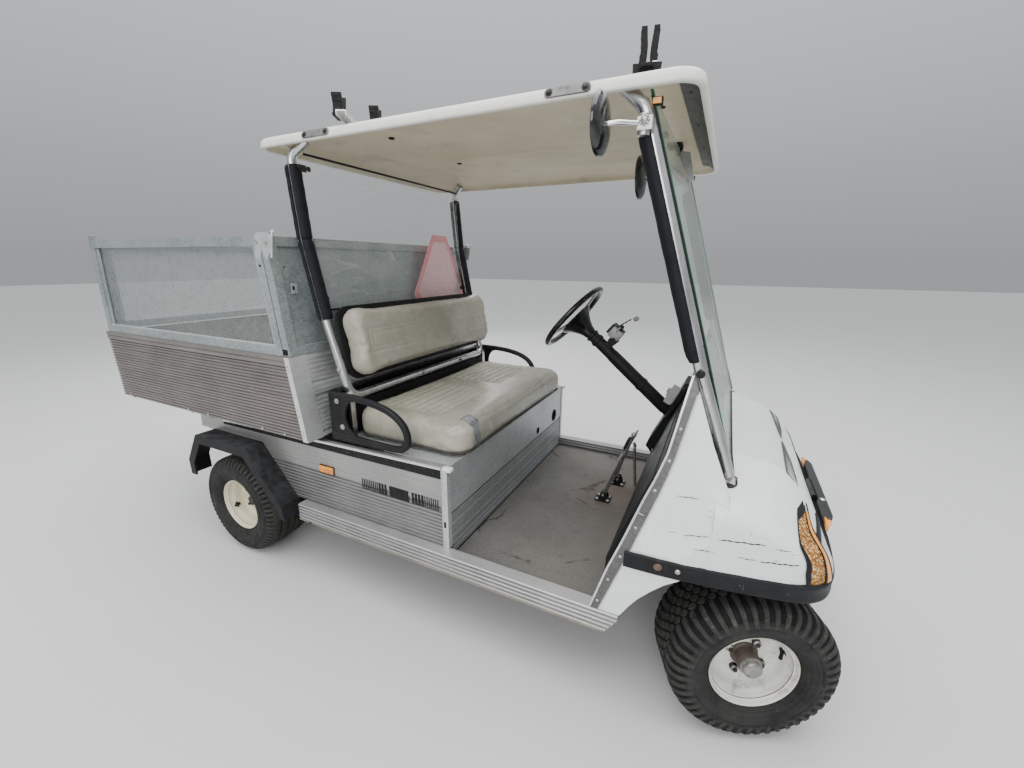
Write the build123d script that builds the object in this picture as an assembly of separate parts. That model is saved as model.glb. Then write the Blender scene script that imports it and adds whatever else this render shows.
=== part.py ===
from build123d import *
import math
import os

# Small utility vehicle with a tipping, mesh-sided load bed and a canopy.
# Millimetres. +X is forward, +Y the vehicle's left, +Z up.
# Lengths along X are first given from the rear axle, then moved by SHIFT so
# that the origin lies on the ground under the middle of the vehicle.

# ---- overall -------------------------------------------------------------
REAR_END = -777.0          # upper edge of the tailgate
FRONT_END = 2205.0         # front of the steered right tyre
SHIFT = -(REAR_END + FRONT_END) / 2

# ---- wheels --------------------------------------------------------------
AXLE_Z = 222.0             # wheel centre height = tyre radius
TYRE_R = 222.0
TYRE_W = 216.0
RIM_R = 115.0              # rim flange
BARREL_R = 97.0
RIM_W = 176.0
TYRE_OUT = 18.0            # tyre wall stands out past the rim flange
REAR_FLANGE_Y = 606.0      # outer rim flange of the rear wheels
STEER0 = 21.8              # stored steering angle, to the left, degrees
KING_X = 1941.0            # kingpin
KING_Y = 352.0
FLANGE_OFF = 173.0         # kingpin to outer rim flange of the front wheels
SPINDLE_R = 15.0
RUN = 0.05                 # running clearance, radial

# ---- body ----------------------------------------------------------------
BODY_HW = 555.0            # outer face of the side panels
SILL_HW = 594.0
SILL_Z0, SILL_Z1 = 250.0, 322.0
SILL_X0, SILL_X1 = 372.0, 1654.0
FLOOR_Z = 286.5            # top of the floor mat
SEAT_X = 1073.5            # front face of the seat box
SEAT_Z = 622.0             # top of the seat box
FLOOR_X1 = 1588.0          # front of the flat floor
COWL_HW = 588.0

# ---- bed -----------------------------------------------------------------
BED_HW = 626.0
BED_Z0, BED_Z1 = 630.0, 938.0
BED_WALL = 24.0
BED_FX0, BED_FX1 = 527.0, 482.0      # front wall, bottom and top
BED_RX0, BED_RX1 = -752.0, -777.0    # rear edge, bottom and top
CAGE_HW = 619.0
CAGE_Z1 = 1340.0
CAGE_FX1 = 432.0           # front of the cage at its top
CAGE_RX1 = -748.0          # rear of the cage at its top
CAGE_BAR = 32.0
TILT_X, TILT_Z = -380.0, 584.0
GATE_X, GATE_Z = -741.0, 642.0

# ---- canopy --------------------------------------------------------------
ROOF_X0, ROOF_X1 = 322.0, 1716.0
ROOF_HW = 536.0
ROOF_Z = 1618.5            # lower edge at the rear
ROOF_RISE = 1.0            # higher at the front by this
ROOF_EDGE = 31.0
STRUT_R = 16.0
PAD_R = 21.0


# ---- helpers -------------------------------------------------------------
def box(x0, x1, y0, y1, z0, z1):
    return Pos((x0 + x1) / 2, (y0 + y1) / 2, (z0 + z1) / 2) * Box(x1 - x0, y1 - y0, z1 - z0)


def poly(points, direction, amount):
    face = Face(Wire.make_polygon([Vector(*p) for p in points]))
    return extrude(face, amount=amount, dir=direction)


def side(points, y0, y1):
    """outline in X and Z, from y0 to y1"""
    return poly([(x, y0, z) for x, z in points], (0, 1, 0), y1 - y0)


def flat(points, z0, z1):
    """outline in X and Y, from z0 to z1"""
    return poly([(x, y, z0) for x, y in points], (0, 0, 1), z1 - z0)


def front(points, x0, x1):
    """outline in Y and Z, from x0 to x1"""
    return poly([(x0, y, z) for y, z in points], (1, 0, 0), x1 - x0)


def rod(p, q, r):
    d = Vector(*q) - Vector(*p)
    return Part() + Solid.make_cylinder(r, d.length, Plane(origin=p, z_dir=d))


def tube(points, bend, r, bore=0.0):
    path = FilletPolyline(*points, radius=bend)
    start = Plane(origin=path @ 0, z_dir=path % 0)
    section = start * Circle(r)
    if bore:
        section = section - start * Circle(bore)
    return sweep(sections=section, path=path)


def both(shape):
    return shape, mirror(shape, about=Plane.XZ)


def turned(profile, plane):
    """revolve a closed outline of (radius, height) about the plane's Z"""
    face = Face(Wire.make_polygon([(r, 0, h) for r, h in profile]))
    return plane * revolve(face, axis=Axis.Z)


def solids(*shapes):
    out = []
    for s in shapes:
        if isinstance(s, (tuple, list)):
            out += solids(*s)
        else:
            out += list(s.solids())
    return out


NODES = {}


def node(name, *shapes):
    moved = [Pos(SHIFT, 0, 0) * s for s in solids(*shapes)]
    NODES[name] = moved


def ribs(z0, z1, count, y, depth, back):
    """outline in Y and Z of an upright ribbed panel: ribs stand out to y"""
    pitch = (z1 - z0) / count
    pts = [(back, z0)]
    for i in range(count):
        z = z0 + i * pitch
        pts += [(y - depth, z), (y, z + 0.2 * pitch), (y, z + 0.6 * pitch), (y - depth, z + 0.8 * pitch)]
    pts += [(y - depth, z1), (back, z1)]
    return pts


# ---- chassis: front rails, rear rails with drawbar, floor bearers ----------
rails, rear = [], []
for s in (1, -1):
    ya, yb = sorted((s * 125, s * 175))
    # front rails, raised over the front axle
    rails.append(side([(470, 186), (1600, 186), (1700, 252), (2132, 252), (2132, 302), (1674, 302), (1612, 262), (470, 262)], ya, yb))
    for xh in (KING_X - 188, KING_X + 164):                             # spring hangers
        rails.append(box(xh, xh + 24, ya, yb, 186, 256))
    # rear rails: each bar is a solid of its own, butted to the next
    rear.append(side([(380, 186), (470, 186), (470, 262), (430, 400), (330, 400), (330, 330)], ya, yb))
    rear.append(box(-575, 330, ya, yb, 330, 400))
    post = side([(-420, 400), (-340, 400), (-360, TILT_Z + 14), (-400, TILT_Z + 14)], ya + 18, yb - 18)
    rear.append(post + rod((TILT_X, s * 125, TILT_Z), (TILT_X, s * 200, TILT_Z), 9))
for xa, xb in ((-575, -535), (-100, -60), (330, 370)):
    rear.append(box(xa, xb, -125, 125, 330, 400))
for xa, xb, za, zb in ((860, 900, 200, 262), (1270, 1310, 200, 262), (1710, 1740, 256, 300), (2100, 2132, 256, 300)):
    rails.append(box(xa, xb, -175, 175, za, zb))
front_rails = Part()
for s in rails:
    front_rails += s
node("front_rails", front_rails)
drawbar = box(-640, -575, -30, 30, 336, 380) + box(-700, -600, -38, 38, 330, 345)
drawbar = drawbar - rod((-672, 0, 320), (-672, 0, 360), 8.0)
node("rear_rails", rear, drawbar)
bearers = []
for xa in (640, 1060, 1480):
    for ya, yb in ((-548, -175), (-125, 125), (175, 548)):
        bearers.append(box(xa, xa + 40, ya, yb, 222, 262))
rest = [box(478, 508, -440, 440, 560, 590)]                             # bed rest on two legs
for s in (1, -1):
    rest.append(box(478, 508, s * 150 - 20, s * 150 + 20, 262, 560))
node("floor_bearers", bearers, rest)

# ---- floor ---------------------------------------------------------------
mat = box(SEAT_X + 1, FLOOR_X1, -SILL_HW + 52, SILL_HW - 52, FLOOR_Z - 6, FLOOR_Z)
node("floor_mat", mat)

# ribbed sills along both sides
sill_outline = ribs(SILL_Z0, SILL_Z1, 5, SILL_HW, 4, SILL_HW - 46)
sill = front(sill_outline, SILL_X0, SILL_X1)
sill -= side([(1610, 240), (1670, 240), (1670, 330)], 500, 620)
node("rocker_sills", both(sill))

# ---- seat box ------------------------------------------------------------
# outline of a side panel with its wheel cut-out: columns x, z
side_outline = [
    (SEAT_X, SILL_Z1), (SEAT_X, SEAT_Z), (520, 606), (-268, 590), (-275, 532),
    (-178, 528), (152, 528), (300, 322)]
upper = side(side_outline, BODY_HW - 22, BODY_HW - 4)
band_upper = side([(SEAT_X, 480), (SEAT_X, SEAT_Z), (520, 606), (-268, 590), (-275, 532), (-178, 528), (152, 528), (186, 480)], BODY_HW - 6, BODY_HW)
rib_band = front(ribs(SILL_Z1, 476, 11, BODY_HW, 4, BODY_HW - 6), 190, SEAT_X)
rib_band -= side([(150, 530), (300, 322), (150, 300)], BODY_HW - 30, BODY_HW + 10)
panel = upper + band_upper + rib_band
node("side_panels", both(panel))

kick = box(SEAT_X - 20, SEAT_X - 4, -BODY_HW + 24, BODY_HW - 24, FLOOR_Z + 0.5, SEAT_Z)
kick += box(SEAT_X - 6, SEAT_X, -BODY_HW + 24, BODY_HW - 24, 452, SEAT_Z)
pitch = (446 - 292) / 16
for i in range(16):
    z = 292 + i * pitch
    kick += box(SEAT_X - 6, SEAT_X, -BODY_HW + 24, BODY_HW - 24, z, z + 0.55 * pitch)
for y, z, r in ((435, 490, 20), (217, 480, 11)):
    kick -= rod((SEAT_X - 40, y, z), (SEAT_X + 20, y, z), r)
node("seat_front_panel", kick)
node("seat_deck", box(556, SEAT_X - 20, -BODY_HW + 24, BODY_HW - 24, SEAT_Z - 6, SEAT_Z))      # under the cushion

node("battery_pack", box(640, 1000, -430, 430, 287, 560))

# ---- cushions (plain closed solids) --------------------------------------
seat = box(606, 1094, -482, 482, 632, 738)
seat = fillet(seat.edges().filter_by(Axis.Z), 70)
seat = fillet(seat.edges().group_by(Axis.Z)[-1], 30)
node("seat_cushion", seat)

# backrest: outline square to its own face, leaning back by the strut's angle
LEAN = math.degrees(math.atan2(572 - 614, 1092 - 852))     # about Y
back_plane = Pos(600, 0, 972) * Rot(0, LEAN, 0)
back = Box(78, 934, 250)
back = fillet(back.edges().filter_by(Axis.X), 55)
back = fillet(back.edges().group_by(Axis.X)[-1], 24)
node("backrest_cushion", back_plane * Pos(22, 0, 0) * back)
shell = Box(10, 956, 272)
shell = fillet(shell.edges().filter_by(Axis.X), 60)
shell = back_plane * Pos(-23, 0, 0) * shell

# ---- hip restraints: hoops with a stamped plate ---------------------------
hoop_path = [(560, 535, 797), (790, 535, 786), (908, 535, 735), (905, 535, 640), (790, 535, 636), (560, 535, 642)]
hoop = tube(hoop_path, 38, 12.5)
plate = side([(552, 636), (552, 806), (668, 800), (640, 770), (628, 720), (640, 670), (668, 640), (668, 636)], 531, 539)
foot = box(556, 800, 526, 544, SEAT_Z + 0.3, 632)
node("hip_restraints", both(hoop + plate + foot))

# ---- canopy frame ---------------------------------------------------------
# rear U tube: bend points of one side, columns x, y, z
REAR_TUBE = [(500, 470, 1641), (446, 490, 1598), (470, 492, 1330), (530, 490, 1049), (606, 482, 776)]
rear_pts = REAR_TUBE + [(606, -482, 776)] + [(x, -y, z) for x, y, z in reversed(REAR_TUBE[:-1])]
rear_frame = tube(rear_pts, 45, STRUT_R)
for s in (1, -1):
    a, b = sorted((s * 478, s * 500))
    rear_frame += side([(560, SEAT_Z + 0.3), (620, SEAT_Z + 0.3), (618, 790), (592, 790)], a, b)
node("rear_canopy_frame", rear_frame)
node("backrest_shell", shell - rear_frame)

# front struts: columns x, y, z
FRONT_TUBE = [(1540, 488, 1643), (1596, 505, 1590), (1777, 464.5, 1008), (1872, 447, 741)]
front_strut = tube(FRONT_TUBE, 45, STRUT_R)
front_strut += rod((1872, 447, 748), (1872, 446, 737), 12)
front_strut += Pos(1868, 453, 735) * Rot(-14.04, 0, 0) * Rot(0, 9, 0) * Box(44, 40, 5)      # foot on the cowl's slope
front_strut += rod((1778, 464.5, 1005), (1778, 487, 1005), 8)
front_struts = both(front_strut)
node("front_canopy_frame", front_struts)


def along(p, q, t):
    return tuple(a + (b - a) * t for a, b in zip(p, q))


def sleeve(points, t0, t1, r_in, r_out):
    """half-round pad along one side of a strut"""
    p, q = along(*points, t0), along(*points, t1)
    return rod(p, q, r_out) - rod(along(*points, t0 - 0.1), along(*points, t1 + 0.1), r_in)


pads = [
    sleeve((REAR_TUBE[1], REAR_TUBE[2]), 0.22, 0.9, STRUT_R + 0.3, PAD_R),
    sleeve((REAR_TUBE[2], REAR_TUBE[3]), 0.12, 0.97, STRUT_R + 0.3, PAD_R),
    sleeve((FRONT_TUBE[1], FRONT_TUBE[2]), 0.14, 0.955, STRUT_R + 0.3, PAD_R + 2),
]
node("strut_pads", [both(p) for p in pads])

# ---- roof: a hollow moulded shell, nose up by a little ---------------------
ROOF_TILT = math.degrees(math.atan2(ROOF_RISE, ROOF_X1 - ROOF_X0))
roof_mid = (ROOF_X0 + ROOF_X1) / 2
L, H = ROOF_X1 - ROOF_X0, ROOF_EDGE


def roof_block(length, half, h0, h1, radius, top_in):
    a = Plane.XY.offset(h0) * RectangleRounded(length, 2 * half, radius)
    b = Plane.XY.offset(h1) * RectangleRounded(length - 2 * top_in, 2 * (half - top_in), radius - top_in / 2)
    return loft([a, b])


roof = roof_block(L, ROOF_HW, 0, H, 60, 10)
roof += roof_block(L - 20, ROOF_HW - 10, H, H + 16, 55, 46)
roof -= roof_block(L - 28, ROOF_HW - 14, -1, 24, 46, 4)
roof -= roof_block(L - 60, ROOF_HW - 30, 23, 40, 40, 14)
roof_place = Pos(roof_mid, 0, ROOF_Z + ROOF_RISE / 2) * Rot(0, -ROOF_TILT, 0)
roof = roof_place * roof - rear_frame - front_struts[0] - front_struts[1]
node("canopy_roof", roof)

# straps on the roof's edges: columns x0, x1
straps = []
for xa, xb in ((-437, -322), (368, 478)):
    strap = Box(xb - xa, 5, 20) + Pos(-(xb - xa) / 2 + 14, 3, 0) * Box(12, 5, 12) + Pos((xb - xa) / 2 - 14, 3, 0) * Box(12, 5, 12)
    lean = math.degrees(math.atan2(10, ROOF_EDGE))
    straps.append(roof_place * Pos((xa + xb) / 2, ROOF_HW - 5, 17) * Rot(lean, 0, 0) * Pos(0, 2.8, 0) * strap)

# tool clips on two flat bars on the right of the roof
ROOF_TOP_R, ROOF_TOP_F = 1666.5, 1669.0
bar_rear = Pos(688, -455, ROOF_TOP_R + 19) * Rot(0, 0, 30) * Box(30, 190, 5)
bar_rear += Pos(706, -425, ROOF_TOP_R + 8) * Box(24, 24, 18)
bar_front = Pos(1578, -430, ROOF_TOP_F + 19) * Rot(0, 0, 12) * Box(70, 90, 6)
bar_front += Pos(1578, -430, ROOF_TOP_F + 8) * Box(30, 40, 18)


def clip(x, y, z, height, gap, angle):
    u = Box(34, gap + 24, 10)
    for s in (1, -1):
        u += Pos(0, s * (gap / 2 + 6), height / 2) * Box(30, 12, height)
    return Pos(x, y, z) * Rot(0, 0, angle) * u


clip_pieces = [
    (bar_rear, (676, -478, ROOF_TOP_R + 26, 62, 30, 30)),
    (None, (738, -395, ROOF_TOP_R + 14, 48, 26, 30)),
    (bar_front, (1580, -430, ROOF_TOP_F + 27, 78, 28, 12)),
]
clips = []
for bar, c in clip_pieces:
    body = clip(*c)
    if bar is None:
        bar = Pos(c[0], c[1], c[2] - 9) * Box(24, 24, 12)
    clips.append(bar + body - roof)
node("roof_fittings", clips, [both(s) for s in straps])

# ---- clear screens ---------------------------------------------------------
screen = side([(500, 1085), (503, 1085), (475, 1608), (472, 1608)], -462, 462)
node("rear_screen", screen)
glass = side([(1881.3, 732), (1886.5, 732), (1607, 1627), (1601.8, 1627)], -490, 490)
glass = glass & front([(-429, 735), (-335, 760.5), (335, 760.5), (429, 735), (488, 1627), (-488, 1627)], 1500, 2000)
node("windshield", glass)

# ---- front cowl ------------------------------------------------------------
# hood sections: a flat middle, a slope from the crease outwards, a round
# shoulder. Columns x, half width, crown z, shoulder radius, crease y, slope
HOOD = [
    (1852, 572, 759, 60, 340, 0.25), (1883, 566, 757, 60, 335, 0.25), (1975, 550, 735, 60, 303, 0.27), (2048, 531, 690, 54, 290, 0.30),
    (2098, 503, 622, 46, 300, 0.14), (2128, 455, 560, 40, 300, 0.05), (2148, 340, 518, 18, 200, 0.0)]
HOOD_Z0 = 488.0


def hood_section(x, w, zt, r, crease, slope, zb):
    turn = math.pi / 2 - math.atan(slope)          # of the shoulder's arc
    y1 = w - r + r * math.cos(turn)                # where the slope begins
    z1 = zt - slope * (y1 - crease)
    zc = z1 - r * math.sin(turn)
    ym, zm = w - r + r * math.cos(turn / 2), zc + r * math.sin(turn / 2)
    edges = [
        Line((x, -w, zb), (x, -w, zc)),
        ThreePointArc((x, -w, zc), (x, -ym, zm), (x, -y1, z1)),
        Line((x, -y1, z1), (x, -crease, zt)),
        Line((x, -crease, zt), (x, crease, zt)),
        Line((x, crease, zt), (x, y1, z1)),
        ThreePointArc((x, y1, z1), (x, ym, zm), (x, w, zc)),
        Line((x, w, zc), (x, w, zb)),
        Line((x, w, zb), (x, -w, zb)),
    ]
    return Face(Wire(edges))


hood = loft([hood_section(*row, HOOD_Z0) for row in HOOD], ruled=True)
T = 8.0
inner = []
for i, (x, w, zt, r, crease, slope) in enumerate(HOOD):
    back = (1, -1, -1, -1, -1, 9, 12)[i]
    inner.append((x - back, w - T - (8 if i == 6 else 0), zt - T, r - T, crease, slope))
hood_solid = hood
hood -= loft([hood_section(*row, HOOD_Z0 - 5) for row in inner], ruled=True)

# cheeks: the cowl's sides, from the sill up between the trim and the canopy
# struts; upright below, leaning in above. Columns x; y, z of the outer face
CHEEK = [
    (1550, ((588, 300), (588, 540), (540, 760), (476, 1055))),
    (1590, ((588, 300), (588, 540), (540, 760), (476, 1055))),
    (1790, ((581, 300), (581, 545), (535, 757), (470, 1055))),
    (1884, ((566, 300), (566, 640), (549, 697), (520, 712)))]


def cheek_skin(inside, outside):
    faces = []
    for x, line in CHEEK:
        pts = [(x, y + outside, z) for y, z in line] + [(x, y + inside, z) for y, z in reversed(line)]
        faces.append(Face(Wire.make_polygon([Vector(*q) for q in pts])))
    return loft(faces, ruled=True)


# rear and front edge of the trim strip: columns x, z
TRIM_REAR = [
    (1761.3, 1006.2), (1744, 905.8), (1726.1, 802.3), (1704.6, 733.6), (1683.4, 677.2), (1650.5, 577.5), (1611.3, 465.2), (1571, SILL_Z1 + 0.5)]
TRIM_FRONT = [
    (1781.1, 961.9), (1765.8, 880.1), (1749.5, 793.5), (1735.5, 737.9), (1719.8, 686), (1697.3, 618.2), (1675.1, 548.8), (1599.5, SILL_Z1 + 0.5)]
cheek_line = [(x + 3, z) for x, z in reversed(TRIM_REAR[1:])]
cheek_line += [TRIM_FRONT[0], (1801.9, 907.4), (1829.3, 835.2), (1845.9, 797.8), (1883.5, 712)]
cheek_line += [(1883.5, 487), (1798, 487), (1762, 461), (1730, 429), (1700, 394), (1679, 362), (1657, SILL_Z1 + 0.5)]
cheek = cheek_skin(-T, 0) & side(cheek_line, 300, 700)
cowl = hood + cheek + mirror(cheek, about=Plane.XZ)
node("front_cowl", cowl)

# metal trim: a flat strip outside the cheek with a narrow edge turned inwards
trim = cheek_skin(0.3, 2.4) & side(TRIM_REAR + list(reversed(TRIM_FRONT)), 300, 700)
trim += cheek_skin(-11, 2.4) & side(TRIM_REAR[1:] + [(x + 2.6, z) for x, z in reversed(TRIM_REAR[1:])], 300, 700)
node("cowl_trim", both(trim))

# toe board and inner front wall
toe = side([(1590, FLOOR_Z - 24.5), (1598, FLOOR_Z - 24.5), (1606, 452), (1706, 730), (1698, 730), (1597, 455)], -COWL_HW + 58, COWL_HW - 58)
node("floor_plate", box(560, 1590, -SILL_HW + 48, SILL_HW - 48, 262, FLOOR_Z - 6) + toe)

# dashboard: shelf under the windshield with a pod at the steering column
dash = side([(1702, 732), (1716, 770), (1790, 800), (1852, 780), (1852, 736), (1712, 728)], -COWL_HW + 78, COWL_HW - 78)
dash += side([(1580, 510), (1646, 660), (1706, 800), (1760, 800), (1760, 780), (1697.5, 731), (1643, 578), (1606, 478)], 205, 355)
dash = dash - toe - front_struts[0] - front_struts[1] - hood_solid
COL_A = (1207.0, 280.0, 1029.0)          # steering wheel centre
COL_B = (1632.0, 280.0, 669.0)
col_dir = (Vector(*COL_B) - Vector(*COL_A)).normalized()


def col(t):
    v = Vector(*COL_A) + col_dir * t
    return (v.X, v.Y, v.Z)


dash -= rod(col(300), col(900), 24.0)
dash -= box(1700, 1900, -600, 600, 600, 727)
node("dashboard", dash)

# ---- steering column and wheel ----------------------------------------------
column = rod(col(120), col(640), 23.5) - rod(col(100), col(200), 12.55)
column -= side([(1596.5, 455), (1697.7, 730), (1900, 730), (1900, 455)], 150, 420)      # ends on the toe board
switch = Pos(1392, 316, 972) * Rot(0, 40, 0) * Box(60, 60, 46)
column += switch
column += rod((1392, 330, 985), (1450, 345, 1024), 6)
column += Pos(1392, 292, 945) * Rot(0, 40, 0) * Box(30, 40, 40)
node("steering_column", column)

wheel_plane = Plane(origin=COL_A, z_dir=-col_dir, x_dir=(0, 1, 0))
swheel = Solid.make_torus(162, 13.5, wheel_plane)
swheel = Part() + swheel
hub_cone = turned([(0, -78), (30, -78), (44, -50), (62, -22), (62, -8), (0, -8)], wheel_plane)
swheel += hub_cone
for a in (90, 210, 330):
    spoke = wheel_plane * Rot(0, 0, a) * Pos(100, 0, -8) * Box(120, 34, 9)
    swheel += spoke
swheel += rod(col(60), col(190), 12.5)
node("steering_wheel", swheel)

# ---- pedals ------------------------------------------------------------------
pedals = []
# columns: y, foot x, top x, top z, plate width, plate from and to along the lever
for y, xf, xt, zt, width, ta, tb in ((66, 1446, 1549, 602, 34, 0.12, 0.70), (234, 1521, 1530, 548, 46, 0.55, 0.97)):
    foot = (xf, y, FLOOR_Z + 8)
    tip = (xt, y, zt)
    p = rod(foot, tip, 7)
    lean = math.degrees(math.atan2(xt - xf, zt - FLOOR_Z - 8))
    reach = math.hypot(xt - xf, zt - FLOOR_Z - 8)
    p += Pos(xf, y, FLOOR_Z + 8) * Rot(0, lean, 0) * Pos(-8, 0, reach * (ta + tb) / 2) * Box(7, width, reach * (tb - ta))
    p += box(xf - 26, xf + 30, y - 26, y + 26, FLOOR_Z + 0.3, FLOOR_Z + 12)
    pedals.append(p)
node("pedals", pedals)

# ---- bumper, lamps ------------------------------------------------------------
# plan of the bumper's outer line: columns x, y; then the inner line
BUMPER = [(1655, 592.5), (1700, 591.5), (1790, 585), (1890, 571), (1975, 556), (2040, 542), (2075, 530), (2100, 512), (2120, 487),
          (2134, 452), (2143, 400), (2151, 300), (2155, 150)]
BUMP_IN = [(1655, 588.3), (1680, 588.3), (1790, 581.3), (1884, 566.3), (1970, 545), (2034, 531), (2066, 519), (2088, 502), (2106, 478),
           (2119, 447), (2127, 400), (2135, 300), (2139, 150)]
outer_line = BUMPER + [(x, -y) for x, y in reversed(BUMPER)]
inner_line = BUMP_IN + [(x, -y) for x, y in reversed(BUMP_IN)]
bumper = flat(outer_line + list(reversed(inner_line)), 487, 536)
bumper = bumper - hood_solid
node("front_bumper", bumper)

# lamps wrapped round the cowl's front corners, and a lamp bar between them
LAMP_GROW = 6.0
lamp_skin = loft([hood_section(x + LAMP_GROW, w + LAMP_GROW, z + LAMP_GROW, r + LAMP_GROW, c, t, HOOD_Z0) for x, w, z, r, c, t in HOOD], ruled=True)
region = side([(2064, 536.3), (2057, 590), (2040, 632), (2056, 684), (2075, 690), (2175, 560), (2175, 536.3)], 335, 560)
lamp = (lamp_skin & region) - hood_solid
lamps = [both(lamp)]
bar_line = [(2138, 190), (2148, 252), (2166, 236), (2172, 190)]
lamp_bar = flat([(x, y) for x, y in bar_line] + [(x, -y) for x, y in reversed(bar_line)], 536.3, 562) - hood_solid
lamp_bar = lamp_bar + box(2120, 2140, -60, 60, 536.3, 552) - hood_solid
lamps.append(lamp_bar)

# side and tail lamps: columns x, y, z, length x, width y, height z
markers = []
for x, y, z, lx, ly, lz in ((520, BODY_HW + 6, 494, 80, 11.4, 30), (-582, 120, 365, 13, 80, 60)):
    markers.append(both(box(x - lx / 2, x + lx / 2, y - ly / 2, y + ly / 2, z - lz / 2, z + lz / 2)))
node("lamps", lamps, markers)

# ---- mirrors -------------------------------------------------------------------
mirror_near = rod((1530, -576, 1546), (1516, -576, 1546), 64) + rod((1522, -576, 1546), (1602, -540, 1548), 6)
mirror_near += box(1592, 1626, -548, -510, 1532, 1562) - front_struts[1]
mirror_mid = rod((1534, -110, 1515), (1520, -110, 1515), 64) + rod((1528, -110, 1515), (1580, -110, 1632), 6)
node("mirrors", mirror_near, mirror_mid)

# triangular rear sign, blank, on the cage front's upper rail
sign = poly([(470, y, z) for y, z in ((490, 1056), (523, 1114), (366, 1389), (246, 1389), (89, 1114), (122, 1056))], (1, 0, 0), 3)

# ---- rear fenders ----------------------------------------------------------------
# outline of the flare over a rear wheel: columns x, z; outer then inner line
FENDER = [(-266, 330), (-268, 400), (-178, 534), (152, 534), (330, 322), (345, 262)]
fender_in = [(x + dx, z + dz) for (x, z), (dx, dz) in zip(FENDER, ((8, 0), (8, -2), (5, -8), (-4, -8), (-8, -3), (-9, 0)))]
fender = side(FENDER + list(reversed(fender_in)), BODY_HW + 0.4, 640)
lip_in = [(x + dx, z + dz) for (x, z), (dx, dz) in zip(FENDER, ((36, 0), (36, -10), (20, -40), (-18, -40), (-34, -16), (-36, 0)))]
fender += side(FENDER + list(reversed(lip_in)), 633, 640)
node("rear_fenders", both(fender))

# ---- axles, springs -----------------------------------------------------------------
rear_axle = rod((0, -488, AXLE_Z), (0, 488, AXLE_Z), 33) + rod((0, -560, AXLE_Z), (0, 560, AXLE_Z), SPINDLE_R)
rear_axle += Pos(0, 60, AXLE_Z) * Sphere(82)
rear_axle += rod((0, 110, AXLE_Z + 4), (0, 280, AXLE_Z + 4), 80)
node("rear_axle", rear_axle)

front_axle = box(KING_X - 21, KING_X + 21, -340, 340, 204, 240)
for s in (1, -1):
    king = rod((KING_X, s * KING_Y, 192), (KING_X, s * KING_Y, 252), 27) - rod((KING_X, s * KING_Y, 150), (KING_X, s * KING_Y, 300), 12 + RUN)
    front_axle += king
    front_axle -= rod((KING_X, s * KING_Y, 150), (KING_X, s * KING_Y, 300), 12 + RUN)
node("front_axle", front_axle)

springs = []
for s in (1, -1):
    a, b = s * 310 - 25, s * 310 + 25
    leaf = side([(-330, 352), (-200, 306), (-60, 280), (60, 280), (200, 306), (330, 352),
                 (330, 340), (200, 294), (60, 256), (-60, 256), (-200, 294), (-330, 340)], a, b)
    leaf += box(-36, 36, a, b, 232, 262) - rod((0, -600, AXLE_Z), (0, 600, AXLE_Z), 33.0)     # seat on the axle
    c, d = sorted((s * 175, s * 335))
    leaf += box(-345, -315, c, d, 340, 380) + box(315, 345, c, d, 340, 380)
    springs.append(leaf)
    leaf = side([(KING_X - 190, 186), (KING_X - 60, 178), (KING_X + 60, 178), (KING_X + 190, 186), (KING_X + 190, 176),
                 (KING_X + 60, 166), (KING_X - 60, 166), (KING_X - 190, 176)], s * 150 - 22, s * 150 + 22)
    leaf += box(KING_X - 24, KING_X + 24, s * 150 - 22, s * 150 + 22, 170, 204)
    springs.append(leaf)
node("leaf_springs", springs)


# ---- front wheels, knuckles ------------------------------------------------------------
def placed(s, shape):
    """from wheel coordinates (X forward, Y outboard, kingpin at zero) to the stored steering angle"""
    if s < 0:
        shape = mirror(shape, about=Plane.XZ)
    return Pos(KING_X, s * KING_Y, 0) * Rot(0, 0, STEER0) * shape


def knuckle(s):
    k = rod((0, 0, 176), (0, 0, 268), 12)
    k += box(-24, 24, -24, 48, 257.5, 268) + box(-24, 24, -24, 48, 176, 186.5)
    k += box(-24, 24, 34, 48, 176, 268)
    k += rod((0, 40, AXLE_Z), (0, 120, AXLE_Z), SPINDLE_R)
    arm = [(24, -24), (24, 10), (-24, 10), (-60, -45), (-124, -45), (-124, -69), (-40, -69), (-10, -24)]
    k += flat(arm, 168, 178)
    return placed(s, k)


node("knuckle_left", knuckle(1))
node("knuckle_right", knuckle(-1))


def rim(disc):
    """wheel about Z: outer flange at height 0, inboard is negative; disc is the disc's depth"""
    prof = [
        (RIM_R, 0), (RIM_R, -4), (BARREL_R + 5, -6), (BARREL_R + 4, -30), (BARREL_R - 10, -46), (BARREL_R - 10, -132),
        (BARREL_R + 4, -148), (BARREL_R + 4, -RIM_W + 6), (RIM_R, -RIM_W + 4), (RIM_R, -RIM_W),
        (BARREL_R, -RIM_W + 2), (BARREL_R - 1, -146), (BARREL_R - 15, -130),
        (BARREL_R - 15, -disc - 6), (60, -disc - 6), (44, -disc - 12), (40, -disc - 12), (40, -disc - 40),
        (SPINDLE_R + RUN, -disc - 40), (SPINDLE_R + RUN, -disc + 22), (30, -disc + 22), (36, -disc + 14), (38, -disc - 4),
        (44, -disc - 4), (60, -disc), (BARREL_R - 15, -disc), (BARREL_R - 15, -48), (BARREL_R - 1, -32), (BARREL_R, -6), (RIM_R - 4, 0)]
    return turned(prof, Plane.XY)


def tyre():
    h = RIM_W / 2
    w = TYRE_W / 2
    r = BARREL_R + 4.5
    pts = [(r + 1, h - 7), (RIM_R + 1, h - 5.5), (RIM_R + 3, h + 2), (142, w - 2), (168, w), (194, w - 6), (212, w - 18), (TYRE_R - 3, w - 30), (TYRE_R, w - 46)]
    prof = [(a, b) for a, b in pts] + [(a, -b) for a, b in reversed(pts)]
    return Pos(0, 0, -h) * turned(prof, Plane.XY)


DISC_F, DISC_R = 66.0, 74.0
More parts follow.
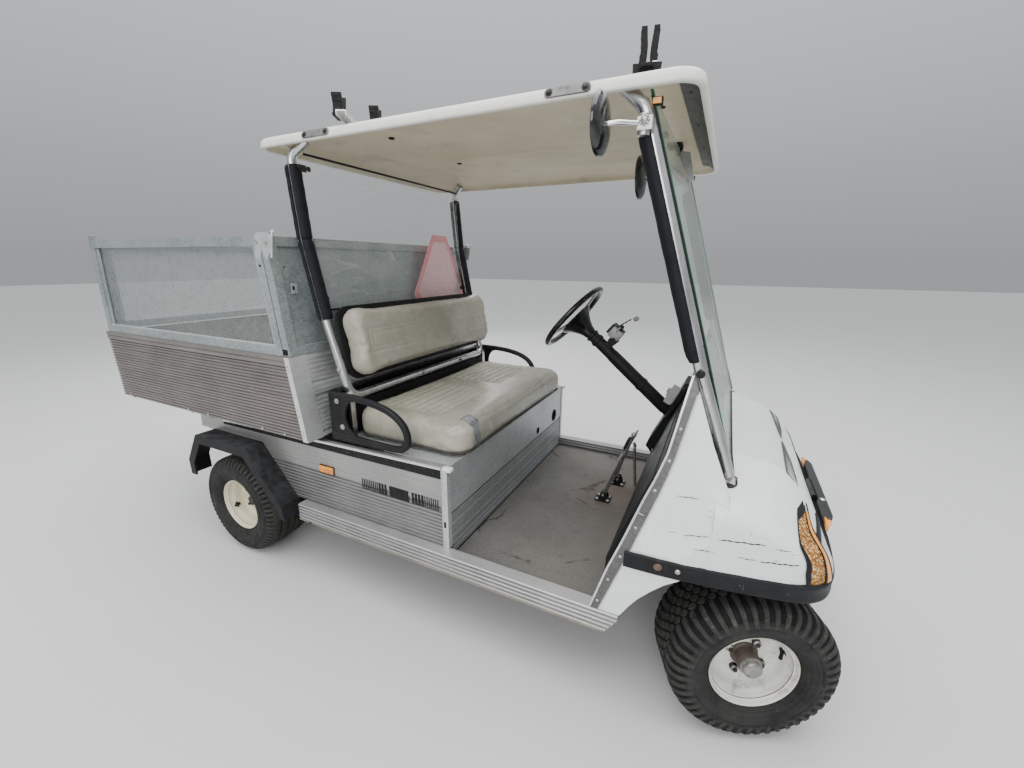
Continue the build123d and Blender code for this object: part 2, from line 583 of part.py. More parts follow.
# flange planes: Z of the wheel's own frame turned to point outboard (+Y)
out_l = Rot(-90, 0, 0)
for s, tag in ((1, "left"), (-1, "right")):
    at = Pos(0, FLANGE_OFF, AXLE_Z) * out_l
    node("wheel_front_" + tag, placed(s, at * rim(DISC_F)))
    node("tyre_front_" + tag, placed(s, at * tyre()))
    at = Pos(0, REAR_FLANGE_Y, AXLE_Z) * out_l
    for name, shape in (("wheel_rear_", at * rim(DISC_R)), ("tyre_rear_", at * tyre())):
        node(name + tag, shape if s > 0 else mirror(shape, about=Plane.XZ))

# tie rod between the knuckles' arms, a little above them
ARM_X, ARM_Y = -112.0, -57.0
ends = []
for s in (1, -1):
    v = Vector(ARM_X, s * ARM_Y, 0).rotate(Axis.Z, STEER0)
    ends.append((KING_X + v.X, s * KING_Y + v.Y, 196))
tie = rod(ends[0], ends[1], 9)
for e in ends:
    tie += rod((e[0], e[1], 186), (e[0], e[1], 206), 14)
node("tie_rod", tie)

# ---- bed ------------------------------------------------------------------------------
floor = box(-719, BED_FX0 - BED_WALL - 3, -BED_HW + BED_WALL, BED_HW - BED_WALL, BED_Z0, BED_Z0 + 8)
for y in (-420, -192, 192, 420):
    floor += box(-700, 470, y - 25, y + 25, 602, BED_Z0)
for s in (1, -1):
    y = s * 192
    eye = rod((TILT_X, y - 12, TILT_Z), (TILT_X, y + 12, TILT_Z), 18) + box(TILT_X - 18, TILT_X + 18, y - 12, y + 12, TILT_Z, 604)
    floor += eye
    floor -= rod((TILT_X, y - 30, TILT_Z), (TILT_X, y + 30, TILT_Z), 9 + RUN)
# tailgate hinge lugs and pins: columns y
for y in (-400, 0, 400):
    floor += side([(-719, 630), (-719, 638), (GATE_X, GATE_Z + 4), (GATE_X - 4, GATE_Z), (GATE_X, GATE_Z - 8), (-735, 630)], y - 30, y - 22)
    floor += box(-735, -700, y - 30, y - 22, 630, 638)
    floor += rod((GATE_X, y - 30, GATE_Z), (GATE_X, y + 12, GATE_Z), 4)
node("bed_floor", floor)


def bed_x(z, front_edge):
    t = (z - BED_Z0) / (BED_Z1 - BED_Z0)
    return BED_FX0 + (BED_FX1 - BED_FX0) * t if front_edge else BED_RX0 + (BED_RX1 - BED_RX0) * t


side_ribs = ribs(BED_Z0, BED_Z1 - 34, 22, BED_HW - 2, 5, BED_HW - BED_WALL)
wall = front(side_ribs, -800, 540)
wall += front([(BED_HW - BED_WALL, BED_Z1 - 34), (BED_HW, BED_Z1 - 34), (BED_HW, BED_Z1 - 21), (BED_HW - 4, BED_Z1 - 18),
               (BED_HW, BED_Z1 - 15), (BED_HW, BED_Z1), (BED_HW - BED_WALL, BED_Z1)], -800, 540)
cut = side([(BED_RX0, BED_Z0 - 1), (BED_RX1, BED_Z1 + 1), (BED_FX1, BED_Z1 + 1), (BED_FX0, BED_Z0 - 1)], 500, 700)
wall = wall & cut
node("bed_sides", both(wall))

fw = BED_HW - BED_WALL - 0.0
front_wall = side([(BED_FX0 - BED_WALL, BED_Z0), (BED_FX0 - 4, BED_Z0), (BED_FX1 - 4, BED_Z1), (BED_FX1 - BED_WALL, BED_Z1)], -fw, fw)
for i in range(18):
    z = BED_Z0 + 4 + i * 16.8
    x = bed_x(z, True)
    front_wall += side([(x - 6, z), (x - 1, z), (x - 2.4, z + 9), (x - 7, z + 9)], -fw + 45, fw - 45)
for s in (1, -1):
    a, b = sorted((s * (fw - 45), s * fw))
    front_wall += side([(BED_FX0 - 6, BED_Z0), (BED_FX0, BED_Z0), (BED_FX1, BED_Z1), (BED_FX1 - 6, BED_Z1)], a, b)
node("bed_front_wall", front_wall)

# ---- cage ------------------------------------------------------------------------------
CZ0 = BED_Z1 + 0.3
c_f0 = BED_FX1 - 2
c_r0 = -766.0


def cage_x(z, front_edge):
    t = (z - BED_Z1) / (CAGE_Z1 - BED_Z1)
    return c_f0 + (CAGE_FX1 - c_f0) * t if front_edge else c_r0 + (CAGE_RX1 - c_r0) * t


GAP = 34.0          # the side frames stop short of the front frame's posts
outer = [(c_r0, CZ0), (CAGE_RX1, CAGE_Z1), (CAGE_FX1 - GAP, CAGE_Z1), (c_f0 - GAP, CZ0)]
B = CAGE_BAR
inner_o = [(c_r0 + B, CZ0 + B), (CAGE_RX1 + B, CAGE_Z1 - B), (CAGE_FX1 - GAP - B, CAGE_Z1 - B), (c_f0 - GAP - B, CZ0 + B)]
side_frame = side(outer, CAGE_HW - 26, CAGE_HW) - side(inner_o, CAGE_HW - 40, CAGE_HW + 10)
side_frame += side([(x, z) for x, z in inner_o], CAGE_HW - 16, CAGE_HW - 13)
side_frame += box(CAGE_RX1 - 2, CAGE_RX1 + 24, CAGE_HW - 22, CAGE_HW - 2, CAGE_Z1 - 1, CAGE_Z1 + 22)
node("cage_sides", both(side_frame))

cf = CAGE_HW - 1.0
front_frame = side([(c_f0 - 30, CZ0), (c_f0, CZ0), (CAGE_FX1, CAGE_Z1), (CAGE_FX1 - 30, CAGE_Z1)], -cf, cf)
wz0, wz1 = CZ0 + B, CAGE_Z1 - B
for da, db in ((-9, 60), (-60, -13)):      # the sheet between the posts is 4 thick
    front_frame -= side([(cage_x(wz0, True) + da, wz0), (cage_x(wz0, True) + db, wz0),
                         (cage_x(wz1, True) + db, wz1), (cage_x(wz1, True) + da, wz1)], -cf + 38, cf - 38)
node("cage_front", front_frame)
bracket = side([(cage_x(1312, True), 1312), (470, 1312), (470, 1334), (cage_x(1334, True), 1334)], 286, 326)
node("rear_sign", sign + bracket)

# ---- tailgate -----------------------------------------------------------------------------
gw = BED_HW - BED_WALL - 6
tg = side([(BED_RX0 + 2, 636), (BED_RX0 + 22, 636), (BED_RX1 + 22, BED_Z1), (BED_RX1 + 2, BED_Z1)], -gw, gw)
for i in range(17):
    z = 660 + i * 15.5
    x = bed_x(z, False)
    tg += side([(x, z), (x + 4, z), (x + 3.3, z + 8), (x - 0.7, z + 8)], -gw + 20, gw - 20)
tg -= box(-790, -719, -gw - 1, gw + 1, 600, 634)
for y in (-400, 0, 400):
    tg -= box(-760, -700, y - 36, y + 16, 620, 656)
    eye = rod((GATE_X, y - 16, GATE_Z), (GATE_X, y + 16, GATE_Z), 9) + side([(GATE_X - 9, GATE_Z), (GATE_X + 9, GATE_Z), (-733, 668), (-751, 668)], y - 16, y + 16)
    tg += eye
    tg -= rod((GATE_X, y - 40, GATE_Z), (GATE_X, y + 40, GATE_Z), 4 + RUN)
node("tailgate", tg)

# ---- cage gate, hung from its top ------------------------------------------------------------
HG_X, HG_Z = CAGE_RX1 + 12, CAGE_Z1 - 12
gy = CAGE_HW - 26 - 6
g_lo = CZ0 + 8
gate_out = [(c_r0 + 2, g_lo), (c_r0 + 22, g_lo), (CAGE_RX1 + 22, CAGE_Z1 - 6), (CAGE_RX1 + 2, CAGE_Z1 - 6)]
cg = side(gate_out, -gy, gy)
hole = [(c_r0 - 20, g_lo + B), (c_r0 + 60, g_lo + B), (CAGE_RX1 + 60, CAGE_Z1 - 6 - B), (CAGE_RX1 - 20, CAGE_Z1 - 6 - B)]
cg -= side(hole, -gy + B, gy - B)
cg += side([(c_r0 + 11, g_lo + 4), (c_r0 + 14, g_lo + 4), (CAGE_RX1 + 14, CAGE_Z1 - 10), (CAGE_RX1 + 11, CAGE_Z1 - 10)], -gy + 4, gy - 4)
node("cage_gate", cg)

# ---- write every piece --------------------------------------------------------------------------
os.makedirs("parts", exist_ok=True)
for name, parts in NODES.items():
    shape = parts[0] if len(parts) == 1 else Compound(children=parts)
    export_step(shape, os.path.join("parts", name + ".step"))
print(len(NODES), "nodes; shift", SHIFT)
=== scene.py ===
import bpy
import bmesh
import math
import random
from mathutils import Matrix, Vector, noise


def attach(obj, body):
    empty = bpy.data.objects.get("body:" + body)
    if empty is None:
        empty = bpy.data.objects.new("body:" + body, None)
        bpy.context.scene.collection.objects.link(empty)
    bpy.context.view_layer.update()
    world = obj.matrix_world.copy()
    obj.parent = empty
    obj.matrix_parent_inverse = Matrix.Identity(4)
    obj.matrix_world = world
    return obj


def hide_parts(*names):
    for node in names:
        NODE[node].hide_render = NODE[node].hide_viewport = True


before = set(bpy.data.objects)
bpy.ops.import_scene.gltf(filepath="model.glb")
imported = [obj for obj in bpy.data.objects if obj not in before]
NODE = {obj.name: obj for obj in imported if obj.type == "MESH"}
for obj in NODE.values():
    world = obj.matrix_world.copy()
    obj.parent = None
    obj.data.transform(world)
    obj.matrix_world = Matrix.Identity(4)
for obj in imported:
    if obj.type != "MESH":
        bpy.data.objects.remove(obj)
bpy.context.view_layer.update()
rng = random.Random(7)
SH = 714.0


def M(x, y, z):
    """millimetres from the rear axle -> metres in the row frame"""
    return Vector(((x - SH) / 1000, y / 1000, z / 1000))


# ======================================================================
# materials
# ======================================================================
class Mat:
    """small helper around one Principled material"""

    def __init__(self, name):
        self.name = name
        self.m = bpy.data.materials.new("skin_" + name)
        self.m.use_nodes = True
        self.t = self.m.node_tree
        self.t.nodes.clear()
        self.out = self.n("ShaderNodeOutputMaterial")
        self.p = self.n("ShaderNodeBsdfPrincipled")
        self.l(self.p.outputs[0], self.out.inputs[0])
        self.co = self.n("ShaderNodeTexCoord").outputs["Object"]

    def n(self, kind, **kw):
        node = self.t.nodes.new(kind)
        for k, v in kw.items():
            setattr(node, k, v)
        return node

    def l(self, a, b):
        self.t.links.new(a, b)

    def scaled(self, sx=1.0, sy=1.0, sz=1.0, rot=(0, 0, 0), loc=(0, 0, 0)):
        mp = self.n("ShaderNodeMapping")
        mp.inputs["Scale"].default_value = (sx, sy, sz)
        mp.inputs["Rotation"].default_value = rot
        mp.inputs["Location"].default_value = loc
        self.l(self.co, mp.inputs["Vector"])
        return mp.outputs[0]

    def noise(self, scale, detail=4.0, rough=0.55, vec=None, dist=0.0):
        t = self.n("ShaderNodeTexNoise")
        t.inputs["Scale"].default_value = scale
        t.inputs["Detail"].default_value = detail
        t.inputs["Roughness"].default_value = rough
        t.inputs["Distortion"].default_value = dist
        self.l(vec or self.co, t.inputs["Vector"])
        return t.outputs["Fac"]

    def voronoi(self, scale, vec=None, feature="F1", out="Distance", rand=1.0):
        t = self.n("ShaderNodeTexVoronoi")
        t.feature = feature
        t.inputs["Scale"].default_value = scale
        t.inputs["Randomness"].default_value = rand
        self.l(vec or self.co, t.inputs["Vector"])
        return t.outputs[out]

    def wave(self, scale, direction="Z", dist=0.0, vec=None, profile="SIN", detail=2.0):
        t = self.n("ShaderNodeTexWave")
        t.bands_direction = direction
        t.wave_profile = profile
        t.inputs["Scale"].default_value = scale
        t.inputs["Distortion"].default_value = dist
        t.inputs["Detail"].default_value = detail
        self.l(vec or self.co, t.inputs["Vector"])
        return t.outputs["Fac"]

    def ramp(self, fac, stops):
        r = self.n("ShaderNodeValToRGB")
        el = r.color_ramp.elements
        while len(el) > len(stops):
            el.remove(el[-1])
        while len(el) < len(stops):
            el.new(0.5)
        for e, (pos, col) in zip(el, stops):
            e.position = pos
            if not isinstance(col, (tuple, list)):
                col = (col, col, col)
            e.color = (*col, 1)
        self.l(fac, r.inputs[0])
        return r.outputs[0]

    def mix(self, fac, a, b, mode="MIX"):
        x = self.n("ShaderNodeMix", data_type="RGBA", blend_type=mode)
        for k, v in ((0, fac), (6, a), (7, b)):
            if hasattr(v, "links"):
                self.l(v, x.inputs[k])
            elif isinstance(v, (tuple, list)):
                x.inputs[k].default_value = (*v, 1)
            elif k == 0:
                x.inputs[k].default_value = v
            else:
                x.inputs[k].default_value = (v, v, v, 1)
        return x.outputs[2]

    def math(self, op, a, b=0.0, clamp=False):
        x = self.n("ShaderNodeMath", operation=op, use_clamp=clamp)
        for sock, v in ((x.inputs[0], a), (x.inputs[1], b)):
            if hasattr(v, "links"):
                self.l(v, sock)
            else:
                sock.default_value = v
        return x.outputs[0]

    def sep(self):
        s = self.n("ShaderNodeSeparateXYZ")
        self.l(self.co, s.inputs[0])
        return s.outputs

    def color(self, v):
        if hasattr(v, "links"):
            self.l(v, self.p.inputs["Base Color"])
        else:
            self.p.inputs["Base Color"].default_value = (*v, 1)
        return self

    def rough(self, v):
        if hasattr(v, "links"):
            self.l(v, self.p.inputs["Roughness"])
        else:
            self.p.inputs["Roughness"].default_value = v
        return self

    def metal(self, v):
        if hasattr(v, "links"):
            self.l(v, self.p.inputs["Metallic"])
        else:
            self.p.inputs["Metallic"].default_value = v
        return self

    def bump(self, h, strength=0.3, dist=0.001):
        b = self.n("ShaderNodeBump")
        b.inputs["Strength"].default_value = strength
        b.inputs["Distance"].default_value = dist
        self.l(h, b.inputs["Height"])
        self.l(b.outputs[0], self.p.inputs["Normal"])
        return self

    def set(self, **kw):
        for k, v in kw.items():
            self.p.inputs[k.replace("_", " ")].default_value = v
        return self


def shade(lo, hi):
    return tuple(lo), tuple(hi)


def simple(name, lo, hi, rough=(0.4, 0.6), metallic=0.0, scale=14.0, grain=400.0, grain_h=0.15, dist=0.0004, dirt=None, dirt_at=(0.55, 0.7), dirt_scale=5.0):
    """two-tone noise colour, patchy roughness, fine grain, optional patches of dirt"""
    m = Mat(name)
    c = m.mix(m.ramp(m.noise(scale, 6, 0.62), [(0.3, 0.0), (0.7, 1.0)]), lo, hi)
    if dirt:
        d = m.ramp(m.noise(dirt_scale, 8, 0.68, dist=0.4), [(dirt_at[0], 0.0), (dirt_at[1], 1.0)])
        c = m.mix(d, c, dirt)
    m.color(c)
    m.rough(m.ramp(m.noise(scale * 2.3, 5, 0.6), [(0.25, rough[0]), (0.75, rough[1])]))
    m.metal(metallic)
    m.bump(m.noise(grain, 3, 0.6), grain_h, dist)
    return m


MT = {}


def keep(m):
    MT[m.name] = m.m
    return m.m


# galvanised sheet: spangle flakes, cool grey
def paint_groove_shade(m, c, lines, deep):
    """darker bands painted in the grooves of a ribbed sheet as their shade, patchy with noise; lines = start, pitch,
    shift, full part, end
    """
    z0, pitch_, shift, full, z1 = lines
    z = m.sep()[2]
    f = m.math("FRACT", m.math("ADD", m.math("MULTIPLY", m.math("SUBTRACT", z, z0), 1.0 / pitch_), shift))
    g = m.math("MULTIPLY", m.math("GREATER_THAN", f, full), m.math("LESS_THAN", z, z1))
    return m.mix(m.math("MULTIPLY", g, m.ramp(m.noise(7, 5), [(0.3, 0.62), (0.7, 0.9)])), c, deep)


def galvanised(name, lo, hi, streak=(0.62, 0.64, 0.64), lines=None):
    m = Mat(name)
    cell = m.voronoi(140.0, out="Color")
    s = m.n("ShaderNodeSeparateColor")
    m.l(cell, s.inputs[0])
    flakes = m.mix(s.outputs[0], lo, hi)
    big = m.ramp(m.noise(6.0, 5, 0.6), [(0.35, 0.0), (0.7, 1.0)])
    c = m.mix(m.math("MULTIPLY", big, 0.55), flakes, streak)
    dirt = m.ramp(m.noise(11.0, 9, 0.72, dist=0.6), [(0.6, 0.0), (0.82, 1.0)])
    c = m.mix(m.math("MULTIPLY", dirt, 0.5), c, (0.20, 0.19, 0.17))
    # dark bands painted in the grooves as their shade
    if lines:
        c = paint_groove_shade(m, c, lines, (0.07, 0.072, 0.073))
    m.color(c).metal(0.55)
    m.rough(m.ramp(s.outputs[1], [(0.0, 0.36), (1.0, 0.56)]))
    m.bump(m.noise(55.0, 5, 0.6), 0.12, 0.0006)
    return keep(m)


galvanised("galvanised", (0.21, 0.245, 0.245), (0.345, 0.39, 0.385), streak=(0.48, 0.51, 0.51))
galvanised("galvanised_light", (0.40, 0.425, 0.43), (0.55, 0.575, 0.575), streak=(0.64, 0.65, 0.65))
galvanised("seat_panel", (0.36, 0.385, 0.39), (0.50, 0.525, 0.53), streak=(0.58, 0.60, 0.60), lines=(0.292, 0.009625, 0.0, 0.55, 0.447))
galvanised("trim_grey", (0.085, 0.085, 0.083), (0.135, 0.134, 0.13), streak=(0.15, 0.148, 0.143))


def brushed(name, lo, hi, metallic=0.75, r0=0.28, r1=0.5, stain=(0.13, 0.12, 0.11), stain_at=(0.62, 0.8), rust_z=None, lines=None):
    """rolled aluminium with lengthwise streaks; rust_z gives a stained lower edge"""
    m = Mat(name)
    streak = m.noise(1.0, 6, 0.7, m.scaled(2.0, 40.0, 160.0))
    blotch = m.noise(5.0, 7, 0.65)
    c = m.mix(m.ramp(streak, [(0.3, 0.0), (0.7, 1.0)]), lo, hi)
    c = m.mix(m.ramp(blotch, [(0.4, 0.0), (0.75, 0.55)]), c, tuple(0.72 * v for v in lo))
    st = m.ramp(m.noise(16.0, 10, 0.75, dist=0.8), [(stain_at[0], 0.0), (stain_at[1], 1.0)])
    c = m.mix(m.math("MULTIPLY", st, 0.6), c, stain)
    # dark bands painted in the grooves as their shade
    if lines:
        c = paint_groove_shade(m, c, lines, (0.075, 0.073, 0.07))
    if rust_z:
        z = m.sep()[2]
        wob = m.math("ADD", z, m.math("MULTIPLY", m.noise(24.0, 6, 0.7), 0.018))
        mask = m.math("MULTIPLY", m.math("SUBTRACT", rust_z[1], wob), 1.0 / (rust_z[1] - rust_z[0]), clamp=True)
        c = m.mix(mask, c, m.mix(m.noise(60, 6, 0.7), (0.42, 0.25, 0.10), (0.62, 0.50, 0.33)))
    m.color(c).metal(metallic)
    m.rough(m.ramp(streak, [(0.25, r0), (0.75, r1)]))
    m.bump(m.noise(1.0, 4, 0.6, m.scaled(8.0, 120.0, 500.0)), 0.10, 0.0004)
    return keep(m)


brushed("aluminium_bed", (0.185, 0.165, 0.155), (0.32, 0.29, 0.275), 0.6, 0.34, 0.52)
brushed("aluminium_bright", (0.66, 0.67, 0.67), (0.84, 0.84, 0.835), 0.7, 0.28, 0.45, stain=(0.42, 0.41, 0.40), stain_at=(0.7, 0.9))
brushed("aluminium_panel", (0.27, 0.265, 0.26), (0.43, 0.42, 0.41), 0.62, 0.32, 0.5, lines=(0.322, 0.014, 0.3, 0.56, 0.474))
brushed("aluminium_sill", (0.42, 0.42, 0.415), (0.62, 0.62, 0.61), 0.65, 0.3, 0.5, rust_z=(0.252, 0.270), lines=(0.250, 0.0144, 0.3, 0.58, 0.322))

m = Mat("tube_silver")
c = m.mix(m.ramp(m.noise(1.0, 5, 0.6, m.scaled(60, 60, 4)), [(0.3, 0), (0.7, 1)]), (0.46, 0.465, 0.47), (0.66, 0.66, 0.655))
c = m.mix(m.ramp(m.noise(30, 8, 0.7), [(0.68, 0), (0.85, 0.5)]), c, (0.26, 0.25, 0.24))
m.color(c).metal(0.95).rough(m.ramp(m.noise(12, 5, 0.6), [(0.3, 0.16), (0.7, 0.36)])).bump(m.noise(300, 3), 0.05, 0.0003)
keep(m)

m = Mat("chrome")
m.color(m.mix(m.ramp(m.noise(40, 6, 0.7), [(0.5, 0), (0.75, 1)]), (0.82, 0.82, 0.82), (0.45, 0.43, 0.41))).metal(1.0)
m.rough(m.ramp(m.noise(30, 4), [(0.3, 0.08), (0.8, 0.28)])).bump(m.noise(120, 3), 0.04, 0.0003)
keep(m)

keep(simple("frame_black", (0.006, 0.006, 0.007), (0.014, 0.014, 0.015), (0.38, 0.6), 0.0, 9, 260, 0.2, 0.0005, dirt=(0.05, 0.047, 0.043), dirt_at=(0.64, 0.84), dirt_scale=9))
keep(simple("black_plastic", (0.006, 0.006, 0.0065), (0.013, 0.013, 0.014), (0.42, 0.6), 0.0, 12, 700, 0.35, 0.0004, dirt=(0.06, 0.058, 0.055), dirt_at=(0.62, 0.85), dirt_scale=14))
keep(simple("pad_black", (0.0045, 0.005, 0.008), (0.009, 0.0095, 0.013), (0.55, 0.75), 0.0, 20, 900, 0.4, 0.0003, dirt=(0.03, 0.03, 0.034), dirt_at=(0.68, 0.9), dirt_scale=18))
keep(simple("battery_case", (0.012, 0.012, 0.013), (0.03, 0.03, 0.03), (0.5, 0.7), 0.0, 8, 300, 0.2))
keep(simple("grey_plastic", (0.30, 0.30, 0.30), (0.44, 0.44, 0.43), (0.5, 0.7), 0.0, 20, 600, 0.3, dirt=(0.08, 0.08, 0.08), dirt_at=(0.55, 0.8), dirt_scale=22))
keep(simple("axle_steel", (0.035, 0.030, 0.026), (0.075, 0.064, 0.055), (0.55, 0.8), 0.3, 16, 180, 0.6, 0.001, dirt=(0.11, 0.07, 0.045), dirt_at=(0.5, 0.75), dirt_scale=12))
keep(simple("hub_brown", (0.065, 0.048, 0.038), (0.12, 0.09, 0.07), (0.5, 0.75), 0.25, 30, 240, 0.4, 0.0008, dirt=(0.03, 0.026, 0.024), dirt_at=(0.5, 0.7), dirt_scale=26))
keep(simple("bolt_steel", (0.42, 0.42, 0.41), (0.62, 0.61, 0.59), (0.3, 0.5), 0.9, 60, 400, 0.2, dirt=(0.12, 0.10, 0.08), dirt_at=(0.55, 0.75), dirt_scale=80))
keep(simple("bolt_rusty", (0.10, 0.062, 0.042), (0.22, 0.145, 0.10), (0.6, 0.8), 0.4, 60, 400, 0.4))
# near black for holes, slots and open ends: painted shade inside them
keep(simple("recess_shade", (0.004, 0.004, 0.004), (0.010, 0.010, 0.010), (0.7, 0.9), 0.0, 20, 300, 0.2))
keep(simple("sign_pink", (0.80, 0.20, 0.25), (0.90, 0.32, 0.36), (0.35, 0.5), 0.0, 8, 500, 0.1, dirt=(0.70, 0.24, 0.24), dirt_at=(0.55, 0.8), dirt_scale=6))
keep(simple("sign_back", (0.85, 0.50, 0.52), (0.90, 0.60, 0.62), (0.35, 0.5), 0.0, 8, 500, 0.1))
keep(simple("canopy_under", (0.50, 0.425, 0.29), (0.62, 0.545, 0.40), (0.5, 0.7), 0.0, 4.5, 90, 0.25, 0.0012, dirt=(0.33, 0.29, 0.235), dirt_at=(0.56, 0.82), dirt_scale=7))
keep(simple("clip_black", (0.006, 0.006, 0.007), (0.017, 0.017, 0.017), (0.6, 0.8), 0.0, 40, 500, 0.5, dirt=(0.055, 0.052, 0.05), dirt_at=(0.6, 0.8), dirt_scale=45))
keep(simple("duct_tape", (0.16, 0.165, 0.175), (0.46, 0.47, 0.485), (0.22, 0.4), 0.5, 46, 190, 0.8, 0.002, dirt=(0.05, 0.05, 0.055), dirt_at=(0.5, 0.7), dirt_scale=44))
keep(simple("decal_green", (0.02, 0.13, 0.10), (0.03, 0.17, 0.13), (0.4, 0.55), 0.0, 20, 300, 0.1))
keep(simple("decal_yellow", (0.80, 0.72, 0.05), (0.86, 0.78, 0.10), (0.4, 0.55), 0.0, 20, 300, 0.1))
keep(simple("stripe_black", (0.012, 0.012, 0.012), (0.03, 0.03, 0.03), (0.45, 0.6), 0.0, 60, 300, 0.1, dirt=(0.10, 0.10, 0.10), dirt_at=(0.6, 0.8), dirt_scale=60))
keep(simple("pedal_steel", (0.22, 0.215, 0.20), (0.42, 0.41, 0.39), (0.3, 0.5), 0.8, 40, 400, 0.2, dirt=(0.07, 0.055, 0.045), dirt_at=(0.5, 0.7), dirt_scale=40))

# black rubber edge strip with grey scuffs, and fenders lighter on their upper faces from dust and painted sheen
m = Mat("bumper_black")
base = m.mix(m.ramp(m.noise(9, 7, 0.65), [(0.35, 0), (0.7, 1)]), (0.006, 0.006, 0.008), (0.016, 0.0165, 0.019))
scuff = m.math("GREATER_THAN", m.noise(1.0, 8, 0.85, m.scaled(30, 30, 6)), 0.635)
c = m.mix(m.math("MULTIPLY", scuff, 0.55), base, (0.17, 0.18, 0.19))
m.color(c).rough(m.ramp(m.noise(20, 5), [(0.3, 0.42), (0.7, 0.62)])).bump(m.noise(160, 5, 0.7), 0.35, 0.0008)
keep(m)

m = Mat("fender_black")
base = m.mix(m.ramp(m.noise(7, 8, 0.68), [(0.35, 0), (0.72, 1)]), (0.007, 0.007, 0.008), (0.019, 0.0195, 0.021))
up = m.n("ShaderNodeSeparateXYZ")
geo = m.n("ShaderNodeNewGeometry")
m.l(geo.outputs["Normal"], up.inputs[0])
# upward faces lighter in patches: dust, with painted sheen standing in for the light from above
dust_and_sheen = m.math("MULTIPLY", m.math("MAXIMUM", up.outputs[2], 0.0), m.ramp(m.noise(26, 8, 0.7), [(0.38, 0.0), (0.68, 0.55)]))
m.color(m.mix(dust_and_sheen, base, (0.085, 0.088, 0.092))).rough(0.62).bump(m.noise(420, 4, 0.7), 0.4, 0.0006)
keep(m)

# white body of the cowl, with black scratches along the side and small chips
m = Mat("cowl_white")
base = m.mix(m.ramp(m.noise(3.2, 5, 0.55), [(0.3, 0), (0.7, 1)]), (0.76, 0.80, 0.785), (0.83, 0.865, 0.85))
x, y, z = m.sep()[:3]
line = m.voronoi(1.0, m.scaled(2.6, 1.0, 46.0, rot=(0, -0.13, 0)), feature="DISTANCE_TO_EDGE")
thin = m.ramp(line, [(0.0, 1.0), (0.012, 1.0), (0.02, 0.0)])
broken = m.ramp(m.noise(1.0, 6, 0.8, m.scaled(13.0, 8.0, 40.0)), [(0.60, 0.0), (0.625, 1.0)])
band = m.math("MULTIPLY", m.math("GREATER_THAN", z, 0.535), m.math("LESS_THAN", z, 0.70))
side_only = m.math("GREATER_THAN", m.math("ABSOLUTE", y), 0.50)
scr = m.math("MULTIPLY", m.math("MULTIPLY", thin, broken), m.math("MULTIPLY", band, side_only))
c = m.mix(scr, base, (0.05, 0.05, 0.05))
chip = m.math("LESS_THAN", m.voronoi(19.0), 0.052)
chip = m.math("MULTIPLY", chip, m.math("GREATER_THAN", m.noise(4.0, 3), 0.54))
c = m.mix(chip, c, (0.10, 0.095, 0.09))
grime = m.math("MULTIPLY", m.ramp(m.noise(7, 8, 0.72, dist=0.5), [(0.5, 0.0), (0.8, 1.0)]), 0.22)
c = m.mix(grime, c, (0.50, 0.48, 0.42))
low = m.math("MULTIPLY", m.math("SUBTRACT", 0.575, z), 9.0, clamp=True)
nose = m.math("MULTIPLY", m.math("SUBTRACT", x, 1.30), 6.0, clamp=True)
c = m.mix(m.math("MULTIPLY", m.math("MULTIPLY", low, nose), 0.8), c, (0.60, 0.52, 0.33))
m.color(c).rough(m.ramp(m.noise(18, 5), [(0.3, 0.24), (0.7, 0.42)])).bump(m.noise(9, 4), 0.06, 0.002)
m.set(Coat_Weight=0.25)
keep(m)

m = Mat("canopy_white")
base = m.mix(m.ramp(m.noise(2.6, 6, 0.6), [(0.3, 0), (0.7, 1)]), (0.74, 0.72, 0.66), (0.83, 0.815, 0.765))
spots = m.ramp(m.noise(70, 8, 0.75), [(0.62, 0.0), (0.74, 0.7)])
c = m.mix(spots, base, (0.44, 0.42, 0.37))
run = m.ramp(m.noise(1.0, 6, 0.7, m.scaled(26, 26, 3)), [(0.55, 0.0), (0.8, 0.5)])
m.color(m.mix(run, c, (0.50, 0.48, 0.42))).rough(m.ramp(m.noise(15, 5), [(0.3, 0.34), (0.7, 0.52)])).bump(m.noise(30, 6, 0.6), 0.12, 0.001)
keep(m)

# worn floor mat: patches, fine cracks, rust specks near the pedals
m = Mat("floor_rubber")
a = m.mix(m.ramp(m.noise(3.6, 9, 0.7, dist=0.5), [(0.3, 0), (0.7, 1)]), (0.075, 0.073, 0.068), (0.155, 0.148, 0.135))
a = m.mix(m.ramp(m.noise(2.2, 6, 0.6, m.scaled(1, 1, 1, loc=(3.1, 0.4, 0))), [(0.48, 0), (0.72, 0.55)]), a, (0.20, 0.165, 0.135))
speck = m.ramp(m.noise(170, 9, 0.8), [(0.42, 0.0), (0.66, 1.0)])
a = m.mix(m.math("MULTIPLY", speck, 0.5), a, (0.24, 0.235, 0.215))
dark = m.ramp(m.noise(95, 7, 0.75, m.scaled(1, 1, 1, loc=(7, 2, 0))), [(0.58, 0.0), (0.66, 1.0)])
x, y, z = m.sep()[:3]
edge = m.math("MULTIPLY", m.math("SUBTRACT", m.math("MULTIPLY", y, -1.0), 0.30), 3.6, clamp=True)
a = m.mix(m.math("MULTIPLY", dark, m.math("ADD", m.math("MULTIPLY", edge, 0.75), 0.18)), a, (0.022, 0.022, 0.022))
rim_d = m.math("MULTIPLY", m.math("SUBTRACT", m.math("ABSOLUTE", y), 0.505), 40.0, clamp=True)
a = m.mix(rim_d, a, (0.035, 0.036, 0.038))
crack = m.ramp(m.voronoi(3.3, m.mix(0.86, m.noise(4, 4), m.co), feature="DISTANCE_TO_EDGE"), [(0.0, 1.0), (0.010, 0.8), (0.018, 0.0)])
a = m.mix(m.math("MULTIPLY", crack, m.ramp(m.noise(5, 3), [(0.5, 0), (0.56, 0.85)])), a, (0.03, 0.03, 0.03))
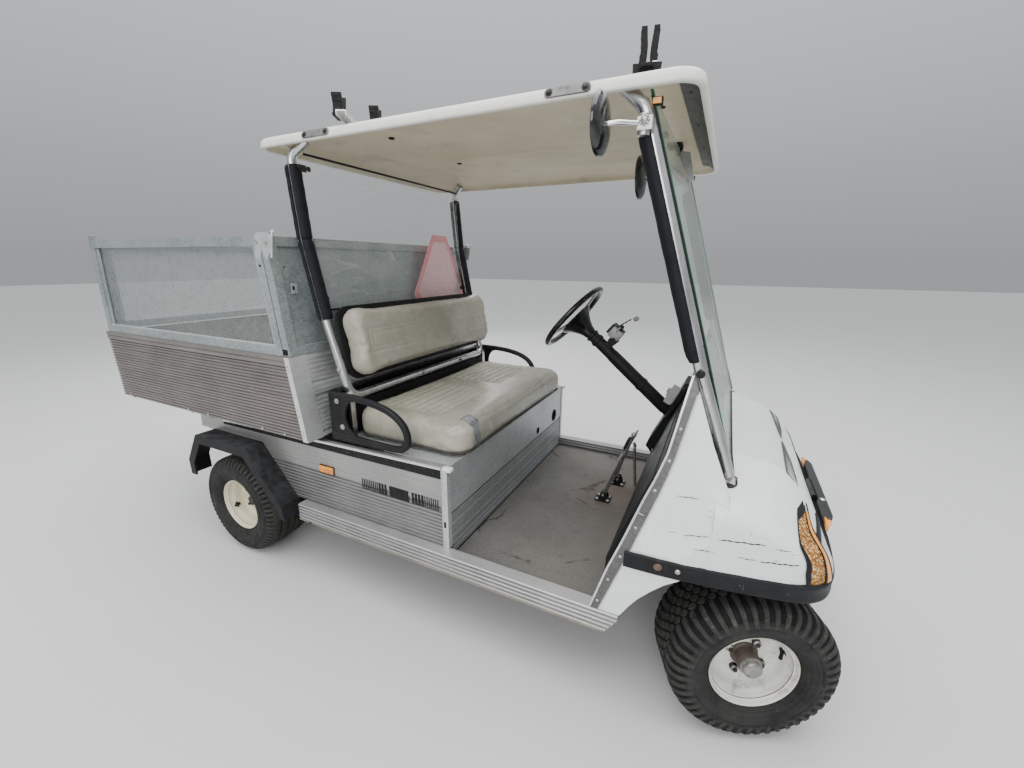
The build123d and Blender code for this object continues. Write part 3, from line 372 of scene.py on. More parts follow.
dx = m.math("SUBTRACT", x, 0.76)
dy = m.math("SUBTRACT", y, 0.10)
rr = m.math("SQRT", m.math("ADD", m.math("MULTIPLY", dx, dx), m.math("MULTIPLY", m.math("MULTIPLY", dy, dy), 0.5)))
near = m.math("SUBTRACT", 1.0, m.math("MULTIPLY", rr, 5.2), clamp=True)
rust = m.math("MULTIPLY", near, m.ramp(m.noise(75, 8, 0.75), [(0.5, 0), (0.58, 1)]))
m.color(m.mix(rust, a, (0.26, 0.13, 0.075))).rough(m.ramp(m.noise(12, 6), [(0.3, 0.6), (0.7, 0.85)]))
m.bump(m.noise(240, 8, 0.75), 0.5, 0.0012)
keep(m)

# seat cover: pale worn vinyl with grey-brown patches and fine grain
m = Mat("seat_vinyl")
a = m.mix(m.ramp(m.noise(4.0, 7, 0.6, dist=0.4), [(0.32, 0), (0.68, 1)]), (0.27, 0.258, 0.20), (0.44, 0.425, 0.35))
a = m.mix(m.ramp(m.noise(9, 8, 0.7, m.scaled(1, 1, 1, loc=(2, 5, 1)), dist=0.5), [(0.55, 0), (0.8, 0.65)]), a, (0.19, 0.175, 0.14))
x, y, z = m.sep()[:3]
dy = m.math("SUBTRACT", y, -0.03)
dz = m.math("SUBTRACT", z, 1.00)
d2 = m.math("ADD", m.math("MULTIPLY", m.math("MULTIPLY", dy, dy), 55.0), m.math("MULTIPLY", m.math("MULTIPLY", dz, dz), 60.0))
stain = m.math("MULTIPLY", m.math("SUBTRACT", 1.0, d2, clamp=True), m.ramp(m.noise(9, 5), [(0.35, 0.4), (0.7, 1.0)]))
a = m.mix(m.math("MULTIPLY", stain, 0.55), a, (0.225, 0.195, 0.15))
m.color(a).rough(m.ramp(m.noise(7, 6, 0.6), [(0.3, 0.2), (0.7, 0.4)]))
g = m.math("ADD", m.math("MULTIPLY", m.voronoi(520.0), 0.35), m.noise(24, 6, 0.6))
m.bump(g, 0.28, 0.0012)
m.set(Sheen_Weight=0.05)
keep(m)

# tyres: side wall, tread ground painted near black as the shade in its grooves, worn tread faces
keep(simple("tyre_groove_shade", (0.003, 0.003, 0.003), (0.008, 0.008, 0.008), (0.7, 0.9), 0.0, 30, 300, 0.4, 0.0008, dirt=(0.03, 0.028, 0.025), dirt_at=(0.62, 0.8), dirt_scale=50))
keep(simple("tyre_worn", (0.016, 0.0155, 0.0145), (0.042, 0.040, 0.036), (0.5, 0.75), 0.0, 34, 300, 0.5, 0.0008, dirt=(0.11, 0.103, 0.088), dirt_at=(0.56, 0.78), dirt_scale=60))
m = Mat("tyre_black")
a = m.mix(m.ramp(m.noise(12, 8, 0.7), [(0.35, 0), (0.7, 1)]), (0.012, 0.012, 0.012), (0.035, 0.034, 0.032))
a = m.mix(m.ramp(m.noise(40, 8, 0.75), [(0.6, 0), (0.78, 0.45)]), a, (0.10, 0.093, 0.082))
m.color(a).rough(m.ramp(m.noise(30, 5), [(0.3, 0.55), (0.7, 0.8)])).bump(m.noise(300, 5, 0.7), 0.3, 0.0008)
keep(m)

keep(simple("rim_white", (0.60, 0.59, 0.55), (0.76, 0.76, 0.73), (0.32, 0.5), 0.0, 16, 300, 0.15, dirt=(0.29, 0.235, 0.17), dirt_at=(0.53, 0.72), dirt_scale=21))
keep(simple("rim_cream", (0.66, 0.60, 0.44), (0.76, 0.71, 0.56), (0.35, 0.55), 0.0, 16, 300, 0.15, dirt=(0.40, 0.33, 0.20), dirt_at=(0.6, 0.8), dirt_scale=15))

m = Mat("lens_amber")
cells = m.voronoi(130.0, feature="SMOOTH_F1")
a = m.mix(m.ramp(cells, [(0.1, 0), (0.6, 1)]), (0.95, 0.36, 0.02), (0.60, 0.14, 0.005))
m.color(m.mix(m.ramp(m.noise(30, 5), [(0.55, 0), (0.75, 0.4)]), a, (0.98, 0.56, 0.10))).rough(0.16).bump(cells, 0.8, 0.003)
m.set(Coat_Weight=0.6)
keep(m)
m = Mat("lens_gold")
cells = m.voronoi(170.0, feature="F1")
a = m.mix(m.ramp(cells, [(0.15, 0), (0.55, 1)]), (0.95, 0.70, 0.34), (0.40, 0.15, 0.02))
m.color(m.mix(m.ramp(m.noise(90, 6, 0.7), [(0.5, 0), (0.62, 0.8)]), a, (0.10, 0.045, 0.01))).rough(0.14).metal(0.35).bump(cells, 1.0, 0.004)
keep(m)
m = Mat("lens_orange")
ribs = m.wave(120.0, "X", 0.0)
m.color(m.mix(m.ramp(ribs, [(0.2, 0), (0.8, 1)]), (0.86, 0.25, 0.01), (0.98, 0.42, 0.03))).rough(0.2).bump(ribs, 0.4, 0.001)
m.set(Coat_Weight=0.5)
keep(m)

keep(simple("lip_shade_olive", (0.060, 0.059, 0.050), (0.105, 0.102, 0.09), (0.45, 0.6), 0.3, 20, 300, 0.2, dirt=(0.10, 0.09, 0.08), dirt_at=(0.55, 0.8), dirt_scale=24))
keep(simple("strap_grey", (0.15, 0.15, 0.145), (0.25, 0.25, 0.24), (0.4, 0.6), 0.5, 30, 300, 0.3, dirt=(0.05, 0.045, 0.04), dirt_at=(0.5, 0.75), dirt_scale=40))
keep(simple("bolt_dark", (0.03, 0.028, 0.026), (0.075, 0.068, 0.06), (0.4, 0.6), 0.6, 60, 400, 0.3, dirt=(0.14, 0.10, 0.07), dirt_at=(0.6, 0.8), dirt_scale=60))
keep(simple("galvanised_mesh", (0.34, 0.37, 0.37), (0.50, 0.53, 0.525), (0.4, 0.55), 0.5, 30, 500, 0.2, dirt=(0.22, 0.21, 0.19), dirt_at=(0.55, 0.8), dirt_scale=40))
keep(simple("rubber_black", (0.006, 0.006, 0.007), (0.014, 0.014, 0.015), (0.4, 0.6), 0.0, 26, 500, 0.3, dirt=(0.09, 0.088, 0.085), dirt_at=(0.6, 0.8), dirt_scale=40))
keep(simple("black_gloss", (0.005, 0.005, 0.006), (0.012, 0.012, 0.013), (0.12, 0.3), 0.0, 26, 300, 0.1, dirt=(0.05, 0.05, 0.05), dirt_at=(0.62, 0.85), dirt_scale=30))
keep(simple("grille_grey", (0.055, 0.056, 0.06), (0.105, 0.107, 0.11), (0.5, 0.7), 0.0, 40, 500, 0.3, dirt=(0.20, 0.20, 0.19), dirt_at=(0.6, 0.8), dirt_scale=60))
keep(simple("bumper_scuffed", (0.045, 0.047, 0.05), (0.15, 0.155, 0.16), (0.5, 0.7), 0.0, 34, 260, 0.4, 0.0008))
keep(simple("rubber_grey", (0.20, 0.20, 0.195), (0.32, 0.32, 0.31), (0.5, 0.7), 0.0, 24, 400, 0.3, dirt=(0.07, 0.07, 0.07), dirt_at=(0.55, 0.8), dirt_scale=30))
keep(simple("vinyl_piping", (0.02, 0.019, 0.018), (0.06, 0.056, 0.05), (0.35, 0.55), 0.0, 30, 500, 0.3, dirt=(0.16, 0.145, 0.11), dirt_at=(0.6, 0.8), dirt_scale=30))
keep(simple("lens_red", (0.30, 0.012, 0.010), (0.48, 0.03, 0.02), (0.1, 0.22), 0.0, 60, 200, 0.3))
keep(simple("cap_white", (0.70, 0.71, 0.70), (0.84, 0.85, 0.84), (0.3, 0.45), 0.0, 14, 200, 0.1, dirt=(0.45, 0.42, 0.36), dirt_at=(0.58, 0.8), dirt_scale=26))
keep(simple("edge_bright", (0.66, 0.67, 0.67), (0.86, 0.86, 0.855), (0.22, 0.4), 0.8, 26, 300, 0.1, dirt=(0.34, 0.32, 0.30), dirt_at=(0.6, 0.82), dirt_scale=30))

m = Mat("lens_clear")
ribs = m.wave(90.0, "Y", 0.4)
m.color(m.mix(m.ramp(ribs, [(0.2, 0), (0.8, 1)]), (0.44, 0.46, 0.48), (0.80, 0.82, 0.84))).metal(0.35).rough(0.12).bump(ribs, 0.5, 0.0015)
m.set(Coat_Weight=0.7)
keep(m)

# clear screens
m = Mat("clear_screen")
haze = m.ramp(m.noise(1.0, 8, 0.72, m.scaled(3, 3, 9, rot=(0.5, 0, 0))), [(0.35, 0.03), (0.7, 0.13)])
line = m.ramp(m.voronoi(1.0, m.scaled(5, 5, 30, rot=(0.5, 0, 0)), feature="DISTANCE_TO_EDGE"), [(0.0, 0.22), (0.012, 0.0)])
m.color((0.80, 0.83, 0.86)).rough(0.08)
m.l(m.math("ADD", haze, line), m.p.inputs["Alpha"])
m.bump(m.noise(5, 4), 0.08, 0.002)
keep(m)
m = Mat("glass_green")
sp = m.ramp(m.noise(190, 8, 0.85), [(0.44, 0.28), (0.58, 0.74)])
m.color(m.mix(m.ramp(m.noise(230, 6, 0.8), [(0.42, 0), (0.58, 1)]), (0.20, 0.29, 0.235), (0.58, 0.63, 0.58))).rough(0.12)
m.l(sp, m.p.inputs["Alpha"])
m.bump(m.noise(220, 5), 0.2, 0.0006)
keep(m)
m = Mat("glass_edge")
m.color(m.mix(m.noise(20, 3), (0.01, 0.10, 0.045), (0.03, 0.18, 0.09))).rough(0.1)
keep(m)

m = Mat("mirror_black")
m.color(m.mix(m.ramp(m.noise(60, 7, 0.7), [(0.55, 0), (0.75, 1)]), (0.008, 0.008, 0.009), (0.05, 0.05, 0.05)))
m.rough(m.ramp(m.noise(20, 5), [(0.3, 0.08), (0.75, 0.3)])).set(Coat_Weight=0.5)
m.bump(m.noise(8, 3), 0.05, 0.002)
keep(m)
m = Mat("mirror_glass")
m.color(m.mix(m.noise(30, 6), (0.62, 0.64, 0.66), (0.80, 0.82, 0.84))).metal(1.0).rough(m.ramp(m.noise(25, 6), [(0.4, 0.04), (0.8, 0.2)]))
keep(m)


# matt black pieces throw back little of the bright room
for n_ in ("frame_black", "black_plastic", "pad_black", "clip_black", "battery_case", "rubber_black", "stripe_black", "recess_shade",
           "bumper_black", "fender_black", "tyre_black", "tyre_groove_shade", "tyre_worn", "vinyl_piping", "bolt_dark"):
    for nd_ in MT[n_].node_tree.nodes:
        if nd_.type == "BSDF_PRINCIPLED":
            nd_.inputs["Specular IOR Level"].default_value = 0.24


def dress(node, mat):
    o = NODE[node]
    o.data.materials.clear()
    o.data.materials.append(MT[mat])


for node, mat in {
    "front_rails": "frame_black", "rear_rails": "frame_black", "floor_bearers": "frame_black",
    "seat_deck": "galvanised_light", "floor_mat": "floor_rubber", "floor_plate": "frame_black",
    "rocker_sills": "aluminium_sill", "side_panels": "aluminium_panel", "seat_front_panel": "seat_panel",
    "battery_pack": "battery_case", "seat_cushion": "seat_vinyl", "backrest_cushion": "seat_vinyl",
    "backrest_shell": "black_plastic", "hip_restraints": "frame_black", "rear_canopy_frame": "tube_silver",
    "front_canopy_frame": "tube_silver", "strut_pads": "pad_black", "canopy_roof": "canopy_white",
    "roof_fittings": "clip_black", "rear_screen": "clear_screen", "windshield": "glass_green",
    "front_cowl": "cowl_white", "cowl_trim": "trim_grey", "dashboard": "black_plastic",
    "steering_column": "frame_black", "steering_wheel": "black_plastic", "pedals": "pedal_steel",
    "front_bumper": "bumper_black", "lamps": "lens_orange", "mirrors": "mirror_black", "rear_sign": "sign_pink",
    "rear_fenders": "fender_black", "rear_axle": "axle_steel", "front_axle": "axle_steel", "leaf_springs": "axle_steel",
    "knuckle_left": "axle_steel", "knuckle_right": "axle_steel", "tie_rod": "axle_steel",
    "wheel_front_left": "rim_white", "wheel_front_right": "rim_white", "wheel_rear_left": "rim_cream",
    "wheel_rear_right": "rim_cream", "tyre_front_left": "tyre_black", "tyre_front_right": "tyre_black",
    "tyre_rear_left": "tyre_black", "tyre_rear_right": "tyre_black", "bed_floor": "aluminium_bed",
    "bed_sides": "aluminium_bed", "bed_front_wall": "aluminium_bright", "cage_sides": "galvanised",
    "cage_front": "galvanised", "tailgate": "aluminium_bed", "cage_gate": "galvanised",
}.items():
    dress(node, mat)

# ======================================================================
# building helpers: points in millimetres from the rear axle
# ======================================================================
def V(*p):
    return Vector(p)


def basis(d, up=(0, 0, 1)):
    d = Vector(d).normalized()
    up = Vector(up)
    if abs(d.dot(up.normalized())) > 0.98:
        up = Vector((1, 0, 0))
    s = d.cross(up).normalized()
    return s, s.cross(d).normalized(), d


def lerp(a, b, t):
    return a + (b - a) * t


def table_at(rows, x):
    """linear interpolation in rows of (x, value, value...)"""
    if x <= rows[0][0]:
        return rows[0][1:]
    for p, q in zip(rows, rows[1:]):
        if x <= q[0]:
            t = (x - p[0]) / (q[0] - p[0])
            return tuple(lerp(a, b, t) for a, b in zip(p[1:], q[1:]))
    return rows[-1][1:]


def smooth_at(rows, x):
    """like table_at, but rounded with Catmull-Rom tangents"""
    n = len(rows)
    if x <= rows[0][0]:
        return rows[0][1:]
    if x >= rows[-1][0]:
        return rows[-1][1:]
    i = max(k for k in range(n - 1) if rows[k][0] <= x)
    p, q = rows[i], rows[i + 1]
    h = q[0] - p[0]
    t = (x - p[0]) / h
    out = []
    for c in range(1, len(p)):
        sec = (q[c] - p[c]) / h
        m0 = sec if i == 0 else 0.5 * (sec + (p[c] - rows[i - 1][c]) / (p[0] - rows[i - 1][0]))
        m1 = sec if i + 2 >= n else 0.5 * (sec + (rows[i + 2][c] - q[c]) / (rows[i + 2][0] - q[0]))
        a = 2 * t ** 3 - 3 * t ** 2 + 1
        b = t ** 3 - 2 * t ** 2 + t
        d = -2 * t ** 3 + 3 * t ** 2
        e = t ** 3 - t ** 2
        out.append(a * p[c] + b * h * m0 + d * q[c] + e * h * m1)
    return tuple(out)


def rrect(hx, hy, r, n=8):
    """points round a rectangle with rounded corners, centred on zero"""
    pts = []
    for cx, cy, a0 in ((hx - r, hy - r, 0), (-hx + r, hy - r, 90), (-hx + r, -hy + r, 180), (hx - r, -hy + r, 270)):
        for k in range(n + 1):
            a = math.radians(a0 + 90 * k / n)
            pts.append((cx + r * math.cos(a), cy + r * math.sin(a)))
    return pts


class Build:
    """collects faces of several materials into one mesh"""

    def __init__(self):
        self.v, self.f, self.mi, self.mats = [], [], [], []
        self.place = None

    def add(self, verts, faces, mat):
        if mat not in self.mats:
            self.mats.append(mat)
        i = self.mats.index(mat)
        b = len(self.v)
        if self.place is None:
            self.v += [Vector(p) for p in verts]
        else:
            self.v += [self.place @ Vector(p) for p in verts]
        for f in faces:
            self.f.append(tuple(b + k for k in f))
            self.mi.append(i)
        return self

    def loops(self, rings, mat, closed=True, cap0=False, cap1=False, wrap=False):
        n, r = len(rings[0]), len(rings)
        faces = []
        for i in range(r if wrap else r - 1):
            a, b = i * n, ((i + 1) % r) * n
            for j in range(n if closed else n - 1):
                k = (j + 1) % n
                faces.append((a + j, a + k, b + k, b + j))
        if cap0:
            faces.append(tuple(reversed(range(n))))
        if cap1:
            faces.append(tuple(range((r - 1) * n, r * n)))
        return self.add([p for ring in rings for p in ring], faces, mat)

    def box(self, c, size, mat, ex=(1, 0, 0), ey=(0, 1, 0)):
        c, ex, ey = Vector(c), Vector(ex).normalized(), Vector(ey).normalized()
        ez = ex.cross(ey)
        x, y, z = (0.5 * s for s in size)
        v = [c + ex * (x * a) + ey * (y * b) + ez * (z * d) for d in (-1, 1) for a, b in ((-1, -1), (1, -1), (1, 1), (-1, 1))]
        return self.add(v, [(3, 2, 1, 0), (4, 5, 6, 7), (0, 1, 5, 4), (1, 2, 6, 5), (2, 3, 7, 6), (3, 0, 4, 7)], mat)

    def span(self, x0, x1, y0, y1, z0, z1, mat):
        return self.box(((x0 + x1) / 2, (y0 + y1) / 2, (z0 + z1) / 2), (abs(x1 - x0), abs(y1 - y0), abs(z1 - z0)), mat)

    def prism(self, outline, origin, ex, ey, length, mat):
        """outline of (a, b) in the plane of ex and ey, pushed along ex x ey"""
        o, ex, ey = Vector(origin), Vector(ex).normalized(), Vector(ey).normalized()
        ez = ex.cross(ey)
        r0 = [o + ex * a + ey * b for a, b in outline]
        return self.loops([r0, [p + ez * length for p in r0]], mat, cap0=True, cap1=True)

    def side(self, outline, y0, y1, mat):
        """outline in X and Z from y0 to y1"""
        return self.loops([[V(x, y0, z) for x, z in outline], [V(x, y1, z) for x, z in outline]], mat, cap0=True, cap1=True)

    def tube(self, pts, r, mat, n=16, cap=True, closed=False):
        pts = [Vector(p) for p in pts]
        m = len(pts)
        rings, s = [], None
        for i, p in enumerate(pts):
            a = pts[(i - 1) % m] if (closed or i) else p
            b = pts[(i + 1) % m] if (closed or i < m - 1) else p
            d = (b - a).normalized()
            if s is None:
                s, u, _ = basis(d)
            else:
                s = (s - d * s.dot(d)).normalized()
                u = s.cross(d).normalized()
            rr = r[i] if isinstance(r, (list, tuple)) else r
            rings.append([p + s * (rr * math.cos(t)) + u * (rr * math.sin(t)) for t in (2 * math.pi * k / n for k in range(n))])
        return self.loops(rings, mat, cap0=cap and not closed, cap1=cap and not closed, wrap=closed)

    def rod(self, p, q, r, mat, n=20):
        return self.tube([p, q], r, mat, n)

    def lathe(self, prof, at, axis, mat, n=40, cap0=False, cap1=False, up=(0, 0, 1)):
        """profile of (radius, height) turned about axis through at"""
        s, u, d = basis(axis, up)
        at = Vector(at)
        rings = [[at + d * h + s * (r * math.cos(t)) + u * (r * math.sin(t)) for t in (2 * math.pi * k / n for k in range(n))] for r, h in prof]
        return self.loops(rings, mat, cap0=cap0, cap1=cap1)

    def dome(self, at, axis, r, h, mat, n=20, foot=0.0):
        """low round head: a bolt, rivet or cap"""
        prof = [(r, 0)] + ([(r, foot)] if foot else [])
        for k in range(1, 6):
            a = math.pi / 2 * k / 6
            prof.append((r * math.cos(a), foot + (h - foot) * math.sin(a)))
        prof.append((r * 0.05, h))
        return self.lathe(prof, at, axis, mat, n, cap0=True, cap1=True)

    def hexbolt(self, at, axis, r, h, mat, washer=True):
        s, u, d = basis(axis)
        at = Vector(at)
        if washer:
            self.lathe([(r * 1.5, 0), (r * 1.5, h * 0.2), (r * 0.5, h * 0.22)], at, axis, mat, 20, cap0=True, cap1=True)
        ring = [at + s * (r * math.cos(t)) + u * (r * math.sin(t)) for t in (math.pi / 3 * k + 0.3 for k in range(6))]
        self.loops([ring, [p + d * (h * 0.9) for p in ring], [lerp(p, at, 0.14) + d * h for p in ring]], mat, cap0=True, cap1=True)
        return self

    def done(self, name, body="root", replaces=(), smooth=34, bevel=0.0, segments=2, fix=True):
        me = bpy.data.meshes.new(name)
        me.from_pydata([M(*p) for p in self.v], [], self.f)
        for mat in self.mats:
            me.materials.append(MT[mat])
        me.polygons.foreach_set("material_index", self.mi)
        if fix:
            bm = bmesh.new()
            bm.from_mesh(me)
            bmesh.ops.recalc_face_normals(bm, faces=bm.faces)
            bm.to_mesh(me)
            bm.free()
        me.polygons.foreach_set("use_smooth", [True] * len(me.polygons))
        me.set_sharp_from_angle(angle=math.radians(smooth))
        me.update()
        o = bpy.data.objects.new(name, me)
        bpy.context.scene.collection.objects.link(o)
        if bevel:
            b = o.modifiers.new("edge", "BEVEL")
            b.width = bevel / 1000
            b.segments = segments
            b.limit_method = "ANGLE"
            b.angle_limit = math.radians(38)
            b.use_clamp_overlap = True
        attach(o, body)
        if replaces:
            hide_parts(*replaces)
        return o


def soften(node, width=1.0, segments=2, angle=35):
    """bevelled edges on a CAD piece that stays"""
    o = NODE[node]
    w = o.modifiers.new("weld", "WELD")
    w.merge_threshold = 0.00002
    b = o.modifiers.new("edge", "BEVEL")
    b.width = width / 1000
    b.segments = segments
    b.limit_method = "ANGLE"
    b.angle_limit = math.radians(angle)
    b.use_clamp_overlap = True


for _n, _w in (("hip_restraints", 0.8), ("cowl_trim", 0.8), ("rear_fenders", 1.6), ("side_panels", 0.6), ("rocker_sills", 0.6),
               ("seat_front_panel", 0.6), ("cage_front", 1.0), ("bed_sides", 0.7), ("bed_front_wall", 0.5), ("tailgate", 0.7),
               ("dashboard", 3.0), ("front_rails", 1.2), ("rear_rails", 1.2), ("floor_bearers", 1.2), ("front_axle", 1.5),
               ("knuckle_left", 1.5), ("knuckle_right", 1.5), ("leaf_springs", 1.0), ("floor_mat", 1.2), ("steering_column", 1.2)):
    soften(_n, _w)

# ======================================================================
# canopy roof: rolled edge, crowned top, coved underside with a fold
# ======================================================================
RX, RHX, RHY, RZ = 1019.0, 697.0, 536.0, 1619.0


def roof_loop(d, z, n=10):
    r = max(60 - 0.55 * d, 16)
    return [V(RX + a, b, RZ + z) for a, b in rrect(RHX - d, RHY - d, r, n)]


b = Build()
top = [(420, 46.6), (260, 46.4), (150, 45.6), (90, 44.0), (62, 41.6), (44, 38.2), (30, 35.0), (18, 32.0), (10, 28.6), (5, 23.5), (2, 16),
       (0.4, 7), (0.3, 3.4), (1.4, 1.1), (3.6, 0.3), (14.0, 0.3), (16.0, 2.0)]
b.loops([roof_loop(d, z) for d, z in top], "canopy_white", cap0=True)
# underside as one height field inside the rolled edge
UNDER = [(15.8, 2.0), (18, 6.0), (24, 13.0), (34, 19.0), (56, 25.0), (90, 29.5), (130, 32.0), (170, 33.0), (700, 33.0)]


def under_height(x, y, d):
    z = table_at(UNDER, d)[0]
    if d > 40:
        k = min(1.0, (d - 40) / 60)
        # two panels meet in a fold along the middle; ends are hipped
        fold = math.exp(-(y / 13.0) ** 2)
        end = min(1.0, max(0.0, (x - 380) / 120)) * min(1.0, max(0.0, (1560 - x) / 140))
        z += k * end * (-5.5 * fold)
        z += k * 1.4 * math.sin(x / 130.0) * math.cos(y / 170.0)
        hip = abs(abs(y) - (x - 332) * 1.18)
        if x < 800 and abs(y) < 500:
            z -= k * 2.2 * math.exp(-(hip / 16.0) ** 2)
        for hx, hy in ((744, -332), (746, 80), (1594, -271)):
            rr = math.hypot(x - hx, y - hy)
            z += k * 3.5 * math.exp(-(rr / 46.0) ** 2)
    return min(z, 39.0)


nx, ny = 150, 116
hx, hy, rr0 = RHX - 15.8, RHY - 15.8, max(60 - 0.55 * 15.8, 16)
grid = []
for i in range(nx + 1):
    for j in range(ny + 1):
        x, y = -hx + 2 * hx * i / nx, -hy + 2 * hy * j / ny
        ax, ay = abs(x), abs(y)
        if ax > hx - rr0 and ay > hy - rr0:
            ox, oy = ax - (hx - rr0), ay - (hy - rr0)
            q = math.hypot(ox, oy)
            if q > rr0:
                ox, oy = ox * rr0 / q, oy * rr0 / q
                q = rr0
            ax, ay = hx - rr0 + ox, hy - rr0 + oy
            d = rr0 - q
            x, y = math.copysign(ax, x), math.copysign(ay, y)
        else:
            d = min(hx - ax, hy - ay)
        d += 15.8
        grid.append(V(RX + x, y, RZ + under_height(RX + x, y, d)))
faces = []
for i in range(nx):
    for j in range(ny):
        a = i * (ny + 1) + j
        faces.append((a, a + 1, a + ny + 2, a + ny + 1))
b.add(grid, faces, "canopy_under")
b.done("roof_shell", replaces=("canopy_roof",), smooth=50)

# details on the roof: dark strip under the front rim with the lip's shade painted in, screws, holes with painted shade
# inside, straps
b = Build()
zc = RZ + 22
# dark olive strip on the cove: the lip's inner face with its shade painted in
cove = [(1700.2, 2.6), (1698.4, 5.4), (1691.6, 12.6), (1681.6, 18.2), (1670, 21.2), (1656, 23.4)]
b.loops([[V(x, s_ * (462 - 0.10 * (1700 - x)), RZ + z - dz) for x, z in cove] for s_, dz in ((-1, 1.3), (1, 1.3))], "lip_shade_olive", closed=False)
for y in (-400, -130, 140, 410):
    b.dome((1676, y, RZ + 18.2), (-0.3, 0, -1), 4.5, 2.6, "bolt_dark", 12)
for x, y in ((744, -332), (746, 80), (1594, -271)):
    # near-black cup: painted shade inside the hole
    b.lathe([(2, -1.5), (9, -1.5), (10, 0), (10, 4)], (x, y, RZ + 35.6 - 2.0), (0, 0, 1), "recess_shade", 14, cap0=True)
for x in (1063, 1144, 1222, 1302):
    b.dome((x, -468, RZ + 27.2), (0, 0, -1), 7, 3.2, "canopy_under", 12)
    b.box((x + 12, -462, RZ + 26.6), (22, 9, 3.0), "canopy_under", ex=(1, 0.35, 0), ey=(-0.35, 1, 0))
b.box((430, -500, RZ + 6), (34, 20, 6), "canopy_under")
b.dome((392, -494, RZ + 19), (0, 0, -1), 9, 4, "bolt_rusty", 14)
# black bracket under the roof's front with a grey triangular plate
b.box((1589, 113, RZ + 26), (46, 60, 14), "clip_black")
b.box((1600, 128, RZ + 12), (18, 30, 26), "clip_black", ex=(1, 0, -0.2), ey=(0, 1, 0))
b.prism([(0, 0), (46, -10), (70, -104), (58, -112)], (1592, 122, RZ + 14), (1, 0, 0), (0, 0.25, 1), 3, "grey_plastic")
b.done("roof_fixings", bevel=0.8)

b = Build()
for s in (1, -1):
    for xa, xb in ((563, 677), (1371, 1481)):
        c = (xa + xb) / 2
        n = V(0, s * 1.0, 0.30).normalized()
        ex = V(1, 0, 0)
        ey = n.cross(ex).normalized()
        at = V(c, s * 534.2, RZ + 15.5)
        out = [(p, q) for p, q in rrect((xb - xa) / 2, 10.5, 9, 6)]
        b.prism(out, at - n * 0.5, ex, ey, 4.2 if ex.cross(ey).dot(n) > 0 else -4.2, "strap_grey")
        for k in (-1, 1):
            bc = at + ex * (k * ((xb - xa) / 2 - 12))
            b.lathe([(8.6, 3.2), (8.6, 5.0), (7.4, 5.4)], bc, n, "bolt_dark", 20, cap1=True)
            b.hexbolt(bc + n * 5.0, n, 5.2, 3.8, "bolt_dark", washer=False)


# tool clips: a base and two curved jaws, on slotted bars
def tool_clip(at, ex, height, gap, width, thick=8.5):
    """ex runs along the clip's width (the tool's axis); jaws open upwards"""
    ex = Vector(ex).normalized()
    ez = Vector((0, 0, 1))
    ey = ez.cross(ex).normalized()
    at = Vector(at)
    for s in (1, -1):
        inner, outer = [], []
        for k in range(15):
            t = k / 14
            z = 6 + (height - 6) * t
            w = gap / 2 * (1.0 - 0.42 * math.sin(math.pi * min(1, t * 1.25)) ** 2 + 0.30 * max(0, t - 0.72) / 0.28)
            inner.append((s * w, z))
            outer.append((s * (w + thick - 2.5 * t + (1.6 if k % 3 == 0 else 0)), z))
        ring = inner + list(reversed(outer))
        b.prism(ring, at - ex * (width / 2), ey, ez, width, "clip_black")
    b.box(at + ez * 4, (width + 2, gap + 22, 9), "clip_black", ex=ex, ey=ey)
    b.dome(at + ez * 8.5, ez, 5.5, 3.5, "bolt_rusty", 12)
    b.rod(at + ey * (gap / 2 + 4) + ez * 8, at - ey * (gap / 2 + 4) + ez * 8, 3.0, "clip_black", 8)


RT = 1666.0
c30, s30 = math.cos(math.radians(30)), math.sin(math.radians(30))
# rear bar: aluminium channel with slots
ex = V(-s30, c30, 0)
ey = V(-c30, -s30, 0)
mid = V(688, -455, RT + 16)
b.box(mid, (190, 30, 3), "aluminium_bright", ex=ex, ey=ey)
for k in (-1, 1):
    b.box(mid + ey * (k * 13.6) - V(0, 0, 6), (190, 2.6, 12), "aluminium_bright", ex=ex, ey=ey)
# slots as near-black inlays: painted shade in the openings
for k in range(-3, 4):
    b.box(mid + ex * (k * 25) + V(0, 0, 1.3), (14, 7, 1.2), "recess_shade", ex=ex, ey=ey)
b.box((706, -425, RT + 5), (26, 26, 14), "clip_black")
tool_clip((674, -480, RT + 17), ey, 62, 32, 30)
tool_clip((738, -395, RT + 6), ey, 54, 28, 30)
b.box((738, -395, RT + 3), (26, 26, 7), "clip_black")
ex2 = V(math.cos(math.radians(12)), math.sin(math.radians(12)), 0)
ey2 = V(-math.sin(math.radians(12)), math.cos(math.radians(12)), 0)
b.box((1578, -430, RT + 19), (62, 70, 5), "clip_black", ex=ex2, ey=ey2)
b.box((1578, -430, RT + 8), (30, 40, 18), "clip_black", ex=ex2, ey=ey2)
b.box((1600, -455, RT + 22.4), (12, 16, 2), "aluminium_bright", ex=ex2, ey=ey2)
b.box((1556, -408, RT + 22.4), (12, 16, 2), "aluminium_bright", ex=ex2, ey=ey2)
tool_clip((1580, -430, RT + 20), ey2, 78, 11, 36, 15.0)
b.done("roof_clips_and_straps", replaces=("roof_fittings",), bevel=0.7)

# ======================================================================
# load bed cage
# ======================================================================
CZ0, CZ1, CB = 938.3, 1340.0, 32.0
CF0, CR0, CF1, CR1, CHW = 480.0, -766.0, 432.0, -748.0, 619.0


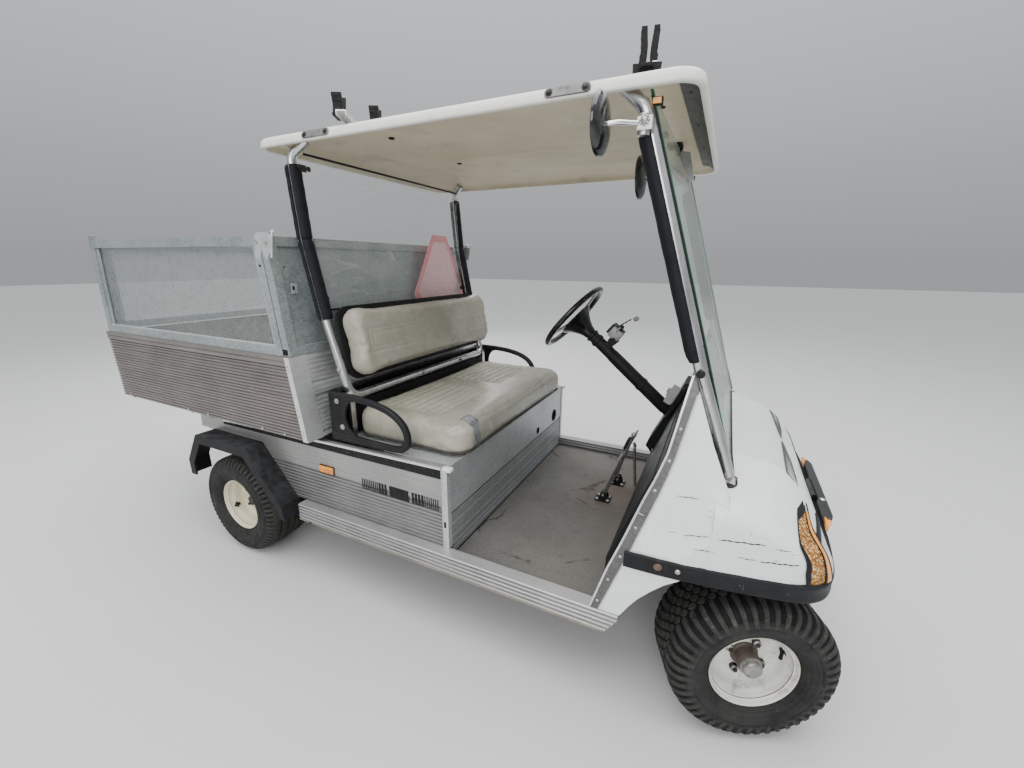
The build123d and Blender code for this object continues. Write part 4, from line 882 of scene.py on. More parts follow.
def strands(b, x_lo, x_hi, z0, z1, place, r=0.85, px=8.0, pz=4.0, sides=3):
    """expanded metal: zigzag strands that meet at their nodes; place(x, z, dx, dn) gives the point"""
    rows = int((z1 - z0) / pz)
    for j in range(rows):
        z = z0 + j * pz
        a, c = x_lo(z), x_hi(z)
        i0, i1 = math.ceil(a / px), math.floor(c / px)
        rings = []
        for i in range(i0, i1 + 1):
            zz = z + pz * ((i + j) % 2)
            rings.append([place(i * px, zz + r * 1.25 * math.cos(t), r * math.sin(t)) for t in (2 * math.pi * k / sides + 0.5 for k in range(sides))])
        b.loops(rings, "galvanised_mesh")


for s, tag in ((-1, "right"), (1, "left")):
    b = Build()
    g = 34.0
    yo, yi = s * CHW, s * (CHW - 26)
    xr = lambda z: CR0 + (CR1 - CR0) * (z - CZ0) / (CZ1 - CZ0)
    xf = lambda z: CF0 - g + (CF1 - CF0) * (z - CZ0) / (CZ1 - CZ0)
    lo, hi = CZ0, CZ1
    # bars: each is a closed box section with mitred look
    b.side([(xr(lo), lo), (xf(lo), lo), (xf(lo + CB), lo + CB), (xr(lo + CB), lo + CB)], yi, yo, "galvanised")
    b.side([(xr(hi - CB), hi - CB), (xf(hi - CB), hi - CB), (xf(hi), hi), (xr(hi), hi)], yi, yo, "galvanised")
    b.side([(xr(lo + CB), lo + CB + 0.3), (xr(lo + CB) + CB, lo + CB + 0.3), (xr(hi - CB) + CB, hi - CB - 0.3), (xr(hi - CB), hi - CB - 0.3)], yi, yo - s * 0.8, "galvanised")
    b.side([(xf(lo + CB) - CB, lo + CB + 0.3), (xf(lo + CB), lo + CB + 0.3), (xf(hi - CB), hi - CB - 0.3), (xf(hi - CB) - CB, hi - CB - 0.3)], yi, yo - s * 0.8, "galvanised")
    # bright lip and bolts along the lower bar
    b.side([(xr(lo + CB) + 30, lo + CB), (xf(lo + CB) - 30, lo + CB), (xf(lo + CB) - 30, lo + CB + 5), (xr(lo + CB) + 30, lo + CB + 5)], yo - s * 12, yo - s * 2, "galvanised_light")
    for x in (-470, -105, 262):
        b.dome((x, yo - s * 6, lo + CB + 4.5), (0, 0, 1), 6.5, 4.0, "bolt_steel", 14)
    # flat strip behind the front post's inner edge, and the stub at the rear top
    b.side([(xf(lo + CB) - CB - 9, lo + CB + 2), (xf(lo + CB) - CB, lo + CB + 2), (xf(hi - CB) - CB, hi - CB - 2), (xf(hi - CB) - CB - 9, hi - CB - 2)], yo - s * 8, yo - s * 5, "galvanised_light")
    b.side([(xr(lo + CB) + CB, lo + CB + 2), (xr(lo + CB) + CB + 26, lo + CB + 2), (xr(hi - CB) + CB + 26, hi - CB - 2), (xr(hi - CB) + CB, hi - CB - 2)], yo - s * 9, yo - s * 6, "galvanised")
    b.span(CR1 - 2, CR1 + 24, s * (CHW - 22), s * (CHW - 2), CZ1 - 1, CZ1 + 21, "galvanised")
    b.span(CR1 + 2, CR1 + 20, s * (CHW - 19), s * (CHW - 5), CZ1 + 21, CZ1 + 21.6, "galvanised_light")
    b.done("cage_frame_" + tag, "bed", bevel=1.6)
    b = Build()
    strands(b, lambda z: xr(z) + CB - 3, lambda z: xf(z) - CB + 3, CZ0 + CB - 2, CZ1 - CB,
            (lambda s: lambda x, z, n: V(x, s * (CHW - 14.5) + n, z))(s))
    o = b.done("cage_mesh_" + tag, "bed", replaces=("cage_sides",), smooth=180, fix=False)

# latch, hinge straps and end caps at the front corners
b = Build()
for s in (-1, 1):
    y = s * (CHW + 1.0)
    b.side([(377, 1272), (384, 1340), (398, 1350), (452, 1346), (462, 1334), (455, 1290), (430, 1262), (412, 1300), (398, 1262)], y - s * 6, y, "galvanised_light")
    b.span(404, 452, s * (CHW - 20), s * (CHW + 0.5), 1340, 1349, "galvanised_light")
    b.hexbolt((396, y, 1322), (0, s, 0), 6, 5, "bolt_steel")
    b.hexbolt((440, y, 1318), (0, s, 0), 6, 5, "bolt_steel")
    # near-black dome: painted shade of a hole
    b.dome((392, y - s * 1, 1244), (0, s, 0), 4.5, 2.5, "recess_shade", 12)
    b.rod((452, s * (CHW - 4), 1270), (466, s * (CHW - 4), 1340), 5, "galvanised_light", 12)
    b.tube([(466, s * (CHW - 4), 1338), (468, s * (CHW - 6), 1350), (450, s * (CHW - 22), 1354), (424, s * (CHW - 30), 1352)], 4.0, "galvanised_light", 10)
    # open end of the lower bar, with a near-black block as painted shade inside it
    b.span(449, 471, s * (CHW - 24), s * (CHW + 0.6), 944, 964, "recess_shade")
    b.side([(446, 939), (478, 939), (474, 969), (443, 969)], s * (CHW - 22), s * (CHW - 21.4), "galvanised")
    # rivets and corner angle of the bed
    n = V(0, s, 0)
    ang = [(458, 938), (482, 938), (527, 630), (503, 630)]
    b.side(ang, s * 626.0, s * 628.2, "aluminium_bright")
    for z in (906, 892, 752, 727, 668, 655):
        x = lerp(527, 482, (z - 630) / 308) - 12
        b.dome((x, s * 628.0, z), n, 4.6, 2.6, "bolt_steel", 12)
    for x in (-689, -215, -74, 274, 402):
        b.dome((x, s * 625.0, 640), n, 5.2, 3.0, "bolt_steel", 12)
        b.dome((x + 5, s * 612, 628.5), (0, 0, -1), 6, 7, "bolt_dark", 12)
    # angle on the front wall
    b.loops([[V(lerp(527, 482, t) + 0.4, s * yy, 630 + 308 * t) for yy in (626, 598)] for t in (0, 1)], "aluminium_bright", closed=False)
b.done("bed_corner_fittings", "bed", bevel=0.7)

# the front frame's uprights, laid on the sheet, with a small plate and fixings
b = Build()
for s in (-1, 1):
    def fx(z):
        return CF0 + (CF1 - CF0) * (z - CZ0) / (CZ1 - CZ0)
    b.loops([[V(fx(z) + 1.0, s * y, z) for y in (618, 584)] + [V(fx(z) - 3, s * y, z) for y in (584, 618)] for z in (CZ0 + 1, CZ1 - 1)], "galvanised", cap0=True, cap1=True)
b.box((fx(1168) + 1.6, -547, 1168), (2.4, 24, 34), "galvanised_light")
b.box((fx(1168) + 3.0, -551, 1170), (1.2, 9, 14), "bolt_dark")
b.dome((fx(1240) + 1.0, -569, 1240), (1, 0, 0), 3.5, 2, "bolt_dark", 10)
b.done("cage_front_posts", "bed", bevel=1.0)

# mesh gate at the rear
b = Build()
gy = CHW - 32
glo, ghi = CZ0 + 8, CZ1 - 6
gx = lambda z: CR0 + (CR1 - CR0) * (z - CZ0) / (CZ1 - CZ0)
for za, zb in ((glo, glo + CB), (ghi - CB, ghi)):
    b.side([(gx(za) + 2, za), (gx(za) + 22, za), (gx(zb) + 22, zb), (gx(zb) + 2, zb)], -gy, gy, "galvanised")
for s in (-1, 1):
    b.side([(gx(glo + CB) + 2.5, glo + CB), (gx(glo + CB) + 21.5, glo + CB), (gx(ghi - CB) + 21.5, ghi - CB), (gx(ghi - CB) + 2.5, ghi - CB)], s * (gy - CB), s * gy, "galvanised")
    b.side([(gx(1330) + 8, 1322), (gx(1330) + 16, 1322), (gx(1330) + 16, 1336), (gx(1330) + 8, 1336)], s * gy, s * (gy + 3.5), "bolt_steel")
    b.hexbolt((gx(990) + 2, s * (gy - 16), 975), (-1, 0, 0), 6, 5, "bolt_steel")
for y in (-300, 0, 300):
    b.box((gx(glo + 16) + 1.5, y, glo + 16), (3, 60, 20), "galvanised_light")
strands(b, lambda z: -gy + CB - 3, lambda z: gy - CB + 3, glo + CB - 2, ghi - CB, lambda x, z, n: V(gx(z) + 12.5 + n, x, z), px=8.0, pz=4.0, sides=3)
b.done("cage_gate_mesh", "mesh_gate", replaces=("cage_gate",), smooth=60, fix=False)

# blank triangle sign with a raised border
b = Build()
tri = [(490, 1056), (523, 1114), (366, 1389), (246, 1389), (89, 1114), (122, 1056)]
cy = sum(p[0] for p in tri) / 6
cz2 = sum(p[1] for p in tri) / 6
inset = [(lerp(y, cy, 0.16), lerp(z, cz2, 0.16)) for y, z in tri]
ring0 = [V(469.9, y, z) for y, z in tri]
ring1 = [V(473.1, y, z) for y, z in tri]
ring2 = [V(473.1, y, z) for y, z in inset]
b.loops([ring0, ring1], "sign_pink", cap0=True)
b.loops([ring1, ring2], "sign_pink")
b.add(ring2, [tuple(range(6))], "sign_back")
for y, z in ((306, 1360), (130, 1080), (480, 1080)):
    b.dome((473.1, y, z), (1, 0, 0), 5, 2.5, "bolt_steel", 12)
b.span(440, 470, 286, 326, 1312, 1334, "galvanised")
b.hexbolt((455, 306, 1334), (0, 0, 1), 6, 4, "bolt_steel")
b.done("triangle_sign", "bed", replaces=("rear_sign",), bevel=0.6)


# ======================================================================
# nose: smooth cowl skin over the hood, lamps in its corners
# ======================================================================
HOOD = [
    (1852, 572, 759, 60, 340, .25), (1883, 566, 757, 60, 335, .25), (1975, 550, 735, 60, 303, .27), (2048, 531, 690, 54, 290, .30),
    (2098, 503, 622, 46, 300, .14), (2128, 455, 560, 40, 300, .05), (2148, 340, 518, 18, 200, 0.0)]
HZ0 = 488.0


def hood_at(x):
    """half width, crown, shoulder radius, crease, slope; straight between the rows, as the body under it, eased at the rows"""
    return smooth_at(HOOD, x) if 1975 <= x <= 2128 else table_at(HOOD, x)


def hood_shape(x):
    w, zt, r, c, t = hood_at(x)
    turn = math.pi / 2 - math.atan(t)
    y1 = w - r + r * math.cos(turn)
    z1 = zt - t * (y1 - c)
    return w, zt, r, c, t, turn, y1, z1, z1 - r * math.sin(turn)


def hood_top(x, y, lift=0.0):
    """height of the hood's upper face"""
    w, zt, r, c, t, turn, y1, z1, zc = hood_shape(x)
    e = abs(y)
    if e <= c:
        z = zt
    elif e <= y1:
        z = zt - t * (e - c)
    else:
        z = zc + math.sqrt(max(0.0, r * r - (e - w + r) ** 2))
    return z + lift + 0.8


b = Build()
rings = []
xs = [1852.5 + (1975 - 1852.5) * k / 10 for k in range(11)] + [1975 + (2128 - 1975) * k / 22 for k in range(1, 23)] + [2134, 2140, 2145, 2148]
for x in xs:
    w, zt, r, c, t, turn, y1, z1, zc = hood_shape(x)
    grow = 0.9 if x > 1884 else 0.5
    half = [(w, HZ0), (w, HZ0 + (zc - HZ0) * 0.5), (w, zc)]
    for k in range(1, 9):
        a = turn * k / 8
        half.append((w - r + r * math.cos(a), zc + r * math.sin(a)))
    half += [(lerp(y1, c, k / 6), lerp(z1, zt, k / 6)) for k in range(1, 6)]
    half += [(c + 5, zt - t * 5 + 0.1), (c + 1.5, zt - t * 1.5 + 0.25), (c - 2, zt + 0.3), (c - 8, zt + 0.2)]
    half += [(lerp(c - 8, 0, k / 12), zt + 0.2) for k in range(1, 13)]
    ring = []
    n_ = len(half)
    norm_ = []
    for i, (y, z) in enumerate(half):
        ya, za = half[max(0, i - 1)]
        yb, zb = half[min(n_ - 1, i + 1)]
        q = math.hypot(yb - ya, zb - za) or 1
        ny_, nz_ = (zb - za) / q, -(yb - ya) / q
        if i == n_ - 1:
            ny_, nz_ = 0.0, 1.0
        norm_.append((y, z, ny_ * grow, nz_ * grow))
    for y, z, ny_, nz_ in norm_:
        ring.append(V(x, -(y + ny_), z + nz_))
    for y, z, ny_, nz_ in reversed(norm_[:-1]):
        ring.append(V(x, y + ny_, z + nz_))
    rings.append(ring)
last = [p + V(1.2, 0, 0) for p in rings[-1]]
last = [V(p.x, p.y * 0.985, lerp(p.z, 500, 0.08)) for p in last]
rings.append(last)
b.loops(rings, "cowl_white", closed=False)
b.add(last, [tuple(range(len(last)))], "cowl_white")
b.done("hood_skin", smooth=24)

# dark grey vents on the hood and their rims
b = Build()
for s in (-1, 1):
    rear_e = [(-309, 2050.0), (-303, 2036.0), (-297, 2018.5), (-250, 2020.5), (-37, 2031.0), (-10, 2038.0)]
    front_e = [(-309, 2050.5), (-300, 2051.5), (-250, 2052.5), (-153, 2052.0), (-30, 2040.5), (-10, 2038.5)]
    edge = [(-309, 2050.2), (-303, 2036), (-297, 2018.5), (-250, 2020.5), (-170, 2024.4), (-100, 2028), (-37, 2031), (-20, 2034), (-10, 2038),
            (-30, 2040.5), (-90, 2046.2), (-153, 2052), (-250, 2052.5), (-300, 2051.5)]
    mid = (2037.0, -190.0)
    rim = [V(x, s * y, hood_top(x, y, 0.3)) for y, x in edge]
    up = [V(lerp(x, mid[0], 0.05), s * lerp(y, mid[1], 0.012), hood_top(x, y, 2.2)) for y, x in edge]
    inn = [V(lerp(x, mid[0], 0.13), s * lerp(y, mid[1], 0.03), hood_top(x, y, 2.0)) for y, x in edge]
    down = [V(lerp(x, mid[0], 0.15), s * lerp(y, mid[1], 0.035), hood_top(x, y, 0.5)) for y, x in edge]
    b.loops([rim, up, inn, down], "grille_grey")
    # near-black sheet under the mesh: painted shade in the vent openings
    cells = []
    ys_ = [lerp(-300, -24, i / 12) for i in range(13)]
    for y in ys_:
        xl, xh = table_at(rear_e, y)[0] + 1.5, table_at(front_e, y)[0] - 1.5
        cells += [V(xl, s * y, hood_top(xl, y, 0.55)), V(max(xl + 0.4, xh), s * y, hood_top(max(xl + 0.4, xh), y, 0.55))]
    b.add(cells, [(2 * i, 2 * i + 1, 2 * i + 3, 2 * i + 2) for i in range(12)], "recess_shade")
    # mesh in the opening: bars both ways
    y = -298.0
    while y < -22:
        xl, xh = table_at(rear_e, y)[0] + 1, table_at(front_e, y)[0] - 1
        if xh - xl > 3:
            b.loops([[V(x, s * (y + d), hood_top(x, y, 0.6 + h)) for d, h in ((-0.9, 0), (-0.6, 1.2), (0.6, 1.2), (0.9, 0))] for x in (xl, xh)], "grille_grey", closed=False)
        y += 5.2
    for f in (0.2, 0.4, 0.6, 0.8):
        row = []
        for i in range(24):
            y = lerp(-298, -34, i / 23)
            xl, xh = table_at(rear_e, y)[0], table_at(front_e, y)[0]
            row.append((lerp(xl, xh, f), y))
        b.loops([[V(x + d, s * y, hood_top(x, y, 0.6 + h)) for d, h in ((-0.9, 0), (-0.6, 1.1), (0.6, 1.1), (0.9, 0))] for x, y in row], "grille_grey", closed=False)
b.done("hood_vents", fix=False)


# ---- nose outline at a height, walked from the side round to the front
def nose_line(z, grow):
    pts = []
    x = 1990.0
    while x < 2148.1:
        w, zt, r, c, t, turn, y1, z1, zc = hood_shape(x)
        if z > zt - 0.5:
            break
        if z <= zc:
            hw = w
        elif z <= z1:
            hw = w - r + math.sqrt(max(0.0, r * r - (z - zc) ** 2))
        else:
            hw = c + (zt - z) / max(t, 0.03)
            if hw > y1:
                hw = y1
        pts.append((x, hw))
        x += 2.0
    xe, ye = pts[-1]
    pts += [(xe + 0.6, ye - 12), (xe + 1.0, ye - 60), (xe + 1.2, 0)]
    out = []
    for i, (x, y) in enumerate(pts):
        xa, ya = pts[max(0, i - 1)]
        xb, yb = pts[min(len(pts) - 1, i + 1)]
        tx, ty = xb - xa, yb - ya
        q = math.hypot(tx, ty) or 1
        out.append((x - ty / q * grow, y + tx / q * grow))
    return out


def nose_point(line, s):
    """point at arc length s from the place where x is 2040 on the side"""
    acc, start = 0.0, None
    for i in range(len(line) - 1):
        if start is None and line[i + 1][0] >= 2040:
            t = (2040 - line[i][0]) / max(1e-6, line[i + 1][0] - line[i][0])
            start = -t * math.hypot(line[i + 1][0] - line[i][0], line[i + 1][1] - line[i][1])
            acc = start
        if start is None:
            continue
        seg = math.hypot(line[i + 1][0] - line[i][0], line[i + 1][1] - line[i][1])
        if acc + seg >= s or i == len(line) - 2:
            t = (s - acc) / seg if seg else 0
            return lerp(line[i][0], line[i + 1][0], t), lerp(line[i][1], line[i + 1][1], t)
        acc += seg
    return line[-1]


def nose_patch(b, s_lo, s_hi, z0, z1, out, thick, mat, sign, nz=22, ns=14):
    """slab on the nose's surface between two edges given as functions of z"""
    outer, inner = [], []
    for i in range(nz + 1):
        z = lerp(z0, z1, i / nz)
        lo_, li_ = nose_line(z, out), nose_line(z, out - thick)
        ro, ri = [], []
        for j in range(ns + 1):
            t = j / ns
            edge = 0.0 if 0 < j < ns and 0 < i < nz else min(1.2, thick * 0.4)
            s = lerp(s_lo(z), s_hi(z), t)
            x, y = nose_point(lo_, s)
            xi, yi = nose_point(li_, s)
            q = math.hypot(x - xi, y - yi) or 1
            ro.append(V(x - (x - xi) / q * edge, sign * (y - (y - yi) / q * edge), z))
            ri.append(V(xi, sign * yi, z))
        outer.append(ro)
        inner.append(ri)
    rings = [o_ + list(reversed(i_)) for o_, i_ in zip(outer, inner)]
    b.loops(rings, mat, cap0=True, cap1=True)


S_EDGE = [(536.5, 27), (547, 25.5), (565, 21), (587, 20), (601, 17), (617, 8), (628, 0), (640, -6), (652, -5), (662, 1), (668, 8)]
s_edge = lambda z: smooth_at(S_EDGE, z)[0]
for sg, tag in ((-1, "right"), (1, "left")):
    b = Build()
    z0, z1 = 537.0, 664.0
    band = lambda z: 10.5 + 2.5 * math.sin((z - 540) / 22.0)
    nose_patch(b, s_edge, lambda z: s_edge(z) + band(z), z0, z1, 5.6, 5.0, "rubber_black", sg, 26, 5)
    nose_patch(b, lambda z: s_edge(z) + band(z), lambda z: 78 - (z - 540) * 0.12, z0, z1 - 10, 3.4, 3.0, "lens_gold", sg, 24, 14)
    nose_patch(b, lambda z: 78 - (z - 540) * 0.12, lambda z: 85 - (z - 540) * 0.12, z0, z1 - 6, 5.4, 5.0, "rubber_black", sg, 20, 3)
    nose_patch(b, lambda z: 85 - (z - 540) * 0.12, lambda z: 106 - (z - 540) * 0.15, z0, z1 - 16, 5.0, 4.6, "lens_orange", sg, 20, 6)
    nose_patch(b, lambda z: 106 - (z - 540) * 0.15, lambda z: 114 - (z - 540) * 0.15, z0, z1 - 8, 5.6, 5.2, "rubber_black", sg, 20, 3)
    # clear head lamp towards the middle of the front, in a black surround
    nose_patch(b, lambda z: 114 - (z - 540) * 0.15, lambda z: 214, z0, 610, 4.0, 3.6, "lens_clear", sg, 16, 16)
    nose_patch(b, lambda z: 112 - (z - 540) * 0.15, lambda z: 216, 610, 620, 5.8, 5.4, "rubber_black", sg, 3, 16)
    nose_patch(b, lambda z: 214, lambda z: 222, z0, 620, 5.8, 5.4, "rubber_black", sg, 12, 3)
    # upper end of the black surround
    nose_patch(b, lambda z: s_edge(z) + 3, lambda z: 60, 654, 664, 5.6, 5.2, "rubber_black", sg, 3, 10)
    b.done("corner_lamp_" + tag, smooth=40)

# lamp bar in front of the nose: black body, amber ends, chrome button
b = Build()
plan = [(2149, 198), (2154, 218), (2165, 216), (2171.5, 190)]
ring = [(x, y) for x, y in plan] + [(x, -y) for x, y in reversed(plan)]
rr = []
for z, g in ((537, 1.5), (539, 0), (557, 0), (561, 1.0), (563, 3.5)):
    rr.append([V(x - (g if x > 2160 else 0), y - math.copysign(g, y), z) for x, y in ring])
b.loops(rr, "black_gloss", cap0=True, cap1=True)
for s in (-1, 1):
    tip = [(2149.5, 199), (2154, 218.5), (2164.5, 216.5), (2152, 251.5), (2146, 248)]
    zs = [(540, 1.0), (542, 0), (555, 0), (560, 2.5)]
    b.loops([[V(lerp(x, 2153, g / 14), s * lerp(y, 224, g / 40), z) for x, y in tip] for z, g in zs], "lens_orange", cap0=True, cap1=True)
b.lathe([(7, 0), (8.5, 1.2), (8.5, 3), (6, 4.6), (2.5, 5.4)], (2160, -96, 560.3), (0.1, 0, 1), "chrome", 20, cap1=True)
b.span(2138, 2152, -60, 60, 537, 556, "black_gloss")
b.done("front_lamp_bar", replaces=("lamps",), bevel=0.8)

# side and tail lamps
b = Build()
for s in (-1, 1):
    y0 = s * 555.2
    b.box((521, y0 + s * 1.6, 492.5), (75, 3.4, 32), "black_plastic")
    for k in range(2):
        z = 486 + k * 14
        b.box((521, y0 + s * 4.2, z), (70, 6, 12.6), "lens_amber" if k == 0 else "lens_orange")
    for k in range(13):
        b.box((489 + k * 5.4, y0 + s * 7.0, 486), (1.4, 1.2, 11), "lens_amber")
    b.box((-582, s * 120, 365), (10, 78, 58), "black_plastic")
    b.box((-587, s * 120, 365), (4, 72, 52), "lens_red")
    b.dome((-588.5, s * 98, 365), (-1, 0, 0), 3, 2, "bolt_steel", 10)
    b.dome((-588.5, s * 142, 365), (-1, 0, 0), 3, 2, "bolt_steel", 10)
b.done("side_and_tail_lamps", bevel=0.9)

# ======================================================================
# black edge strip round the nose: rounded section with a ledge and fixings
# ======================================================================
BP = [(1655, 592.5), (1700, 591.5), (1790, 585), (1890, 571), (1975, 556), (2040, 542), (2075, 530), (2100, 512), (2120, 487),
      (2134, 452), (2143, 400), (2151, 300), (2155, 150), (2156, 0)]


def dense(pts, step=10.0):
    """rounded walk along a plan line"""
    out = []
    n = len(pts)
    for i in range(n - 1):
        p0, p1, p2, p3 = pts[max(0, i - 1)], pts[i], pts[i + 1], pts[min(n - 1, i + 2)]
        k = max(2, int(math.hypot(p2[0] - p1[0], p2[1] - p1[1]) / step))
        for j in range(k):
            t = j / k
            out.append(tuple(0.5 * (2 * b_ + (c_ - a_) * t + (2 * a_ - 5 * b_ + 4 * c_ - d_) * t * t + (3 * b_ - a_ - 3 * c_ + d_) * t ** 3)
                             for a_, b_, c_, d_ in zip(p0, p1, p2, p3)))
    out.append(pts[-1])
    return out


line = dense(BP)
line = line + [(x, -y) for x, y in reversed(line[:-1])]
b = Build()
SECT = [(-11.5, 487.4), (-3.0, 487.2), (-0.8, 489.5), (-0.2, 495), (-0.9, 498), (-0.9, 522), (0.0, 525), (-0.2, 530.5), (-2.2, 534.2), (-5.0, 535.6), (-9.5, 535.8), (-11.5, 535.8)]
rings = []
for i, (x, y) in enumerate(line):
    xa, ya = line[max(0, i - 1)]
    xb, yb = line[min(len(line) - 1, i + 1)]
    q = math.hypot(xb - xa, yb - ya)
    nx_, ny_ = -(yb - ya) / q, (xb - xa) / q
    if nx_ * (x - 1900) + ny_ * y < 0:
        nx_, ny_ = -nx_, -ny_
    k = 0.35 if x < 1800 else 1.0
    wob = 0.35 * math.sin(i * 0.9) + 0.25 * math.sin(i * 2.3)
    rings.append([V(x + nx_ * (o_ * k if o_ < -6 else o_), y + ny_ * (o_ * k if o_ < -6 else o_), z + wob * (1 if z > 500 else 0.4)) for o_, z in SECT])
b.loops(rings, "bumper_black", cap0=True, cap1=True)
# ledge over the corners, below the lamps
for s in (-1, 1):
    a = [(2058, 531), (2086, 516), (2108, 494), (2124, 466), (2134, 430), (2138, 380)]
    c_ = [(2052, 520), (2078, 506), (2098, 484), (2112, 458), (2120, 428), (2124, 380)]
    b.loops([[V(x, s * y, 537.0) for x, y in a], [V(x, s * y, 537.2) for x, y in c_]], "bumper_scuffed", closed=False)
for x, r_, mat in ((1741, 11.0, "bolt_rusty"), (1789, 7.0, "bolt_steel")):
    for s in (-1, 1):
        y = table_at(BP, x)[0]
        b.dome((x, s * (y - 1.2), 513), (0.08, s, 0), r_, 4.5, mat, 18)
for s in (-1, 1):
    for x in (1930, 2030):
        b.dome((x, s * (table_at(BP, x)[0] - 1.4), 511), (0.1, s, 0), 4.0, 1.6, "bolt_dark", 12)
b.done("front_edge_strip", replaces=("front_bumper",), smooth=50)

# strut feet on the cowl: oval rubber pads on the slope, each with a bent spring clip
b = Build()
for s in (-1, 1):
    n_ = V(0, s * 0.2426, 0.970).normalized()
    ex_ = V(1, 0, -0.13).normalized()
    ey_ = n_.cross(ex_).normalized()
    mid = V(1872, s * 455, hood_top(1872, 455, 0.2))
    oval = [(26 * math.cos(2 * math.pi * k / 30) - 1, 30 * math.sin(2 * math.pi * k / 30)) for k in range(30)]
    b.loops([[mid + ex_ * (x * f) + ey_ * (y * f) + n_ * h for x, y in oval] for f, h in ((0.98, 0.3), (1.0, 1.4), (0.96, 2.8), (0.86, 3.4), (0.72, 2.6))], "rubber_black", cap1=True)
    turn_ = [(15 * math.cos(2 * math.pi * k / 14 + 0.4), 17 * math.sin(2 * math.pi * k / 14 + 0.4)) for k in range(12)]
    b.tube([mid + ex_ * (x - 4) + ey_ * (y - 2) + n_ * (5.6 + 0.12 * i) for i, (x, y) in enumerate(turn_)], 2.2, "bolt_rusty", 8)
    b.hexbolt(mid + ex_ * 17 + ey_ * (-s * 14) + n_ * 3.6, n_, 4.5, 3.6, "bolt_rusty")
b.done("strut_feet")


def cheek_y(x, z):
    """outer face of the cheek"""
    low = [(1550, 588, 540, 540, 760, 476, 1055), (1590, 588, 540, 540, 760, 476, 1055), (1790, 581, 545, 535, 757, 470, 1055), (1884, 566, 640, 549, 697, 520, 712)]
    y0, z0, y1, z1, y2, z2 = table_at(low, x)
    if z <= z0:
        return y0
    if z <= z1:
        return lerp(y0, y1, (z - z0) / (z1 - z0))
    return lerp(y1, y2, (z - z1) / (z2 - z1))


TR_REAR = [(322.5, 1571), (465.2, 1611.3), (577.5, 1650.5), (677.2, 1683.4), (733.6, 1704.6), (802.3, 1726.1), (905.8, 1744), (1006.2, 1761.3)]
TR_FRONT = [(321.7, 1599.5), (548.8, 1675.1), (618.2, 1697.3), (686, 1719.8), (737.9, 1735.5), (793.5, 1749.5), (880.1, 1765.8), (961.9, 1781.1)]
b = Build()
for s in (-1, 1):
    # bright folded lip along the rear edge and a thin one along the front edge
    rows = [lerp(323.5, 1000, k / 40) for k in range(41)]
    lip = []
    for z in rows:
        x = table_at(TR_REAR, z)[0]
        y = cheek_y(x, z)
        lip.append([V(x - 0.5, s * (y - 7), z), V(x - 0.9, s * (y + 1.6), z), V(x + 0.3, s * (y + 3.3), z), V(x + 4.4, s * (y + 3.4), z), V(x + 5.2, s * (y + 2.6), z)])
    b.loops(lip, "edge_bright", closed=False)
    lip = []
    for z in [lerp(324, 955, k / 40) for k in range(41)]:
        x = table_at(TR_FRONT, z)[0]
        y = cheek_y(x, z)
        lip.append([V(x - 3.4, s * (y + 2.6), z), V(x - 2.8, s * (y + 3.1), z), V(x - 0.6, s * (y + 3.0), z), V(x + 0.1, s * (y + 0.6), z)])
    b.loops(lip, "galvanised_light", closed=False)
    # lap joint of the two strips
    z = 640.0
    xa, xb = table_at(TR_REAR, z)[0] + 4.5, table_at(TR_FRONT, z)[0] - 3
    ya, yb = cheek_y(xa, z), cheek_y(xb, z)
    b.loops([[V(xa, s * (ya + 2.6), z), V(xb, s * (yb + 2.6), z - 8)], [V(xa, s * (ya + 3.2), z + 0.6), V(xb, s * (yb + 3.2), z - 7.4)],
             [V(xa, s * (ya + 3.0), z + 2.6), V(xb, s * (yb + 3.0), z - 5.4)], [V(xa, s * (ya + 2.5), z + 3), V(xb, s * (yb + 2.5), z - 5)]], "galvanised_light", closed=False)
    for z in (352, 430, 512, 600, 706, 786, 868):
        x = lerp(table_at(TR_REAR, z)[0], table_at(TR_FRONT, z)[0], 0.5)
        b.dome((x, s * (cheek_y(x, z) + 2.3), z), (0, s, 0.12), 4.2, 1.8, "bolt_steel", 12)
b.done("trim_details", smooth=30)

# ======================================================================
# windshield edges and seals
# ======================================================================
b = Build()
def glass_at(t, dx, y):
    """point on the windshield's plane: t 0 at z 731, 1 at the top"""
    return V(lerp(1884.4, 1604.6, t) + dx, y, lerp(731, 1627, t))


for s in (-1, 1):
    edge = [(0.003, 429.0), (1.0, 488.0)]
    b.loops([[glass_at(t, dx, s * (y + dy)) for dx, dy in ((-3.4, -3.5), (-3.4, 1.2), (3.4, 1.2), (3.4, -3.5))] for t, y in edge], "glass_edge", cap0=True, cap1=True)
    b.loops([[glass_at(t, dx, s * (y + dy)) for dx, dy in ((-4.2, 1.4), (-4.2, 6.5), (1.4, 6.5), (1.4, 1.4))] for t, y in ((0.2, 440.6), (0.985, 487.0))], "rubber_black", cap0=True, cap1=True)
low = [(-429, 734.2), (-335, 758.6), (335, 758.6), (429, 734.2)]
b.loops([[V(1886.3 - (z - 731) * 0.3123 + dx, y, z + dz) for dx, dz in ((-6, 0), (3.2, -1.4), (3.2, 3.6), (-6, 4.6))] for y, z in low], "rubber_black", cap0=True, cap1=True)
b.done("windshield_seals", bevel=0.8)
b = Build()
for s in (-1, 1):
    for z in (1130, 1560):
        x = lerp(500, 472, (z - 1085) / 523) + 3.0
        b.hexbolt((x + 1, s * 452, z), (1, 0, 0.05), 6, 4.5, "bolt_dark")
        b.box((x - 4.5, s * 474, z), (5, 34, 22), "bolt_dark")
for z, dz in ((1085, 5), (1608, -5)):
    x = lerp(500, 472, (z - 1085) / 523) + 1.4
    b.box((x, 0, z + dz * 0.6), (6.0, 924, 7), "rubber_black")
b.done("rear_screen_fixings", bevel=0.6)

